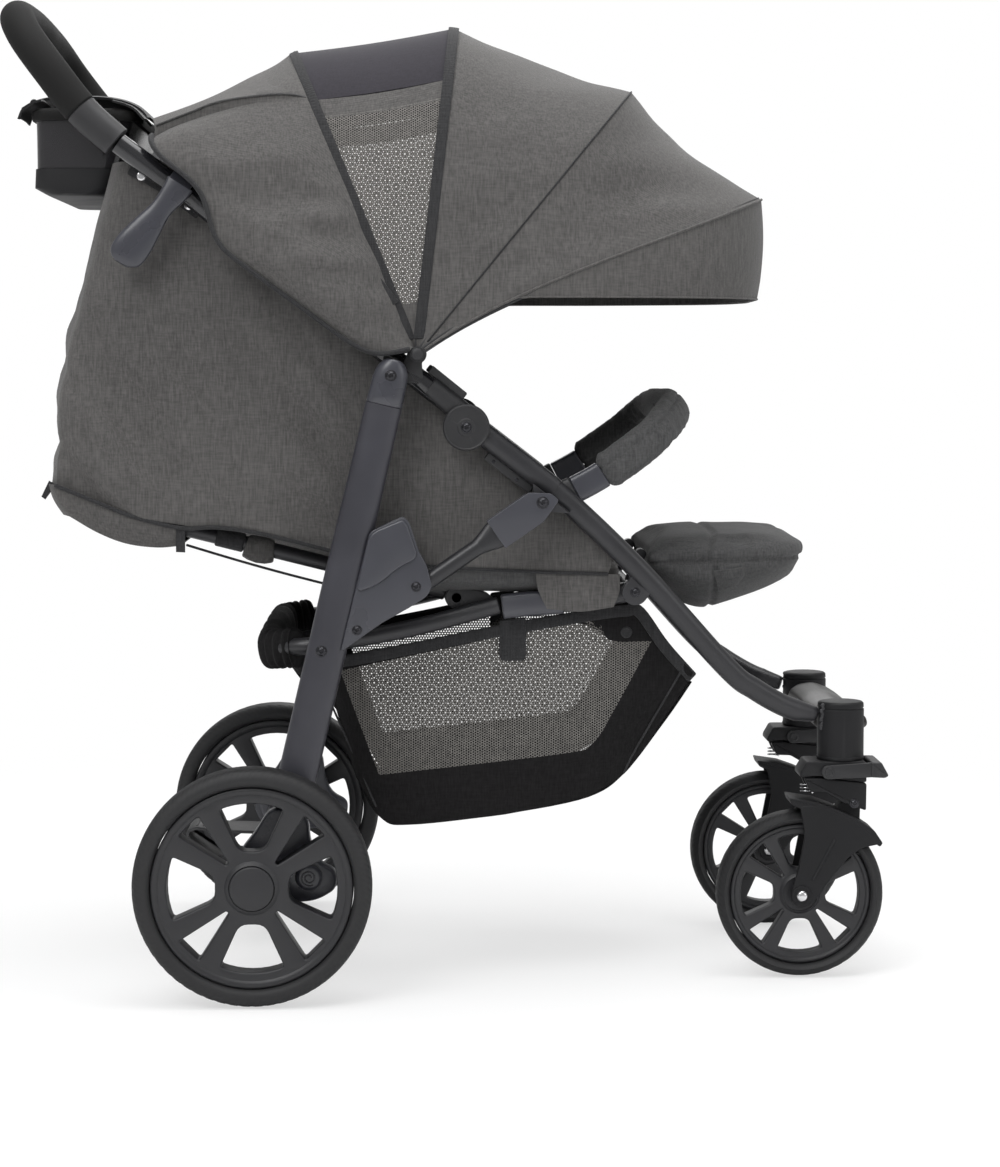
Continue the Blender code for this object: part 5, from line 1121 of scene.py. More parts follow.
def brace(tag, side):
    """The side brace: a round tube with a flattened flare that enters a folded channel."""
    top, foot = at(*BRACE_TOP, side * LEG_Y), at(*BRACE_FOOT, side * LEG_Y)
    way = (top - foot).normalized()
    stations = [
        (-0.008, 0.003, 0.0055), (-0.0055, 0.006, 0.0065), (0.0, 0.008, 0.007), (0.02, 0.0085, 0.0085),
        (0.128, 0.0085, 0.0085), (0.136, 0.009, 0.0082), (0.145, 0.0112, 0.0072), (0.155, 0.0145, 0.0064),
        (0.165, 0.0152, 0.0062), (0.175, 0.0152, 0.0062)]
    bm = bmesh.new()
    fine = resampled(stations, 60)
    sweep(bm, [foot + way * s.x for s in fine], [s.z for s in fine], [s.y for s in fine], 28, 2.3, tip=0.0)
    piece("brace_tube_" + tag, bm, "frame", "braces", "brace_" + tag)
    u = Vector((way.x, way.z))
    v = Vector((-u.y, u.x))
    start = Vector(BRACE_TOP)

    def local(along, across):
        spot = start + u * along + v * across
        return (spot.x, spot.y)
    box = bmesh.new()
    face = eased([
        local(-0.0575, -0.0165), local(-0.01, -0.0165), local(0.015, -0.0075), local(0.012, 0.003),
        local(-0.006, 0.0165), local(-0.0575, 0.0165)], 0.0025, 3)
    side_slab(box, face, side, LEG_Y + 0.0064, LEG_Y + 0.0084, 0.0006)
    for across in (-0.0158, 0.0158):
        flange = [Vector(local(-0.0575, across - 0.0009)), Vector(local(-0.009, across - 0.0009)),
                  Vector(local(-0.009, across + 0.0009)), Vector(local(-0.0575, across + 0.0009))]
        side_slab(box, flange, side, LEG_Y - 0.008, LEG_Y + 0.0076, 0.0006)
    piece("brace_channel_" + tag, box, "gloss", "braces")
    head = bmesh.new()
    bolt(head, at(*BRACE_TOP, side * (LEG_Y + 0.0084)), side, 0.005, 0.0036)
    piece("brace_bolt_" + tag, head, "bolt", "braces")


# Seat frame
def seat_frames():
    half = [at(SEAT_PIVOT[0], SEAT_PIVOT[1], 1.0), at(0.33, 0.404, 1.0), at(0.278, 0.4005, 1.0)]
    bm = bmesh.new()
    for side in SIDES.values():
        sweep(bm, resampled([Vector((p.x, side * SEAT_Y, p.z)) for p in half], 16), SEAT_TUBE_R, 0.0105, 28,
              2.6)
        lug = arc(CALF_PIVOT, 0.006, -10.0, 170.0, 12) + [(0.388, 0.413), (0.395, 0.408)]
        side_slab(bm, eased(lug, 0.002), side, 0.08, 0.095, 0.0008)
    reach = SEAT_Y + 0.001
    for x, z, radius in ((0.34, 0.4107, 0.0075), (0.392, 0.411, 0.007)):
        rod(bm, at(x, z, -reach), at(x, z, reach), radius, 28)
    piece("seat_tubes", bm, "frame", "seat_frame", "seat_frame")
    shells = bmesh.new()
    for side in SIDES.values():
        spots = [at(x, z, side * (SEAT_Y + 0.0008)) for x,
                 z in ((0.318, 0.403), (0.298, 0.4015), (0.28, 0.4003), (0.255, 0.3975))]
        sweep(shells, spots, 0.0108, 0.0128, 28, 3.0)
    piece("seat_knee_shells", shells, "gloss", "seat_frame")
    link_line = (
        (0.252, SEAT_Y, 0.399), (0.16, SEAT_Y, 0.375), (LINK_FOOT[0], SEAT_Y, 0.359),
        (0.043, SEAT_Y - 0.003, 0.356), (0.018, SEAT_Y - 0.022, 0.353), (0.012, SEAT_Y - 0.06, 0.352),
        (0.012, 0.0, 0.352))
    link = bmesh.new()
    sweep(link, full_path(link_line, 120), SEAT_TUBE_R, SEAT_TUBE_R, 28)
    for side in SIDES.values():
        rod(link, at(*LINK_FOOT, side * SEAT_Y), at(*LINK_FOOT,
                                                    side * (LEG_Y - LEG_HALF_WIDTH - CLEARANCE)), 0.0055,
            24)
    piece("link_tube", link, "frame", "seat_link", "seat_link")
    hinge = bmesh.new()
    x, z = BACKREST_PIVOT
    reach = SEAT_Y - SEAT_TUBE_R - CLEARANCE
    rod(hinge, at(x, z, -reach), at(x, z, reach), 0.006, 28)
    for side in SIDES.values():
        bracket = arc((x, z), 0.012, 60.0, 300.0, 12) + [(x + 0.036, z - 0.012), (x + 0.04, z - 0.002),
                                                           (x + 0.03, z + 0.006)]
        side_slab(hinge, eased(bracket, 0.003), side, reach - 0.01, reach, 0.001)
    piece("recline_bar", hinge, "plastic", "seat_link", "recline_hinge")


RECLINE_ANGLE = 166.0
BACK_WAY = Vector((math.cos(math.radians(RECLINE_ANGLE)), 0.0, math.sin(math.radians(RECLINE_ANGLE))))
BACK_UP = Vector((BACK_WAY.z, 0.0, -BACK_WAY.x))
BACK_LENGTH = 0.4
BACK_Y = 0.15


def back_point(distance, lift, y):
    return at(*BACKREST_PIVOT, y) + BACK_WAY * distance + BACK_UP * lift


def backrest_tubes():
    half = [
        back_point(0.012, 0.0, -BACK_Y), back_point(0.18, 0.0, -BACK_Y),
        back_point(BACK_LENGTH - 0.055, 0.0, -BACK_Y), back_point(BACK_LENGTH - 0.014, 0.0, -BACK_Y + 0.02),
        back_point(BACK_LENGTH, 0.0, -BACK_Y + 0.06), back_point(BACK_LENGTH, 0.0, 0.0)]
    path = resampled(both_sides(half), 120)
    bm = bmesh.new()
    sweep(bm, path, 0.008, 0.008, 28)
    for side in SIDES.values():
        lathe(bm, [(0.0068, -0.006), (0.0125, -0.006), (0.0125, 0.006), (0.0068, 0.006)],
              at(*BACKREST_PIVOT, side * BACK_Y), Y_AXIS, 36)
    piece("backrest_tube", bm, "frame", "backrest", "backrest_frame")
    sleeves = bmesh.new()
    for side in SIDES.values():
        sweep(sleeves, [back_point(d, 0.0, side * BACK_Y) for d in (0.228, 0.24, 0.258)], 0.01, 0.01, 28)
        sweep(sleeves, [back_point(d, -0.0005, side * (BACK_Y + 0.0005)) for d in (0.292, 0.296, 0.3)],
              0.0115, 0.0135, 28, 3.0)
    piece("backrest_sleeves", sleeves, "webbing", "backrest")
    loops = bmesh.new()
    for side in SIDES.values():
        path = [back_point(d, -0.001 - 0.002 * math.sin((d - 0.196) * 90.0), side * BACK_Y) for d in
                (0.196, 0.204, 0.212, 0.22, 0.226)]
        sweep(loops, path, [0.0108, 0.0116, 0.0112, 0.0118, 0.011], [0.012, 0.0138, 0.0142, 0.0134, 0.0122],
              28, 2.6)
    piece("backrest_loops", loops, "charcoal_cloth", "backrest")
    cords = bmesh.new()
    for side in SIDES.values():
        start = at(-0.0731, 0.4602, side * (BACK_Y + 0.012))
        end = at(0.09, 0.4145, side * (BACK_Y + 0.012))
        cord_along(cords, [start.lerp(end, k / 12.0) - Z_AXIS * 0.0015 * math.sin(math.pi * k / 12.0)
                           for k in range(13)], 0.0014)
    piece("backrest_cords", cords, "webbing", "backrest")


# Padded pieces
def pad_rings(frame_at, length, half_width, thick, rows=25):
    """Rings of a flat pad, whose edge is a share of its thickness."""
    cols, edge_share = 13, 0.3
    rings = []
    for i in range(rows):
        s = i / (rows - 1)
        pull = 1.0 - 0.05 * math.sin(math.pi * s) ** 2
        edge = math.sin(math.pi * min(max(s, 0.03), 0.97)) ** 0.35
        ring = []
        for j in range(cols):
            t = -1.0 + 2.0 * j / (cols - 1)
            crown = (1.0 - abs(t) ** 3.0) ** 0.5
            ring.append(frame_at(length * s, thick * (edge_share + (1.0 - edge_share) * crown * edge),
                                 t * half_width * pull))
        for j in range(cols - 1, -1, -1):
            t = -1.0 + 2.0 * j / (cols - 1)
            ring.append(frame_at(length * s, 0.0, t * half_width * pull * 0.985))
        rings.append(ring)
    return rings


def groove(distance, width, depth):
    """How deep a sewn line is at a distance from it."""
    return depth * math.exp(-(distance / width) ** 2)


def seat_pad():
    back, front = Vector((0.225, 0.4145)), Vector((0.3885, 0.4222))
    way = (front - back).normalized()
    up = Vector((-way.y, way.x))

    def place(distance, lift, y):
        spot = back + way * (distance * 0.97 + 0.002) + up * lift
        return at(spot.x, spot.y, y)
    bm = bmesh.new()
    loft(bm, pad_rings(place, (front - back).length, 0.154, 0.038))
    pad = puffed(piece("seat_cushion", bm, "charcoal_cloth", "seat_frame", "seat_pad"), 0.006, 0.006)

    def seams(co):
        x = co.x + AXLE_TO_MIDDLE
        return groove(abs(co.y) - 0.092, 0.0035, 0.0042) + groove(x - 0.265, 0.0035,
                                                                  0.0035) * (abs(co.y) < 0.1)
    push_in(pad, lambda co: seams(co) if co.z > 0.44 else 0.0)


def backrest_pad():
    def place(distance, lift, y):
        return back_point(0.05 + distance, 0.0095 + lift, y)
    bm = bmesh.new()
    loft(bm, pad_rings(place, BACK_LENGTH - 0.056, 0.144, 0.024, rows=41))
    pad = puffed(piece("backrest_cushion", bm, "charcoal_cloth", "backrest", "backrest_pad"), 0.006, 0.006)

    def seams(co):
        away = co - at(*BACKREST_PIVOT)
        along, lift = away.dot(BACK_WAY), away.dot(BACK_UP)
        if lift < 0.016:
            return 0.0
        rows = groove(along - 0.15, 0.004, 0.004) + groove(along - 0.25, 0.004, 0.004)
        return rows + groove(abs(co.y) - 0.088, 0.0035, 0.004)
    push_in(pad, seams, BACK_UP)


def calf_rest():
    """The padded leg rest: round-ended, seamed along its side, with a hanging underside pocket."""
    end, base = Vector((0.586, 0.456)), Vector(CALF_PIVOT)
    way = (end - base).normalized()
    start = base + way * 0.003
    up = Vector((-way.y, way.x))
    stations = resampled([
        (0.0, 0.014, 0.01), (0.05, 0.026, 0.0145), (0.15, 0.044, 0.0165), (0.32, 0.061, 0.017),
        (0.53, 0.054, 0.015), (0.75, 0.042, 0.0125), (0.88, 0.032, 0.0105), (0.96, 0.018, 0.008),
        (1.0, 0.004, 0.002)], 33)
    rings = []
    for s, belly, crown in stations:
        s = min(max(s, 0.0), 1.0)
        round_off = 1.0 if s < 0.6 else math.sqrt(max(0.0, 1.0 - ((s - 0.6) / 0.42) ** 2.6))
        half = 0.058 + 0.083 * round_off
        spot = start + way * ((end - start).length * s)
        rings.append([
            at(spot.x + up.x * lift, spot.y + up.y * lift, u) for u,
            lift in ((u, crown * v if v > 0.0 else belly * v) for u, v in oval(32, half, 1.0, 3.0))])
    bm = bmesh.new()
    loft(bm, rings)
    pad = puffed(piece("leg_rest_cushion", bm, "pad_cloth", "calf_rest", "calf_rest"), 0.005, 0.005)

    def seams(co):
        x, z = co.x + AXLE_TO_MIDDLE, co.z
        line = z - (0.439 + (x - 0.45) * 0.03)
        side = groove(line, 0.0022, 0.003)
        fold = 0.0016 * noise.noise(Vector((x * 30.0, co.y * 14.0, z * 70.0)))
        across = groove(x - 0.463 - (z - 0.43) * 0.5, 0.0035, 0.0032) * (z > 0.44)
        pocket = groove(x - 0.482, 0.0025, 0.003) * (z < 0.436)
        return side + fold + across + pocket
    push_in(pad, seams)
    flap = bmesh.new()
    for side in SIDES.values():
        grid = sided((
            ((0.48, 0.43, 0.14), (0.505, 0.433, 0.139), (0.535, 0.439, 0.129)),
            ((0.483, 0.42, 0.137), (0.506, 0.422, 0.135), (0.533, 0.432, 0.124)),
            ((0.486, 0.409, 0.129), (0.506, 0.414, 0.126), (0.528, 0.425, 0.115))), side)
        sheet(flap, dense(grid, 9, 13), 0.0016, at(0.5, 0.43))
    piece("leg_rest_flaps", flap, "pad_cloth", "calf_rest", smooth=CLOTH_SHARP)


def bumper():
    """The guard bar: plastic arms and a soft cover with a side seam and folds at its bends."""
    path = full_path(BUMPER_LINE, 121)
    run = lengths_of(path)
    total = run[-1]
    first = next(k for k, r in enumerate(run) if r > BUMPER_ARM_LENGTH)
    bm = bmesh.new()
    inner = path[first:len(path) - first]
    count = len(inner)
    wide, tall = [], []
    for k in range(count):
        end = min(k, count - 1 - k) / 3.0
        rounding = min(1.0, 0.8 + 0.2 * end)
        wide.append(0.011 * rounding)
        tall.append(0.0205 * rounding)
    sweep(bm, inner, wide, tall, 36, 2.6)
    cover = puffed(piece("guard_bar_cover", bm, "pad_cloth", "bumper", "bumper_bar"), 0.005, 0.0035)

    def folds(co):
        best = min(range(0, count, 3), key=lambda k: (inner[k] - co).length_squared)
        away = co - inner[best]
        ahead = (inner[min(best + 1, count - 1)] - inner[max(best - 1, 0)]).normalized()
        across = (Y_AXIS - ahead * ahead.y).normalized()
        out = ahead.cross(across)
        lift = away.dot(out)
        position = min(run[first + best], total - run[first + best])
        cuff = groove(position - 0.05, 0.0016, 0.0022)
        seam = groove(lift - 0.006, 0.0016, 0.0018)
        bend = math.exp(-((position - 0.125) / 0.035) ** 2)
        return cuff + seam + 0.0032 * bend * abs(noise.noise(Vector((co.x * 110.0, co.y * 60.0,
                                                                     co.z * 40.0))))
    push_in(cover, folds)
    arms = bmesh.new()
    for spots in (path[:first + 2], list(reversed(path))[:first + 2]):
        sweep(arms, spots, 0.0088, 0.014, 32, 4.0)
    piece("guard_bar_arms", arms, "gloss", "bumper")


# Canopy
def bow_spot(index, u, lift=0.0):
    """A place on a bow; u runs from -1 at the right hub over 0 at the top to 1 at the left hub."""
    reach = math.sin(0.5 * math.pi * (1.0 - abs(u)))
    angle = math.radians(BOW_ANGLES[index] + FRONT_BOW_BEND * (index == 3) * (1.0 - reach) ** 2)
    radius = (BOW_RADII[index] + lift) * reach
    y = (BOW_Y[index] + lift) * max(0.0, 1.0 - reach ** 4) ** 0.25
    return at(CANOPY_PIVOT[0] + radius * math.cos(angle), CANOPY_PIVOT[1] + radius * math.sin(angle),
              math.copysign(y, u))


def bow_line(index, lift, first=-HUB_END, last=HUB_END, count=129):
    return [bow_spot(index, first + (last - first) * k / (count - 1), lift) for k in range(count)]


def bow_square(index):
    angle = math.radians(BOW_ANGLES[index])
    return Vector((math.sin(angle), 0.0, -math.cos(angle)))


HUB = at(*CANOPY_PIVOT)
UNDER_HOOD = at(0.02, 0.75)


def panel(index, first, last, rows, cols, sag, crease=0.0, seed=0.0):
    """The cloth between bow index and the next one, over part of the arch."""
    a = bow_line(index, CLOTH_LIFT, first, last, cols)
    b = bow_line(index + 1, CLOTH_LIFT, first, last, cols)
    grid = []
    for i in range(rows):
        t = i / (rows - 1)
        row = []
        for p, q in zip(a, b):
            spot = p.lerp(q, t)
            inward = HUB - spot
            inward.y *= 0.25
            row.append(spot + inward.normalized() * sag * (p - q).length * math.sin(math.pi * t))
        grid.append(row)
    if crease:
        grid = folded(grid, creased(grid, HUB, crease, (9.0, 9.0, 26.0), seed,
                                    lambda p: min(1.0, ((p - at(*CANOPY_PIVOT, p.y)).length / 0.12) ** 2)))
    return grid


def folded(flat, folds):
    """Take the folds in the middle rows only, so that the first and last row stay straight."""
    rows = len(flat)
    out = []
    for i, (plain, bent) in enumerate(zip(flat, folds)):
        share = min(1.0, 1.6 * math.sin(math.pi * i / (rows - 1)))
        out.append([p.lerp(q, share) for p, q in zip(plain, bent)])
    return out


def bend_panel(obj):
    """Bake a panel's placement into its mesh."""
    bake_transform(obj)


def canopy():
    bodies = ("handle_frame", "bow_2", "bow_3", "bow_4")
    for index, body in enumerate(bodies):
        bm = bmesh.new()
        sweep(bm, bow_line(index, -0.0004, -0.995, 0.995), 0.0038, 0.0014, 12, 6.0, side=bow_square(index))
        for side in SIDES.values():
            lathe(bm, [(0.0042, -0.0015), (0.0078, -0.0015), (0.0078, 0.0015), (0.0042, 0.0015)],
                  at(*CANOPY_PIVOT, side * BOW_Y[index]), Y_AXIS, 32, 0.0004)
        piece("bow_strip_%d" % (index + 1), bm, "plastic", body, "canopy_bow_%d" % (index + 1))
    for tag, side in SIDES.items():
        low, high = sorted((side * VENT_TOP, side * VENT_FOOT))
        bm = bmesh.new()
        net = panel(0, low, high, 17, 57, 0.02)
        sheet(bm, net, 0.0008, HUB)
        obj = piece("vent_net_" + tag, bm, "vent_mesh" if side < 0 else "vent_mesh_far", None,
                    "canopy_vent", CLOTH_SHARP)
        bend_panel(obj)
        cloth_of(net)
        for name, ends, thick in (("vent_band_", (VENT_BAND, VENT_TOP + 0.006), 0.0014),
                                  ("vent_foot_", (VENT_FOOT, HUB_END), 0.0016)):
            low, high = sorted(side * u for u in ends)
            bend_panel(piece(name + tag, sheet(bmesh.new(), panel(0, low, high, 17, 9, 0.02), thick, HUB),
                             "charcoal_cloth", None, smooth=CLOTH_SHARP))
    bend_panel(
        piece("vent_roof", sheet(bmesh.new(), panel(0, -VENT_BAND, VENT_BAND, 17, 65, 0.012), 0.0012, HUB),
              "navy_cloth", None, smooth=CLOTH_SHARP))
    for index, name, node, sag in ((1, "hood_middle", "canopy_mid", 0.03),
                                   (2, "hood_front", "canopy_front", 0.07)):
        bm = bmesh.new()
        grid = panel(index, -HUB_END, HUB_END, 25, 161, sag, 0.005, 3.0 * index)
        sheet(bm, grid, 0.0016, HUB)
        obj = piece(name, bm, "charcoal_cloth", None, node, CLOTH_SHARP)
        bend_panel(obj)
        cloth_of(grid)
    trims = ((0, 0.005, 0.0013, "webbing"), (1, 0.0056, 0.0013, "webbing"), (2, 0.001, 0.001, "webbing"),
             (3, 0.0014, 0.0014, "charcoal_cloth"))
    for index, wide, tall, look in trims:
        piece("bow_binding_%d" % (index + 1), sweep(bmesh.new(),
                                                    bow_line(index, CLOTH_LIFT + 0.0002, -0.972, 0.972),
                                                    wide, tall, 12, 4.0 if index < 2 else 2.0,
                                                    side=bow_square(index)), look, bodies[index])


def rear_edge_row(count):
    """The rear edge of the hood: up the right side and over the tray to the middle, smoothed."""
    side = [at(x, z, -REAR_EDGE_Y) for x, z in REAR_EDGE]
    corner = [at(REAR_CORNER[0], REAR_CORNER[1], -REAR_EDGE_Y * 0.975), at(-0.099, 0.8775, -0.215)]
    half = side + corner + [at(-0.0985, 0.879, -0.12), at(-0.098, 0.8795, 0.0)]
    out = evenly(half, count)
    for _ in range(3):
        out = [out[0]] + [(out[k - 1] + out[k] * 2.0 + out[k + 1]) / 4.0
                          for k in range(1, count - 1)] + [out[-1]]
    return out


FLAP_HALF = ((-0.1, 0.2125), (-0.03, 0.206), (0.0131, 0.2035), (0.056, 0.199))
FLAP_FOOT = ((-0.1, 0.876), (-0.0319, 0.885), (0.0131, 0.896), (0.056, 0.912))


def canopy_rear():
    """The rear of the hood, from the first bow to its bound edge, with folds and a flap on top."""
    count = 81
    front = [bow_spot(0, -HUB_END + HUB_END * k / (count - 1), CLOTH_LIFT) for k in range(count)]
    rows = 41
    half = [[p.lerp(q, i / (rows - 1)) for p, q in zip(evenly(front, count), rear_edge_row(count))]
            for i in range(rows)]
    for i, row in enumerate(half):
        t = i / (rows - 1)
        for j, spot in enumerate(row):
            spot.y -= 0.01 * math.sin(math.pi * t) * math.sin(math.pi * min(1.0, 1.6 * j / count)) ** 2
    grid = [both_sides(row) for row in half]

    def mask(p):
        side = min(1.0, abs(p.y) / 0.2) ** 4 * min(1.0, max(0.0, (0.905 - p.z) / 0.07))
        return side * min(1.0, (p - at(*CANOPY_PIVOT, p.y)).length / 0.1)
    folds = creased(grid, HUB, 0.024, (5.0, 3.0, 19.0), 4.0, mask)
    folds = creased(folds, HUB, 0.007, (16.0, 6.0, 42.0), 14.0, mask)
    grid = folded(grid, folds)
    hood = piece("hood_rear", sheet(bmesh.new(), grid, 0.0018, HUB), "charcoal_cloth", "handle_frame",
                 "canopy_rear", CLOTH_SHARP)
    cloth_of(grid)
    piece("hood_rear_binding", sweep(bmesh.new(), grid[-1], 0.0052, 0.0026, 16, 2.4, side=Y_AXIS),
          "webbing", "handle_frame")
    low = resampled([
        at(x, z) for x, z in ((-0.096, 0.8885), (-0.0599, 0.9027), (-0.0319, 0.9134), (0.0131, 0.9205),
                              (0.04, 0.9215), (0.056, 0.9185))], 41)
    high = resampled([
        at(x, z) for x, z in ((-0.107, 0.903), (-0.078, 0.914), (-0.05, 0.9262), (-0.01, 0.948),
                              (0.018, 0.963), (0.0387, 0.9792))], 41)
    layers = []
    for p, q in zip(low, high):
        row = []
        for k in range(41):
            u = -1.0 + 2.0 * k / 40.0
            spot = p.lerp(q, 1.0 - abs(u) ** 4)
            row.append(Vector((spot.x, u * looked_up(FLAP_HALF, p.x + AXLE_TO_MIDDLE), spot.z)))
        layers.append(row)
    soft = creased(layers, UNDER_HOOD, 0.006, (10.0, 5.0, 10.0), 2.0)
    layers = [[p.lerp(q, min(1.0, 1.0 - j / 40.0)) for p, q in zip(a, b)] for j,
              (a, b) in enumerate(zip(layers, soft))]
    closed = []
    for row in layers:
        foot = looked_up(FLAP_FOOT, row[0].x + AXLE_TO_MIDDLE)
        ends = [[Vector((p.x, p.y * (1.0 + 0.01 * t), p.z + (foot - p.z) * t)) for t in (1.0, 0.5)]
                for p in (row[0], row[-1])]
        closed.append(ends[0] + row + list(reversed(ends[1])))
    rear = [at(-0.0985, min(p.z, 0.8775), p.y) for p in closed[0]]
    closed = [rear, [p.lerp(q, 0.5) for p, q in zip(rear, closed[0])]] + closed
    piece("hood_flap", sheet(bmesh.new(), closed, 0.0022, UNDER_HOOD), "charcoal_cloth", "handle_frame",
          smooth=CLOTH_SHARP)
    bm = bmesh.new()
    for k in (0, -1):
        cord_along(bm, [row[k] + Y_AXIS * (0.0006 if k else -0.0006) for row in layers], 0.0011)
    piece("hood_flap_piping", bm, "pad_cloth", "handle_frame")
    bm = bmesh.new()
    for side in SIDES.values():
        tab = [Vector(p) for p in ((0.1205, 0.733), (0.129, 0.7375), (0.149, 0.7115), (0.141, 0.706))]
        side_slab(bm, tab, side, 0.2335, 0.2362, 0.0006)
    piece("hood_tabs", bm, "webbing", "handle_frame")


def visor():
    """The peak: it hangs from the front bow and its hem runs level."""
    low = 1.0 - 2.0 / math.pi * math.asin(0.118 / BOW_RADII[3])
    top = bow_line(3, CLOTH_LIFT, -low, low, 121)
    hem = [Vector((p.x - 0.003, p.y * 0.995, min(p.z - 0.002, VISOR_HEM))) for p in top]
    rows = 17
    grid = []
    for i in range(rows):
        t = i / (rows - 1)
        row = []
        for p, q in zip(top, hem):
            spot = p.lerp(q, t)
            spot.x += 0.004 * math.sin(math.pi * t)
            row.append(spot)
        grid.append(row)
    inside = at(0.35, 0.76)
    soft = creased(grid, inside, 0.006, (8.0, 8.0, 10.0), 6.0)
    grid = [[p.lerp(q, i / (rows - 1)) for p, q in zip(a, b)] for i, (a, b) in enumerate(zip(grid, soft))]
    obj = piece("hood_peak", sheet(bmesh.new(), grid, 0.002, inside), "charcoal_cloth", "bow_4", "visor",
                CLOTH_SHARP)
    cloth_of(grid)
    piece("hood_peak_hem", cord_along(bmesh.new(), grid[-1], 0.0011), "charcoal_cloth", "bow_4")


# Side cloth and basket
COVER_Y = 0.2045
COVER_BACK = ((-0.137, 0.854), (-0.159, 0.772), (-0.184, 0.679), (-0.197, 0.6016), (-0.203, 0.547),
              (-0.203, 0.52))
COVER_TOP = ((0.148, 0.65), (0.07, 0.713), (0.0, 0.773), (-0.056, 0.826), (-0.096, 0.856))
COVER_LOW = ((0.102, 0.45), (0.05, 0.464), (0.0, 0.4756), (-0.06, 0.481), (-0.13, 0.4945))
PIPING = ((-0.071, 0.4798), (-0.1026, 0.486), (-0.1331, 0.4953), (-0.1728, 0.5118), (-0.203, 0.524))
POUCH_LOW = ((-0.075, 0.462), (-0.1, 0.46), (-0.1314, 0.464), (-0.162, 0.4758), (-0.19, 0.492))

# Points that the cloth pieces turn their outer faces away from
BAG_MIDDLE = at(0.0, 0.62)
POUCH_MIDDLE = at(-0.12, 0.52)
SEAT_MIDDLE = at(0.2, 0.52)
BASKET_MIDDLE = at(0.25, 0.28)
OVER_FLOOR = at(0.25, 0.34)


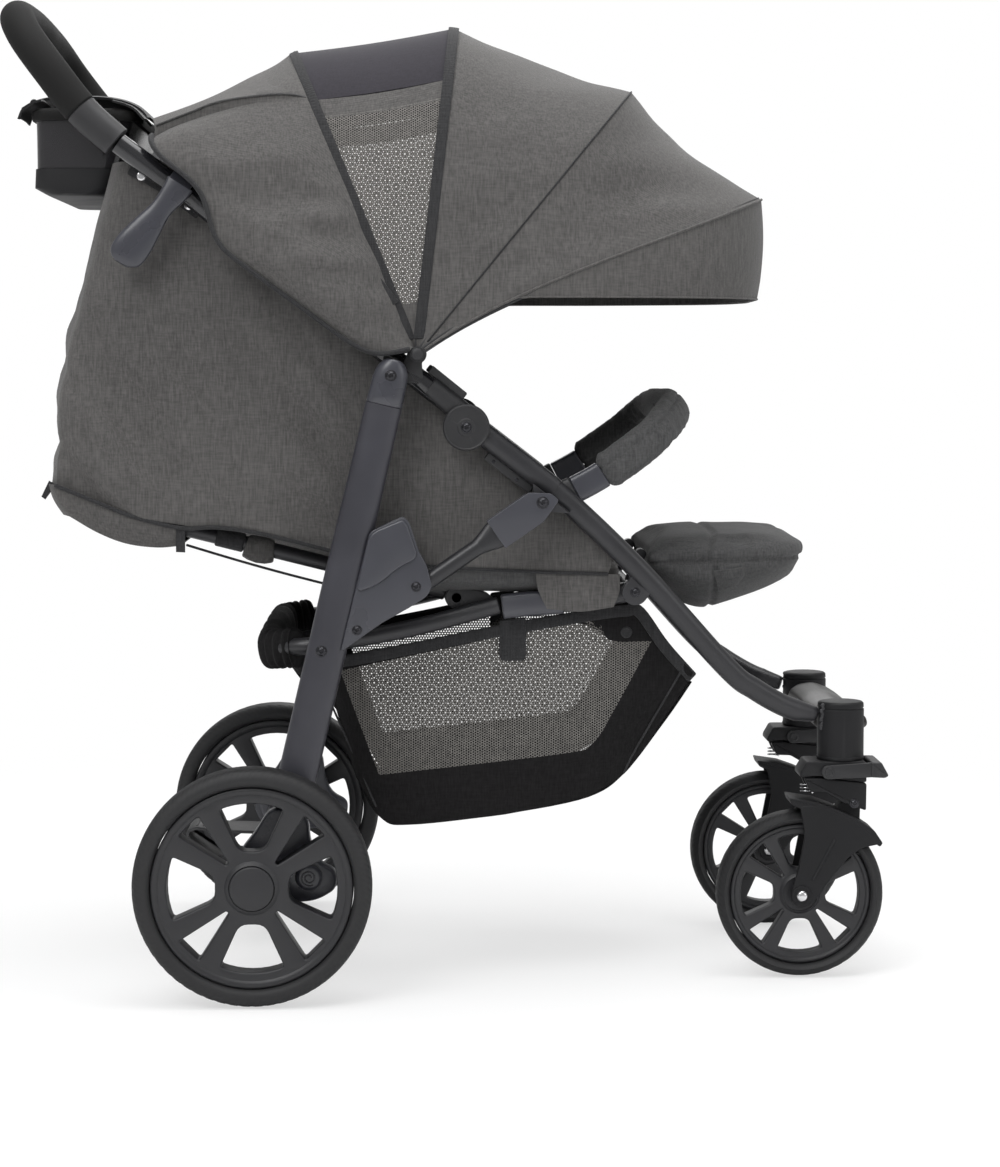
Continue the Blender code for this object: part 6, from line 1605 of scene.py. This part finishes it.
def bag():
    """The big rear bag: both sides and the back as one cloth, wrinkled at its lower corner."""
    back = resampled([(x, z, 0.0) for x, z in COVER_BACK], 6)
    coarse = []
    for i in range(6):
        t = i / 5.0
        row = []
        for (tx, tz), (bx, bz) in zip(COVER_TOP, COVER_LOW):
            row.append(
                at(tx + (bx - tx) * t, tz + (bz - tz) * t, -COVER_Y - 0.0012 * math.sin(math.pi * t)))
        x, z = back[i].x, back[i].y
        row.append(at(x + 0.008, z, -COVER_Y + 0.006))
        row.append(at(x - 0.006, z, -COVER_Y + 0.03))
        row.append(at(x - 0.012, z, -COVER_Y + 0.075))
        row.append(at(x - 0.013, z, 0.0))
        coarse.append(both_sides(row))
    grid = dense(coarse, 65, 189)

    def mask(p):
        x, z = p.x + AXLE_TO_MIDDLE, p.z
        corner = math.exp(-(((x + 0.15) / 0.09) ** 2 + ((z - 0.57) / 0.095) ** 2))
        front = math.exp(-(((x - 0.075) / 0.04) ** 2 + ((z - 0.54) / 0.11) ** 2)) * (abs(p.y) > 0.19)
        calm = min(1.0, max(0.0, (0.84 - z) / 0.1))
        return (0.3 + 1.15 * corner + 1.0 * front) * calm
    normals = normals_of(grid, BAG_MIDDLE)
    for row, ns in zip(grid, normals):
        for p, n in zip(row, ns):
            lean = Vector((p.x * 0.8 + p.z * 0.6, p.y, p.z * 0.8 - p.x * 0.6))
            ridge = noise.noise(Vector((lean.x * 27.0, p.y * 9.0, lean.z * 6.0)))
            small = noise.noise(Vector((lean.x * 62.0, p.y * 20.0, lean.z * 17.0 + 5.0)))
            p += n * (mask(p) * (0.0105 * ridge + 0.0034 * small) - 0.001)
    obj = piece("rear_bag", sheet(bmesh.new(), grid, 0.0018, BAG_MIDDLE), "charcoal_cloth", "handle_frame",
                "side_cover", CLOTH_SHARP)
    cloth_of(grid)
    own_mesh(obj)
    ends = []
    for line, turn in ((PIPING, 0.0), (POUCH_LOW, 0.01)):
        right = resampled([at(x, z, -COVER_Y + turn) for x, z in line], 37)
        x, z = line[-1]
        right += [at(x - 0.0075, z + 0.001, -COVER_Y + turn + 0.012),
                  at(x - 0.011, z + 0.001, -COVER_Y + turn + 0.05), at(x - 0.012, z + 0.001, 0.0)]
        ends.append(both_sides(right))
    grid = []
    for i in range(9):
        t = i / 8.0
        row = [p.lerp(q, t) for p, q in zip(*ends)]
        grid.append([
            p + Vector((p.x + 0.12, p.y, 0.0)).normalized() * 0.003 * math.sin(math.pi * t) for p in row])
    pouch = bmesh.new()
    sheet(pouch, creased(grid, POUCH_MIDDLE, 0.002, (20.0, 12.0, 20.0), 3.0), 0.0016, POUCH_MIDDLE)
    right = ends[1][:40]
    floor = [[p.lerp(Vector((p.x, -p.y, p.z)), k / 24.0) for k in range(25)] for p in right[:-1]]
    sheet(pouch, floor, 0.0014, at(-0.12, 0.6))
    low_bag = piece("rear_bag_pouch", pouch, "charcoal_cloth", "handle_frame", smooth=CLOTH_SHARP)
    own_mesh(low_bag)
    for tag, side in SIDES.items():
        line = [at(x, z, side * (COVER_Y + TRIM_LIFT)) for x, z in (
            (-0.204, 0.5245), (-0.1728, 0.5118), (-0.1331, 0.4953), (-0.1026, 0.486), (-0.0709, 0.4798),
            (-0.0402, 0.4808), (-0.0002, 0.4756), (0.05, 0.464), (0.102, 0.45))]
        bm = bmesh.new()
        cord_along(bm, resampled(line, 60), 0.0022, 12)
        hem = resampled([at(x, z, side * (COVER_Y + TRIM_LIFT)) for x,
                         z in ((-0.123, 0.848), (-0.09, 0.83), (-0.052, 0.802))], 12)
        sweep(bm, hem, 0.001, 0.0085, 12, 4.0)
        side_slab(
            bm, [Vector(p) for p in ((-0.0803, 0.48), (-0.0803, 0.4555), (-0.0709, 0.4551),
                                     (-0.0709, 0.48))], side, COVER_Y - 0.001, COVER_Y + TRIM_LIFT, 0.0005)
        side_slab(
            bm, [Vector(p) for p in ((-0.211, 0.5285), (-0.219, 0.512), (-0.215, 0.509), (-0.204, 0.524))],
            side, COVER_Y - 0.015, COVER_Y - 0.0128, 0.0005)
        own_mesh(piece("rear_bag_piping_" + tag, bm, "webbing", "handle_frame"))
        snaps = bmesh.new()
        for x, z in ((-0.112, 0.8385), (-0.064, 0.809)):
            lathe(snaps, [(0.0, 0.0), (0.0052, 0.0), (0.0046, 0.0012), (0.003, 0.0017), (0.0, 0.0018)],
                  at(x, z, side * (COVER_Y + 0.002)), Y_AXIS * side, 28, 0.0003)
        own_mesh(piece("rear_bag_snaps_" + tag, snaps, "steel", "handle_frame"))


def side_panels():
    """The seat's side cloth, from the bag forward to the front tube."""
    top = ((0.37, 0.448), (0.33, 0.486), (0.295, 0.518), (0.254, 0.556), (0.213, 0.598), (0.17, 0.632),
           (0.138, 0.656))
    low = ((0.364, 0.432), (0.33, 0.433), (0.295, 0.434), (0.254, 0.436), (0.213, 0.438), (0.15, 0.443),
           (0.09, 0.452))
    for tag, side in SIDES.items():
        coarse = []
        for i in range(5):
            t = i / 4.0
            coarse.append([at(tx + (bx - tx) * t, tz + (bz - tz) * t,
                              side * (COVER_Y - 0.0015 + 0.001 * math.sin(math.pi * t))) for (tx, tz),
                           (bx, bz) in zip(top, low)])
        grid = creased(dense(coarse, 29, 61), SEAT_MIDDLE, 0.0022, (14.0, 5.0, 9.0), 8.0)
        obj = piece("side_panel_" + tag, sheet(bmesh.new(), grid, 0.0018, SEAT_MIDDLE), "charcoal_cloth",
                    None, smooth=CLOTH_SHARP)
        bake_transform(obj)
        cloth_of(grid)
        obj = piece(
            "side_panel_piping_" + tag, cord_along(bmesh.new(),
                                                   [p + Y_AXIS * side * TRIM_LIFT for p in grid[-1]],
                                                   0.0018, 10), "webbing", None)
        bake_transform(obj)
        bm = bmesh.new()
        skirt = sided((
            ((0.13, 0.444, 0.201), (0.2, 0.438, 0.201), (0.28, 0.434, 0.201), (0.362, 0.432, 0.201)),
            ((0.135, 0.428, 0.196), (0.2, 0.423, 0.197), (0.28, 0.42, 0.197), (0.36, 0.423, 0.196)),
            ((0.145, 0.414, 0.178), (0.2, 0.413, 0.178), (0.28, 0.413, 0.178), (0.358, 0.416, 0.178))),
            side)
        sheet(bm, creased(dense(skirt, 13, 49), at(0.25, 0.45), 0.003, (22.0, 5.0, 30.0), 5.0), 0.0016,
              at(0.25, 0.45))
        piece("seat_skirt_" + tag, bm, "pad_cloth", "seat_frame", smooth=CLOTH_SHARP)
        bm = bmesh.new()
        flap = sided((
            ((0.289, 0.433, 0.2026), (0.335, 0.4325, 0.203), (0.376, 0.4315, 0.2026)),
            ((0.292, 0.415, 0.204), (0.335, 0.414, 0.2044), (0.376, 0.415, 0.2036)),
            ((0.301, 0.396, 0.2034), (0.335, 0.393, 0.2038), (0.37, 0.3975, 0.203))), side)
        sheet(bm, creased(dense(flap, 17, 29), at(0.33, 0.41), 0.0022, (40.0, 5.0, 14.0), 7.0), 0.0014,
              at(0.33, 0.41))
        piece("seat_flap_" + tag, bm, "charcoal_cloth", "seat_frame", smooth=CLOTH_SHARP)


BASKET_RIM = ((0.0209, 0.342), (0.08, 0.345), (0.16, 0.359), (0.25, 0.377), (0.345, 0.393),
              (0.385, 0.3975), (0.399, 0.396), (0.425, 0.36), (0.456, 0.325))
BASKET_FLOOR = (
    (0.0209, 0.348), (0.048, 0.316), (0.08, 0.3), (0.106, 0.21), (0.13, 0.172), (0.16, 0.166),
    (0.25, 0.176), (0.345, 0.193), (0.385, 0.218), (0.425, 0.27), (0.456, 0.314))
BASKET_HALF = ((0.0209, 0.125), (0.048, 0.174), (0.08, 0.18), (0.106, 0.1825), (0.25, 0.1825),
               (0.345, 0.18), (0.385, 0.176), (0.425, 0.17), (0.456, 0.164))


def looked_up(table, x):
    if x <= table[0][0]:
        return table[0][1]
    for (a, p), (b, q) in zip(table, table[1:]):
        if x <= b:
            return p + (q - p) * (x - a) / (b - a)
    return table[-1][1]


def basket_wall(x, z, side):
    """The place on a basket's side wall that shows at (x, z)."""
    rim, floor = looked_up(BASKET_RIM, x), looked_up(BASKET_FLOOR, x)
    share = min(1.0, max(0.0, (rim - z) / max(0.004, rim - floor)))
    return at(x, z, side * (looked_up(BASKET_HALF, x) - 0.016 * share ** 2.2))


BASKET_ROWS = (
    (((0.0209, 0.342), (0.0868, 0.346)), ((0.0868, 0.346), (0.16, 0.359), (0.25, 0.377), (0.345, 0.393),
                                          (0.399, 0.396)), ((0.399, 0.396), (0.425, 0.36), (0.456, 0.325))),
    (((0.03, 0.333), (0.0868, 0.33)), ((0.0868, 0.33), (0.2, 0.354), (0.34, 0.382), (0.3678, 0.361),
                                       (0.412, 0.359)), ((0.412, 0.359), (0.43, 0.342), (0.4545, 0.321))),
    (((0.08, 0.298), (0.127, 0.2201)), ((0.127, 0.2201), (0.23, 0.231), (0.33, 0.243), (0.348, 0.25),
                                        (0.36, 0.264)), ((0.36, 0.264), (0.4, 0.276), (0.43, 0.284))),
    (((0.104, 0.216), (0.1268, 0.176)), ((0.1268, 0.176), (0.15, 0.167), (0.23, 0.173), (0.29, 0.183),
                                         (0.3494, 0.196)), ((0.3494, 0.196), (0.3839, 0.218),
                                                            (0.408, 0.248))))


def basket():
    """The shopping basket: net sides with black borders, a cloth floor, hems and seams."""
    counts = (13, 49, 17)
    levels = (7, 25, 11)
    for tag, side in SIDES.items():
        rows = []
        for row in BASKET_ROWS:
            spots = []
            for part, count in zip(row, counts):
                fine = resampled([(x, z, 0.0) for x, z in part], count)
                spots += fine if not spots else fine[1:]
            rows.append(spots)
        grid, bands = [], []
        for k, count in enumerate(levels):
            for i in range(count if k == len(levels) - 1 else count - 1):
                t = i / (count - 1)
                grid.append([basket_wall(*(p.lerp(q, t)).xy, side) for p, q in zip(rows[k], rows[k + 1])])
                bands.append(k)
        bulge = creased(grid, BASKET_MIDDLE, 0.0045, (10.0, 4.0, 16.0), 11.0)
        first, last = counts[0] - 1, counts[0] + counts[1] - 2

        def chooser(i, j):
            return 1 if bands[i] == 1 and first <= j < last else 0
        obj = piece(
            "basket_side_" + tag, sheet(bmesh.new(), bulge, 0.001, BASKET_MIDDLE, chooser), "black_cloth",
            None, "basket", CLOTH_SHARP, ("basket_mesh" if side < 0 else "basket_mesh_far",))
        cloth_of(bulge)
        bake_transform(obj)
        trims = bmesh.new()
        hem = [basket_wall(x, z - 0.006, side) + Y_AXIS * side * TRIM_LIFT for x, z in BASKET_RIM]
        sweep(trims, resampled(hem, 50), 0.0013, 0.0062, 12, 4.0)
        for line in (((0.0773, 0.2926), (0.1, 0.242), (0.1237, 0.1854)),
                     ((0.443, 0.326), (0.3963, 0.2443), (0.3839, 0.219))):
            cord_along(trims, resampled([basket_wall(x, z, side) + Y_AXIS * side * TRIM_LIFT for x,
                                         z in line], 16), 0.0012)
        tab = eased([(0.2521, 0.382), (0.2521, 0.344), (0.256, 0.34), (0.277, 0.34), (0.2802, 0.344),
                     (0.2802, 0.386)], 0.003)
        side_slab(trims, tab, side, 0.1826, 0.1848, 0.0006)
        lathe(trims, [(0.0, 0.0), (0.0062, 0.0), (0.0058, 0.0016), (0.004, 0.0022), (0.0036, 0.0014),
                      (0.0, 0.0014)], basket_wall(0.385, 0.369, side), Y_AXIS * side, 32, 0.0004)
        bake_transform(piece("basket_trim_" + tag, trims, "webbing", None))
    roll = resampled([at(0.043, 0.3545, -0.184), at(0.02, 0.352, -0.169), at(0.014, 0.351, -0.13),
                      at(0.014, 0.351, 0.13), at(0.02, 0.352, 0.169), at(0.043, 0.3545, 0.184)], 121)
    sizes = [0.0015 * math.sin(0.9 * k) for k in range(121)]
    piece("basket_roll", sweep(bmesh.new(), roll, [0.013 + s for s in sizes], [0.0195 + s for s in sizes],
                               28, 2.4, tip=0.003), "black_cloth", "seat_link", smooth=CLOTH_SHARP)
    edge = resampled([(x, z, 0.0) for x, z in BASKET_FLOOR], 65)
    grid = []
    for p in edge:
        right = basket_wall(p.x, p.y, -1)
        row = []
        for k in range(25):
            u = -1.0 + 2.0 * k / 24.0
            row.append(Vector((right.x, right.y * u, right.z - 0.003 * (1.0 - u * u))))
        grid.append(row)
    grid = creased(grid, OVER_FLOOR, 0.003, (12.0, 9.0, 6.0), 13.0)
    obj = piece("basket_floor", sheet(bmesh.new(), grid, 0.0012, OVER_FLOOR), "black_cloth", None,
                smooth=CLOTH_SHARP)
    cloth_of(grid)
    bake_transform(obj)


# Castors
def castor(tag, side):
    """The upper fork with its split line, sprung lower fork, lock lever and coil."""
    y = side * FRONT_TRACK / 2.0
    top = CASTOR_HOUSING_BOTTOM - CLEARANCE
    upper = eased([
        (0.576, top), (0.6385, top), (0.6393, 0.209), (0.5895, 0.2146), (0.569, 0.2146), (0.569, 0.219)],
        0.0025, 3)
    lower = eased([(0.5735, 0.2136), (0.59, 0.2138), (0.6393, 0.2082), (0.639, 0.179), (0.614, 0.188),
                   (0.596, 0.1985), (0.58, 0.199)], 0.0025, 3)
    bm = bmesh.new()
    slab(bm, upper, y - 0.0235, y + 0.0235, 0.0016)
    for k in (-1, 1):
        slab(bm, lower, *sorted((y + k * 0.0125, y + k * 0.0235)), 0.0016)
    slab(bm, eased([(0.63, 0.208), (0.6388, 0.208), (0.6388, 0.185), (0.634, 0.185)], 0.002), y - 0.013,
         y + 0.013, 0.0008)
    piece("castor_yoke_" + tag, bm, "dull_shaded_plastic", "castor_" + tag, "castor_fork_" + tag)
    pins = bmesh.new()
    for k in (-1, 1):
        bolt(pins, at(*SUSPENSION_PIVOT, y + k * 0.0235), k, 0.004, 0.0026)
    piece("castor_pins_" + tag, pins, "bolt", "castor_" + tag)
    coil = bmesh.new()
    spots = [at(0.579 + 0.0062 * math.cos(a), 0.1952 + 0.0106 * a / (6.0 * math.pi),
                y + 0.0062 * math.sin(a)) for a in (2.0 * math.pi * n / 24 for n in range(73))]
    sweep(coil, spots, 0.0009, 0.0009, 10, side=Z_AXIS, tip=0.0)
    piece("castor_coil_" + tag, coil, "steel", "castor_" + tag, "fork_spring_" + tag)
    lever = bmesh.new()
    tab = eased([
        (0.643, 0.215), (0.658, 0.2142), (0.662, 0.2165), (0.654, 0.231), (0.643, 0.2312)], 0.0022, 4)
    slab(lever, tab, y - 0.029, y + 0.029, 0.002)
    arm = eased(arc(LOCK_PIVOT, 0.0075, 110.0, 270.0, 10) + [(0.646, 0.215), (0.646, 0.2308)], 0.001)
    for k in (-1, 1):
        slab(lever, arm, *sorted((y + k * 0.024, y + k * 0.0276)), 0.001)
        lathe(lever, [(0.0, 0.0), (0.0052, 0.0), (0.0048, 0.001), (0.003, 0.0012), (0.0026, 0.0006),
                      (0.0, 0.0006)], at(LOCK_PIVOT[0] + 0.001, LOCK_PIVOT[1], y + k * 0.0274), Y_AXIS * k,
              32, 0.0003)
    piece("lock_yoke_" + tag, lever, "plastic", "lock_lever_" + tag, "lock_lever_" + tag)
    wheel_fork(tag, y)


def wheel_fork(tag, y):
    """The mudguard and arms that carry the front wheel, with their ridge and axle bolt."""
    guard_top = [(0.5576, 0.193), (0.57, 0.1912), (0.585, 0.189), (0.6036, 0.1825), (0.6267, 0.1722),
                 (0.648, 0.1578), (0.657, 0.1445)]
    guard_low = [(0.654, 0.1405), (0.642, 0.149), (0.623, 0.164), (0.6036, 0.174), (0.585, 0.18),
                 (0.57, 0.1812), (0.56, 0.186)]
    bm = bmesh.new()
    slab(bm, eased(guard_top + guard_low, 0.0016, 2), y - 0.0245, y + 0.0245, 0.0012)
    cheek = eased([
        (0.569, 0.185), (0.585, 0.185), (0.6036, 0.179), (0.6267, 0.169), (0.648, 0.1545), (0.656, 0.144),
        (0.634, 0.1395), (0.62, 0.129), (0.602, 0.106), (0.583, 0.08), (0.5715, 0.075), (0.561, 0.081),
        (0.5605, 0.092), (0.568, 0.119), (0.5745, 0.153), (0.5715, 0.17)], 0.005, 4)
    for k in (-1, 1):
        slab(bm, cheek, *sorted((y + k * 0.02, y + k * 0.025)), 0.0016)
        ridge = [at(x, z, y + k * 0.025) for x, z in ((0.606, 0.15), (0.596, 0.13), (0.583, 0.106))]
        sweep(bm, resampled(ridge, 12), 0.0012, 0.0016, 12)
        lathe(bm, [(0.0, 0.0), (0.011, 0.0), (0.0106, 0.0018), (0.0086, 0.0024), (0.0, 0.0024)],
              at(*FRONT_AXLE, y + k * 0.0246), Y_AXIS * k, 40, 0.0006)
    slab(bm, eased(arc(SUSPENSION_PIVOT, 0.0085, -20.0, 150.0, 12) + [(0.608, 0.179), (0.634, 0.166)],
                   0.001), y - 0.0115, y + 0.0115, 0.0008)
    rod(bm, at(*FRONT_AXLE, y - 0.025), at(*FRONT_AXLE, y + 0.025), 0.006, 28)
    piece("wheel_guard_" + tag, bm, "dull_shaded_plastic", "wheel_fork_" + tag, "wheel_fork_" + tag)
    nut = bmesh.new()
    for k in (-1, 1):
        lathe(nut, [(0.0, 0.0), (0.0062, 0.0), (0.006, 0.0012), (0.0046, 0.003), (0.0022, 0.004),
                    (0.0, 0.0042)], at(*FRONT_AXLE, y + k * 0.0266), Y_AXIS * k, 36, 0.0006)
    piece("axle_dome_" + tag, nut, "steel", "wheel_fork_" + tag)


# Harness
def harness():
    """The harness: its buckle, its waist straps, and its shoulder straps with their pads."""
    slope = (0.4207 - 0.413) / (0.3885 - 0.225)

    def level(x, lift):
        return 0.413 + slope * (x - 0.225) + lift
    lift = 0.0453
    buckle = bmesh.new()
    outline = eased([
        (0.292, level(0.292, lift)), (0.34, level(0.34, lift)), (0.343, level(0.34, lift + 0.005)),
        (0.337, level(0.34, lift + 0.01)), (0.295, level(0.292, lift + 0.01)),
        (0.289, level(0.292, lift + 0.005))], 0.003, 4)
    slab(buckle, outline, -0.021, 0.021, 0.002)
    piece("buckle", buckle, "plastic", "seat_frame", "harness_buckle")
    button = bmesh.new()
    lathe(button, [(0.0, 0.0), (0.0095, 0.0), (0.009, 0.0012), (0.0, 0.0018)],
          at(0.317, level(0.317, lift + 0.0098)), Z_AXIS, 36, 0.0006)
    piece("buckle_button", button, "gloss", "seat_frame")
    straps = bmesh.new()
    for side in SIDES.values():
        waist = resampled([
            at(0.316, level(0.316, lift + 0.004), side * 0.02),
            at(0.305, level(0.305, lift + 0.003), side * 0.06),
            at(0.285, level(0.285, lift + 0.0005), side * 0.105),
            at(0.26, level(0.26, lift - 0.012), side * 0.148)], 24)
        sweep(straps, waist, 0.012, 0.001, 12, 6.0, side=X_AXIS)
    piece("waist_straps", straps, "webbing", "seat_frame")
    shoulders = bmesh.new()
    pads = bmesh.new()
    for side in SIDES.values():
        spots = [back_point(d, 0.04 + 0.001 * math.sin(d * 40.0), side * y) for d, y in
                 ((0.075, 0.032), (0.14, 0.04), (0.22, 0.048), (0.3, 0.052))]
        sweep(shoulders, resampled(spots, 30), 0.012, 0.001, 12, 6.0)
        padding = resampled([
            back_point(d, 0.042, side * y) for d, y in ((0.13, 0.039), (0.19, 0.045), (0.25, 0.05))], 24)
        sweep(pads, padding, 0.021, 0.0045, 24, 3.0, tip=0.003)
    piece("shoulder_straps", shoulders, "webbing", "backrest")
    cover = piece("shoulder_pads", pads, "pad_cloth", "backrest", smooth=CLOTH_SHARP)


# Studio
def studio():
    """A pale floor that fades to white behind the stroller, and soft light from above and the left."""
    floor_bm = bmesh.new()
    bmesh.ops.create_grid(floor_bm, x_segments=1, y_segments=1, size=14.0)
    mesh = bpy.data.meshes.new("studio_floor")
    floor_bm.to_mesh(mesh)
    floor_bm.free()
    floor = bpy.data.objects.new("studio_floor", mesh)
    floor.location.z = -0.0006
    bpy.context.scene.collection.objects.link(floor)
    mat, tree, shader = new_tree("floor_paint")
    shade = add_node(tree, "ShaderNodeTexNoise", [("Vector", mapped(tree))], Scale=3.0)
    tree.links.new(
        ramp(tree, shade.outputs["Fac"], 0.3, 0.7, (0.88, 0.88, 0.885), (0.91, 0.91, 0.91)),
        shader.inputs["Base Color"])
    shader.inputs["Roughness"].default_value = 0.7
    away = add_node(tree, "ShaderNodeVectorMath", [(0, mapped(tree))], operation="LENGTH")
    fade = add_node(
        tree, "ShaderNodeMapRange", [("Value", away.outputs["Value"])], interpolation_type="SMOOTHSTEP")
    fade.inputs["From Min"].default_value = 0.55
    fade.inputs["From Max"].default_value = 1.7
    fade.inputs["To Min"].default_value = 0.6
    seen = maths(
        tree, "MULTIPLY", fade.outputs[0], add_node(tree, "ShaderNodeLightPath").outputs["Is Camera Ray"])
    white = add_node(tree, "ShaderNodeEmission")
    mix = add_node(tree, "ShaderNodeMixShader", [(0, seen), (1, shader.outputs[0]), (2, white.outputs[0])])
    tree.links.new(mix.outputs[0], tree.nodes["Material Output"].inputs["Surface"])
    mesh.materials.append(mat)
    world = bpy.data.worlds.new("studio")
    world.use_nodes = True
    tree = world.node_tree
    soft = tree.nodes["Background"]
    soft.inputs["Color"].default_value = (1.0, 1.0, 1.0, 1.0)
    soft.inputs["Strength"].default_value = 0.5
    wall = add_node(tree, "ShaderNodeBackground")
    wall.inputs["Color"].default_value = (1.0, 1.0, 1.0, 1.0)
    mix = add_node(
        tree, "ShaderNodeMixShader", [(0, add_node(tree, "ShaderNodeLightPath").outputs["Is Camera Ray"]),
                                      (1, soft.outputs[0]), (2, wall.outputs[0])])
    tree.links.new(mix.outputs[0], tree.nodes["World Output"].inputs["Surface"])
    bpy.context.scene.world = world
    lamps = (("key_light", (-1.3, -2.2, 2.6), 1.6, 50.0), ("top_light", (0.2, -0.2, 3.0), 2.4, 75.0),
             ("fill_light", (2.6, -1.6, 1.4), 1.6, 14.0), ("back_light", (0.2, 2.8, 2.2), 2.0, 25.0))
    for name, spot, size, power in lamps:
        light = bpy.data.lights.new(name, "AREA")
        light.size = size
        light.energy = power
        obj = bpy.data.objects.new(name, light)
        obj.location = spot
        obj.rotation_euler = (Vector((0.0, 0.0, 0.5)) - Vector(spot)).to_track_quat("-Z", "Y").to_euler()
        bpy.context.scene.collection.objects.link(obj)
    bpy.context.scene.view_settings.view_transform = "Standard"


CAMERA_SPOT = (-0.041, -3.2581, 0.655)
CAMERA_YAW = 0.0286
CAMERA_PITCH = 0.076
CAMERA_LENS = 91.69


def camera():
    data = bpy.data.cameras.new("photo_camera")
    data.lens = CAMERA_LENS
    data.sensor_width = 36.0
    data.sensor_fit = "AUTO"
    obj = bpy.data.objects.new("photo_camera", data)
    ahead = Vector((
        math.sin(CAMERA_YAW) * math.cos(CAMERA_PITCH), math.cos(CAMERA_YAW) * math.cos(CAMERA_PITCH),
        -math.sin(CAMERA_PITCH)))
    obj.matrix_world = Matrix.Translation(CAMERA_SPOT) @ ahead.to_track_quat("-Z", "Y").to_matrix().to_4x4()
    bpy.context.scene.collection.objects.link(obj)
    bpy.context.scene.camera = obj


def build():
    for tag, side in SIDES.items():
        for part in (front_leg, fold_disc, castor_top, handle_tube, paddle, rear_leg, gusset, axle_housing,
                     brace, castor):
            part(tag, side)
        wheel(tag, "rear", side, at(*REAR_AXLE, side * REAR_TRACK / 2.0), REAR_WHEEL_R, REAR_TYRE_WIDTH,
              REAR_TYRE_DEPTH, REAR_CAP_R, REAR_BLOCKS)
        wheel(tag, "front", side, at(*FRONT_AXLE, side * FRONT_TRACK / 2.0), FRONT_WHEEL_R,
              FRONT_TYRE_WIDTH, FRONT_TYRE_DEPTH, FRONT_CAP_R, FRONT_BLOCKS)
    for part in (footplate, handle_grip, parent_tray, tray_lid, rear_axle, brake_pedal, seat_frames,
                 backrest_tubes, seat_pad, backrest_pad, calf_rest, bumper, canopy, canopy_rear, visor, bag,
                 side_panels, basket, harness):
        part()


camera()
studio()
build()
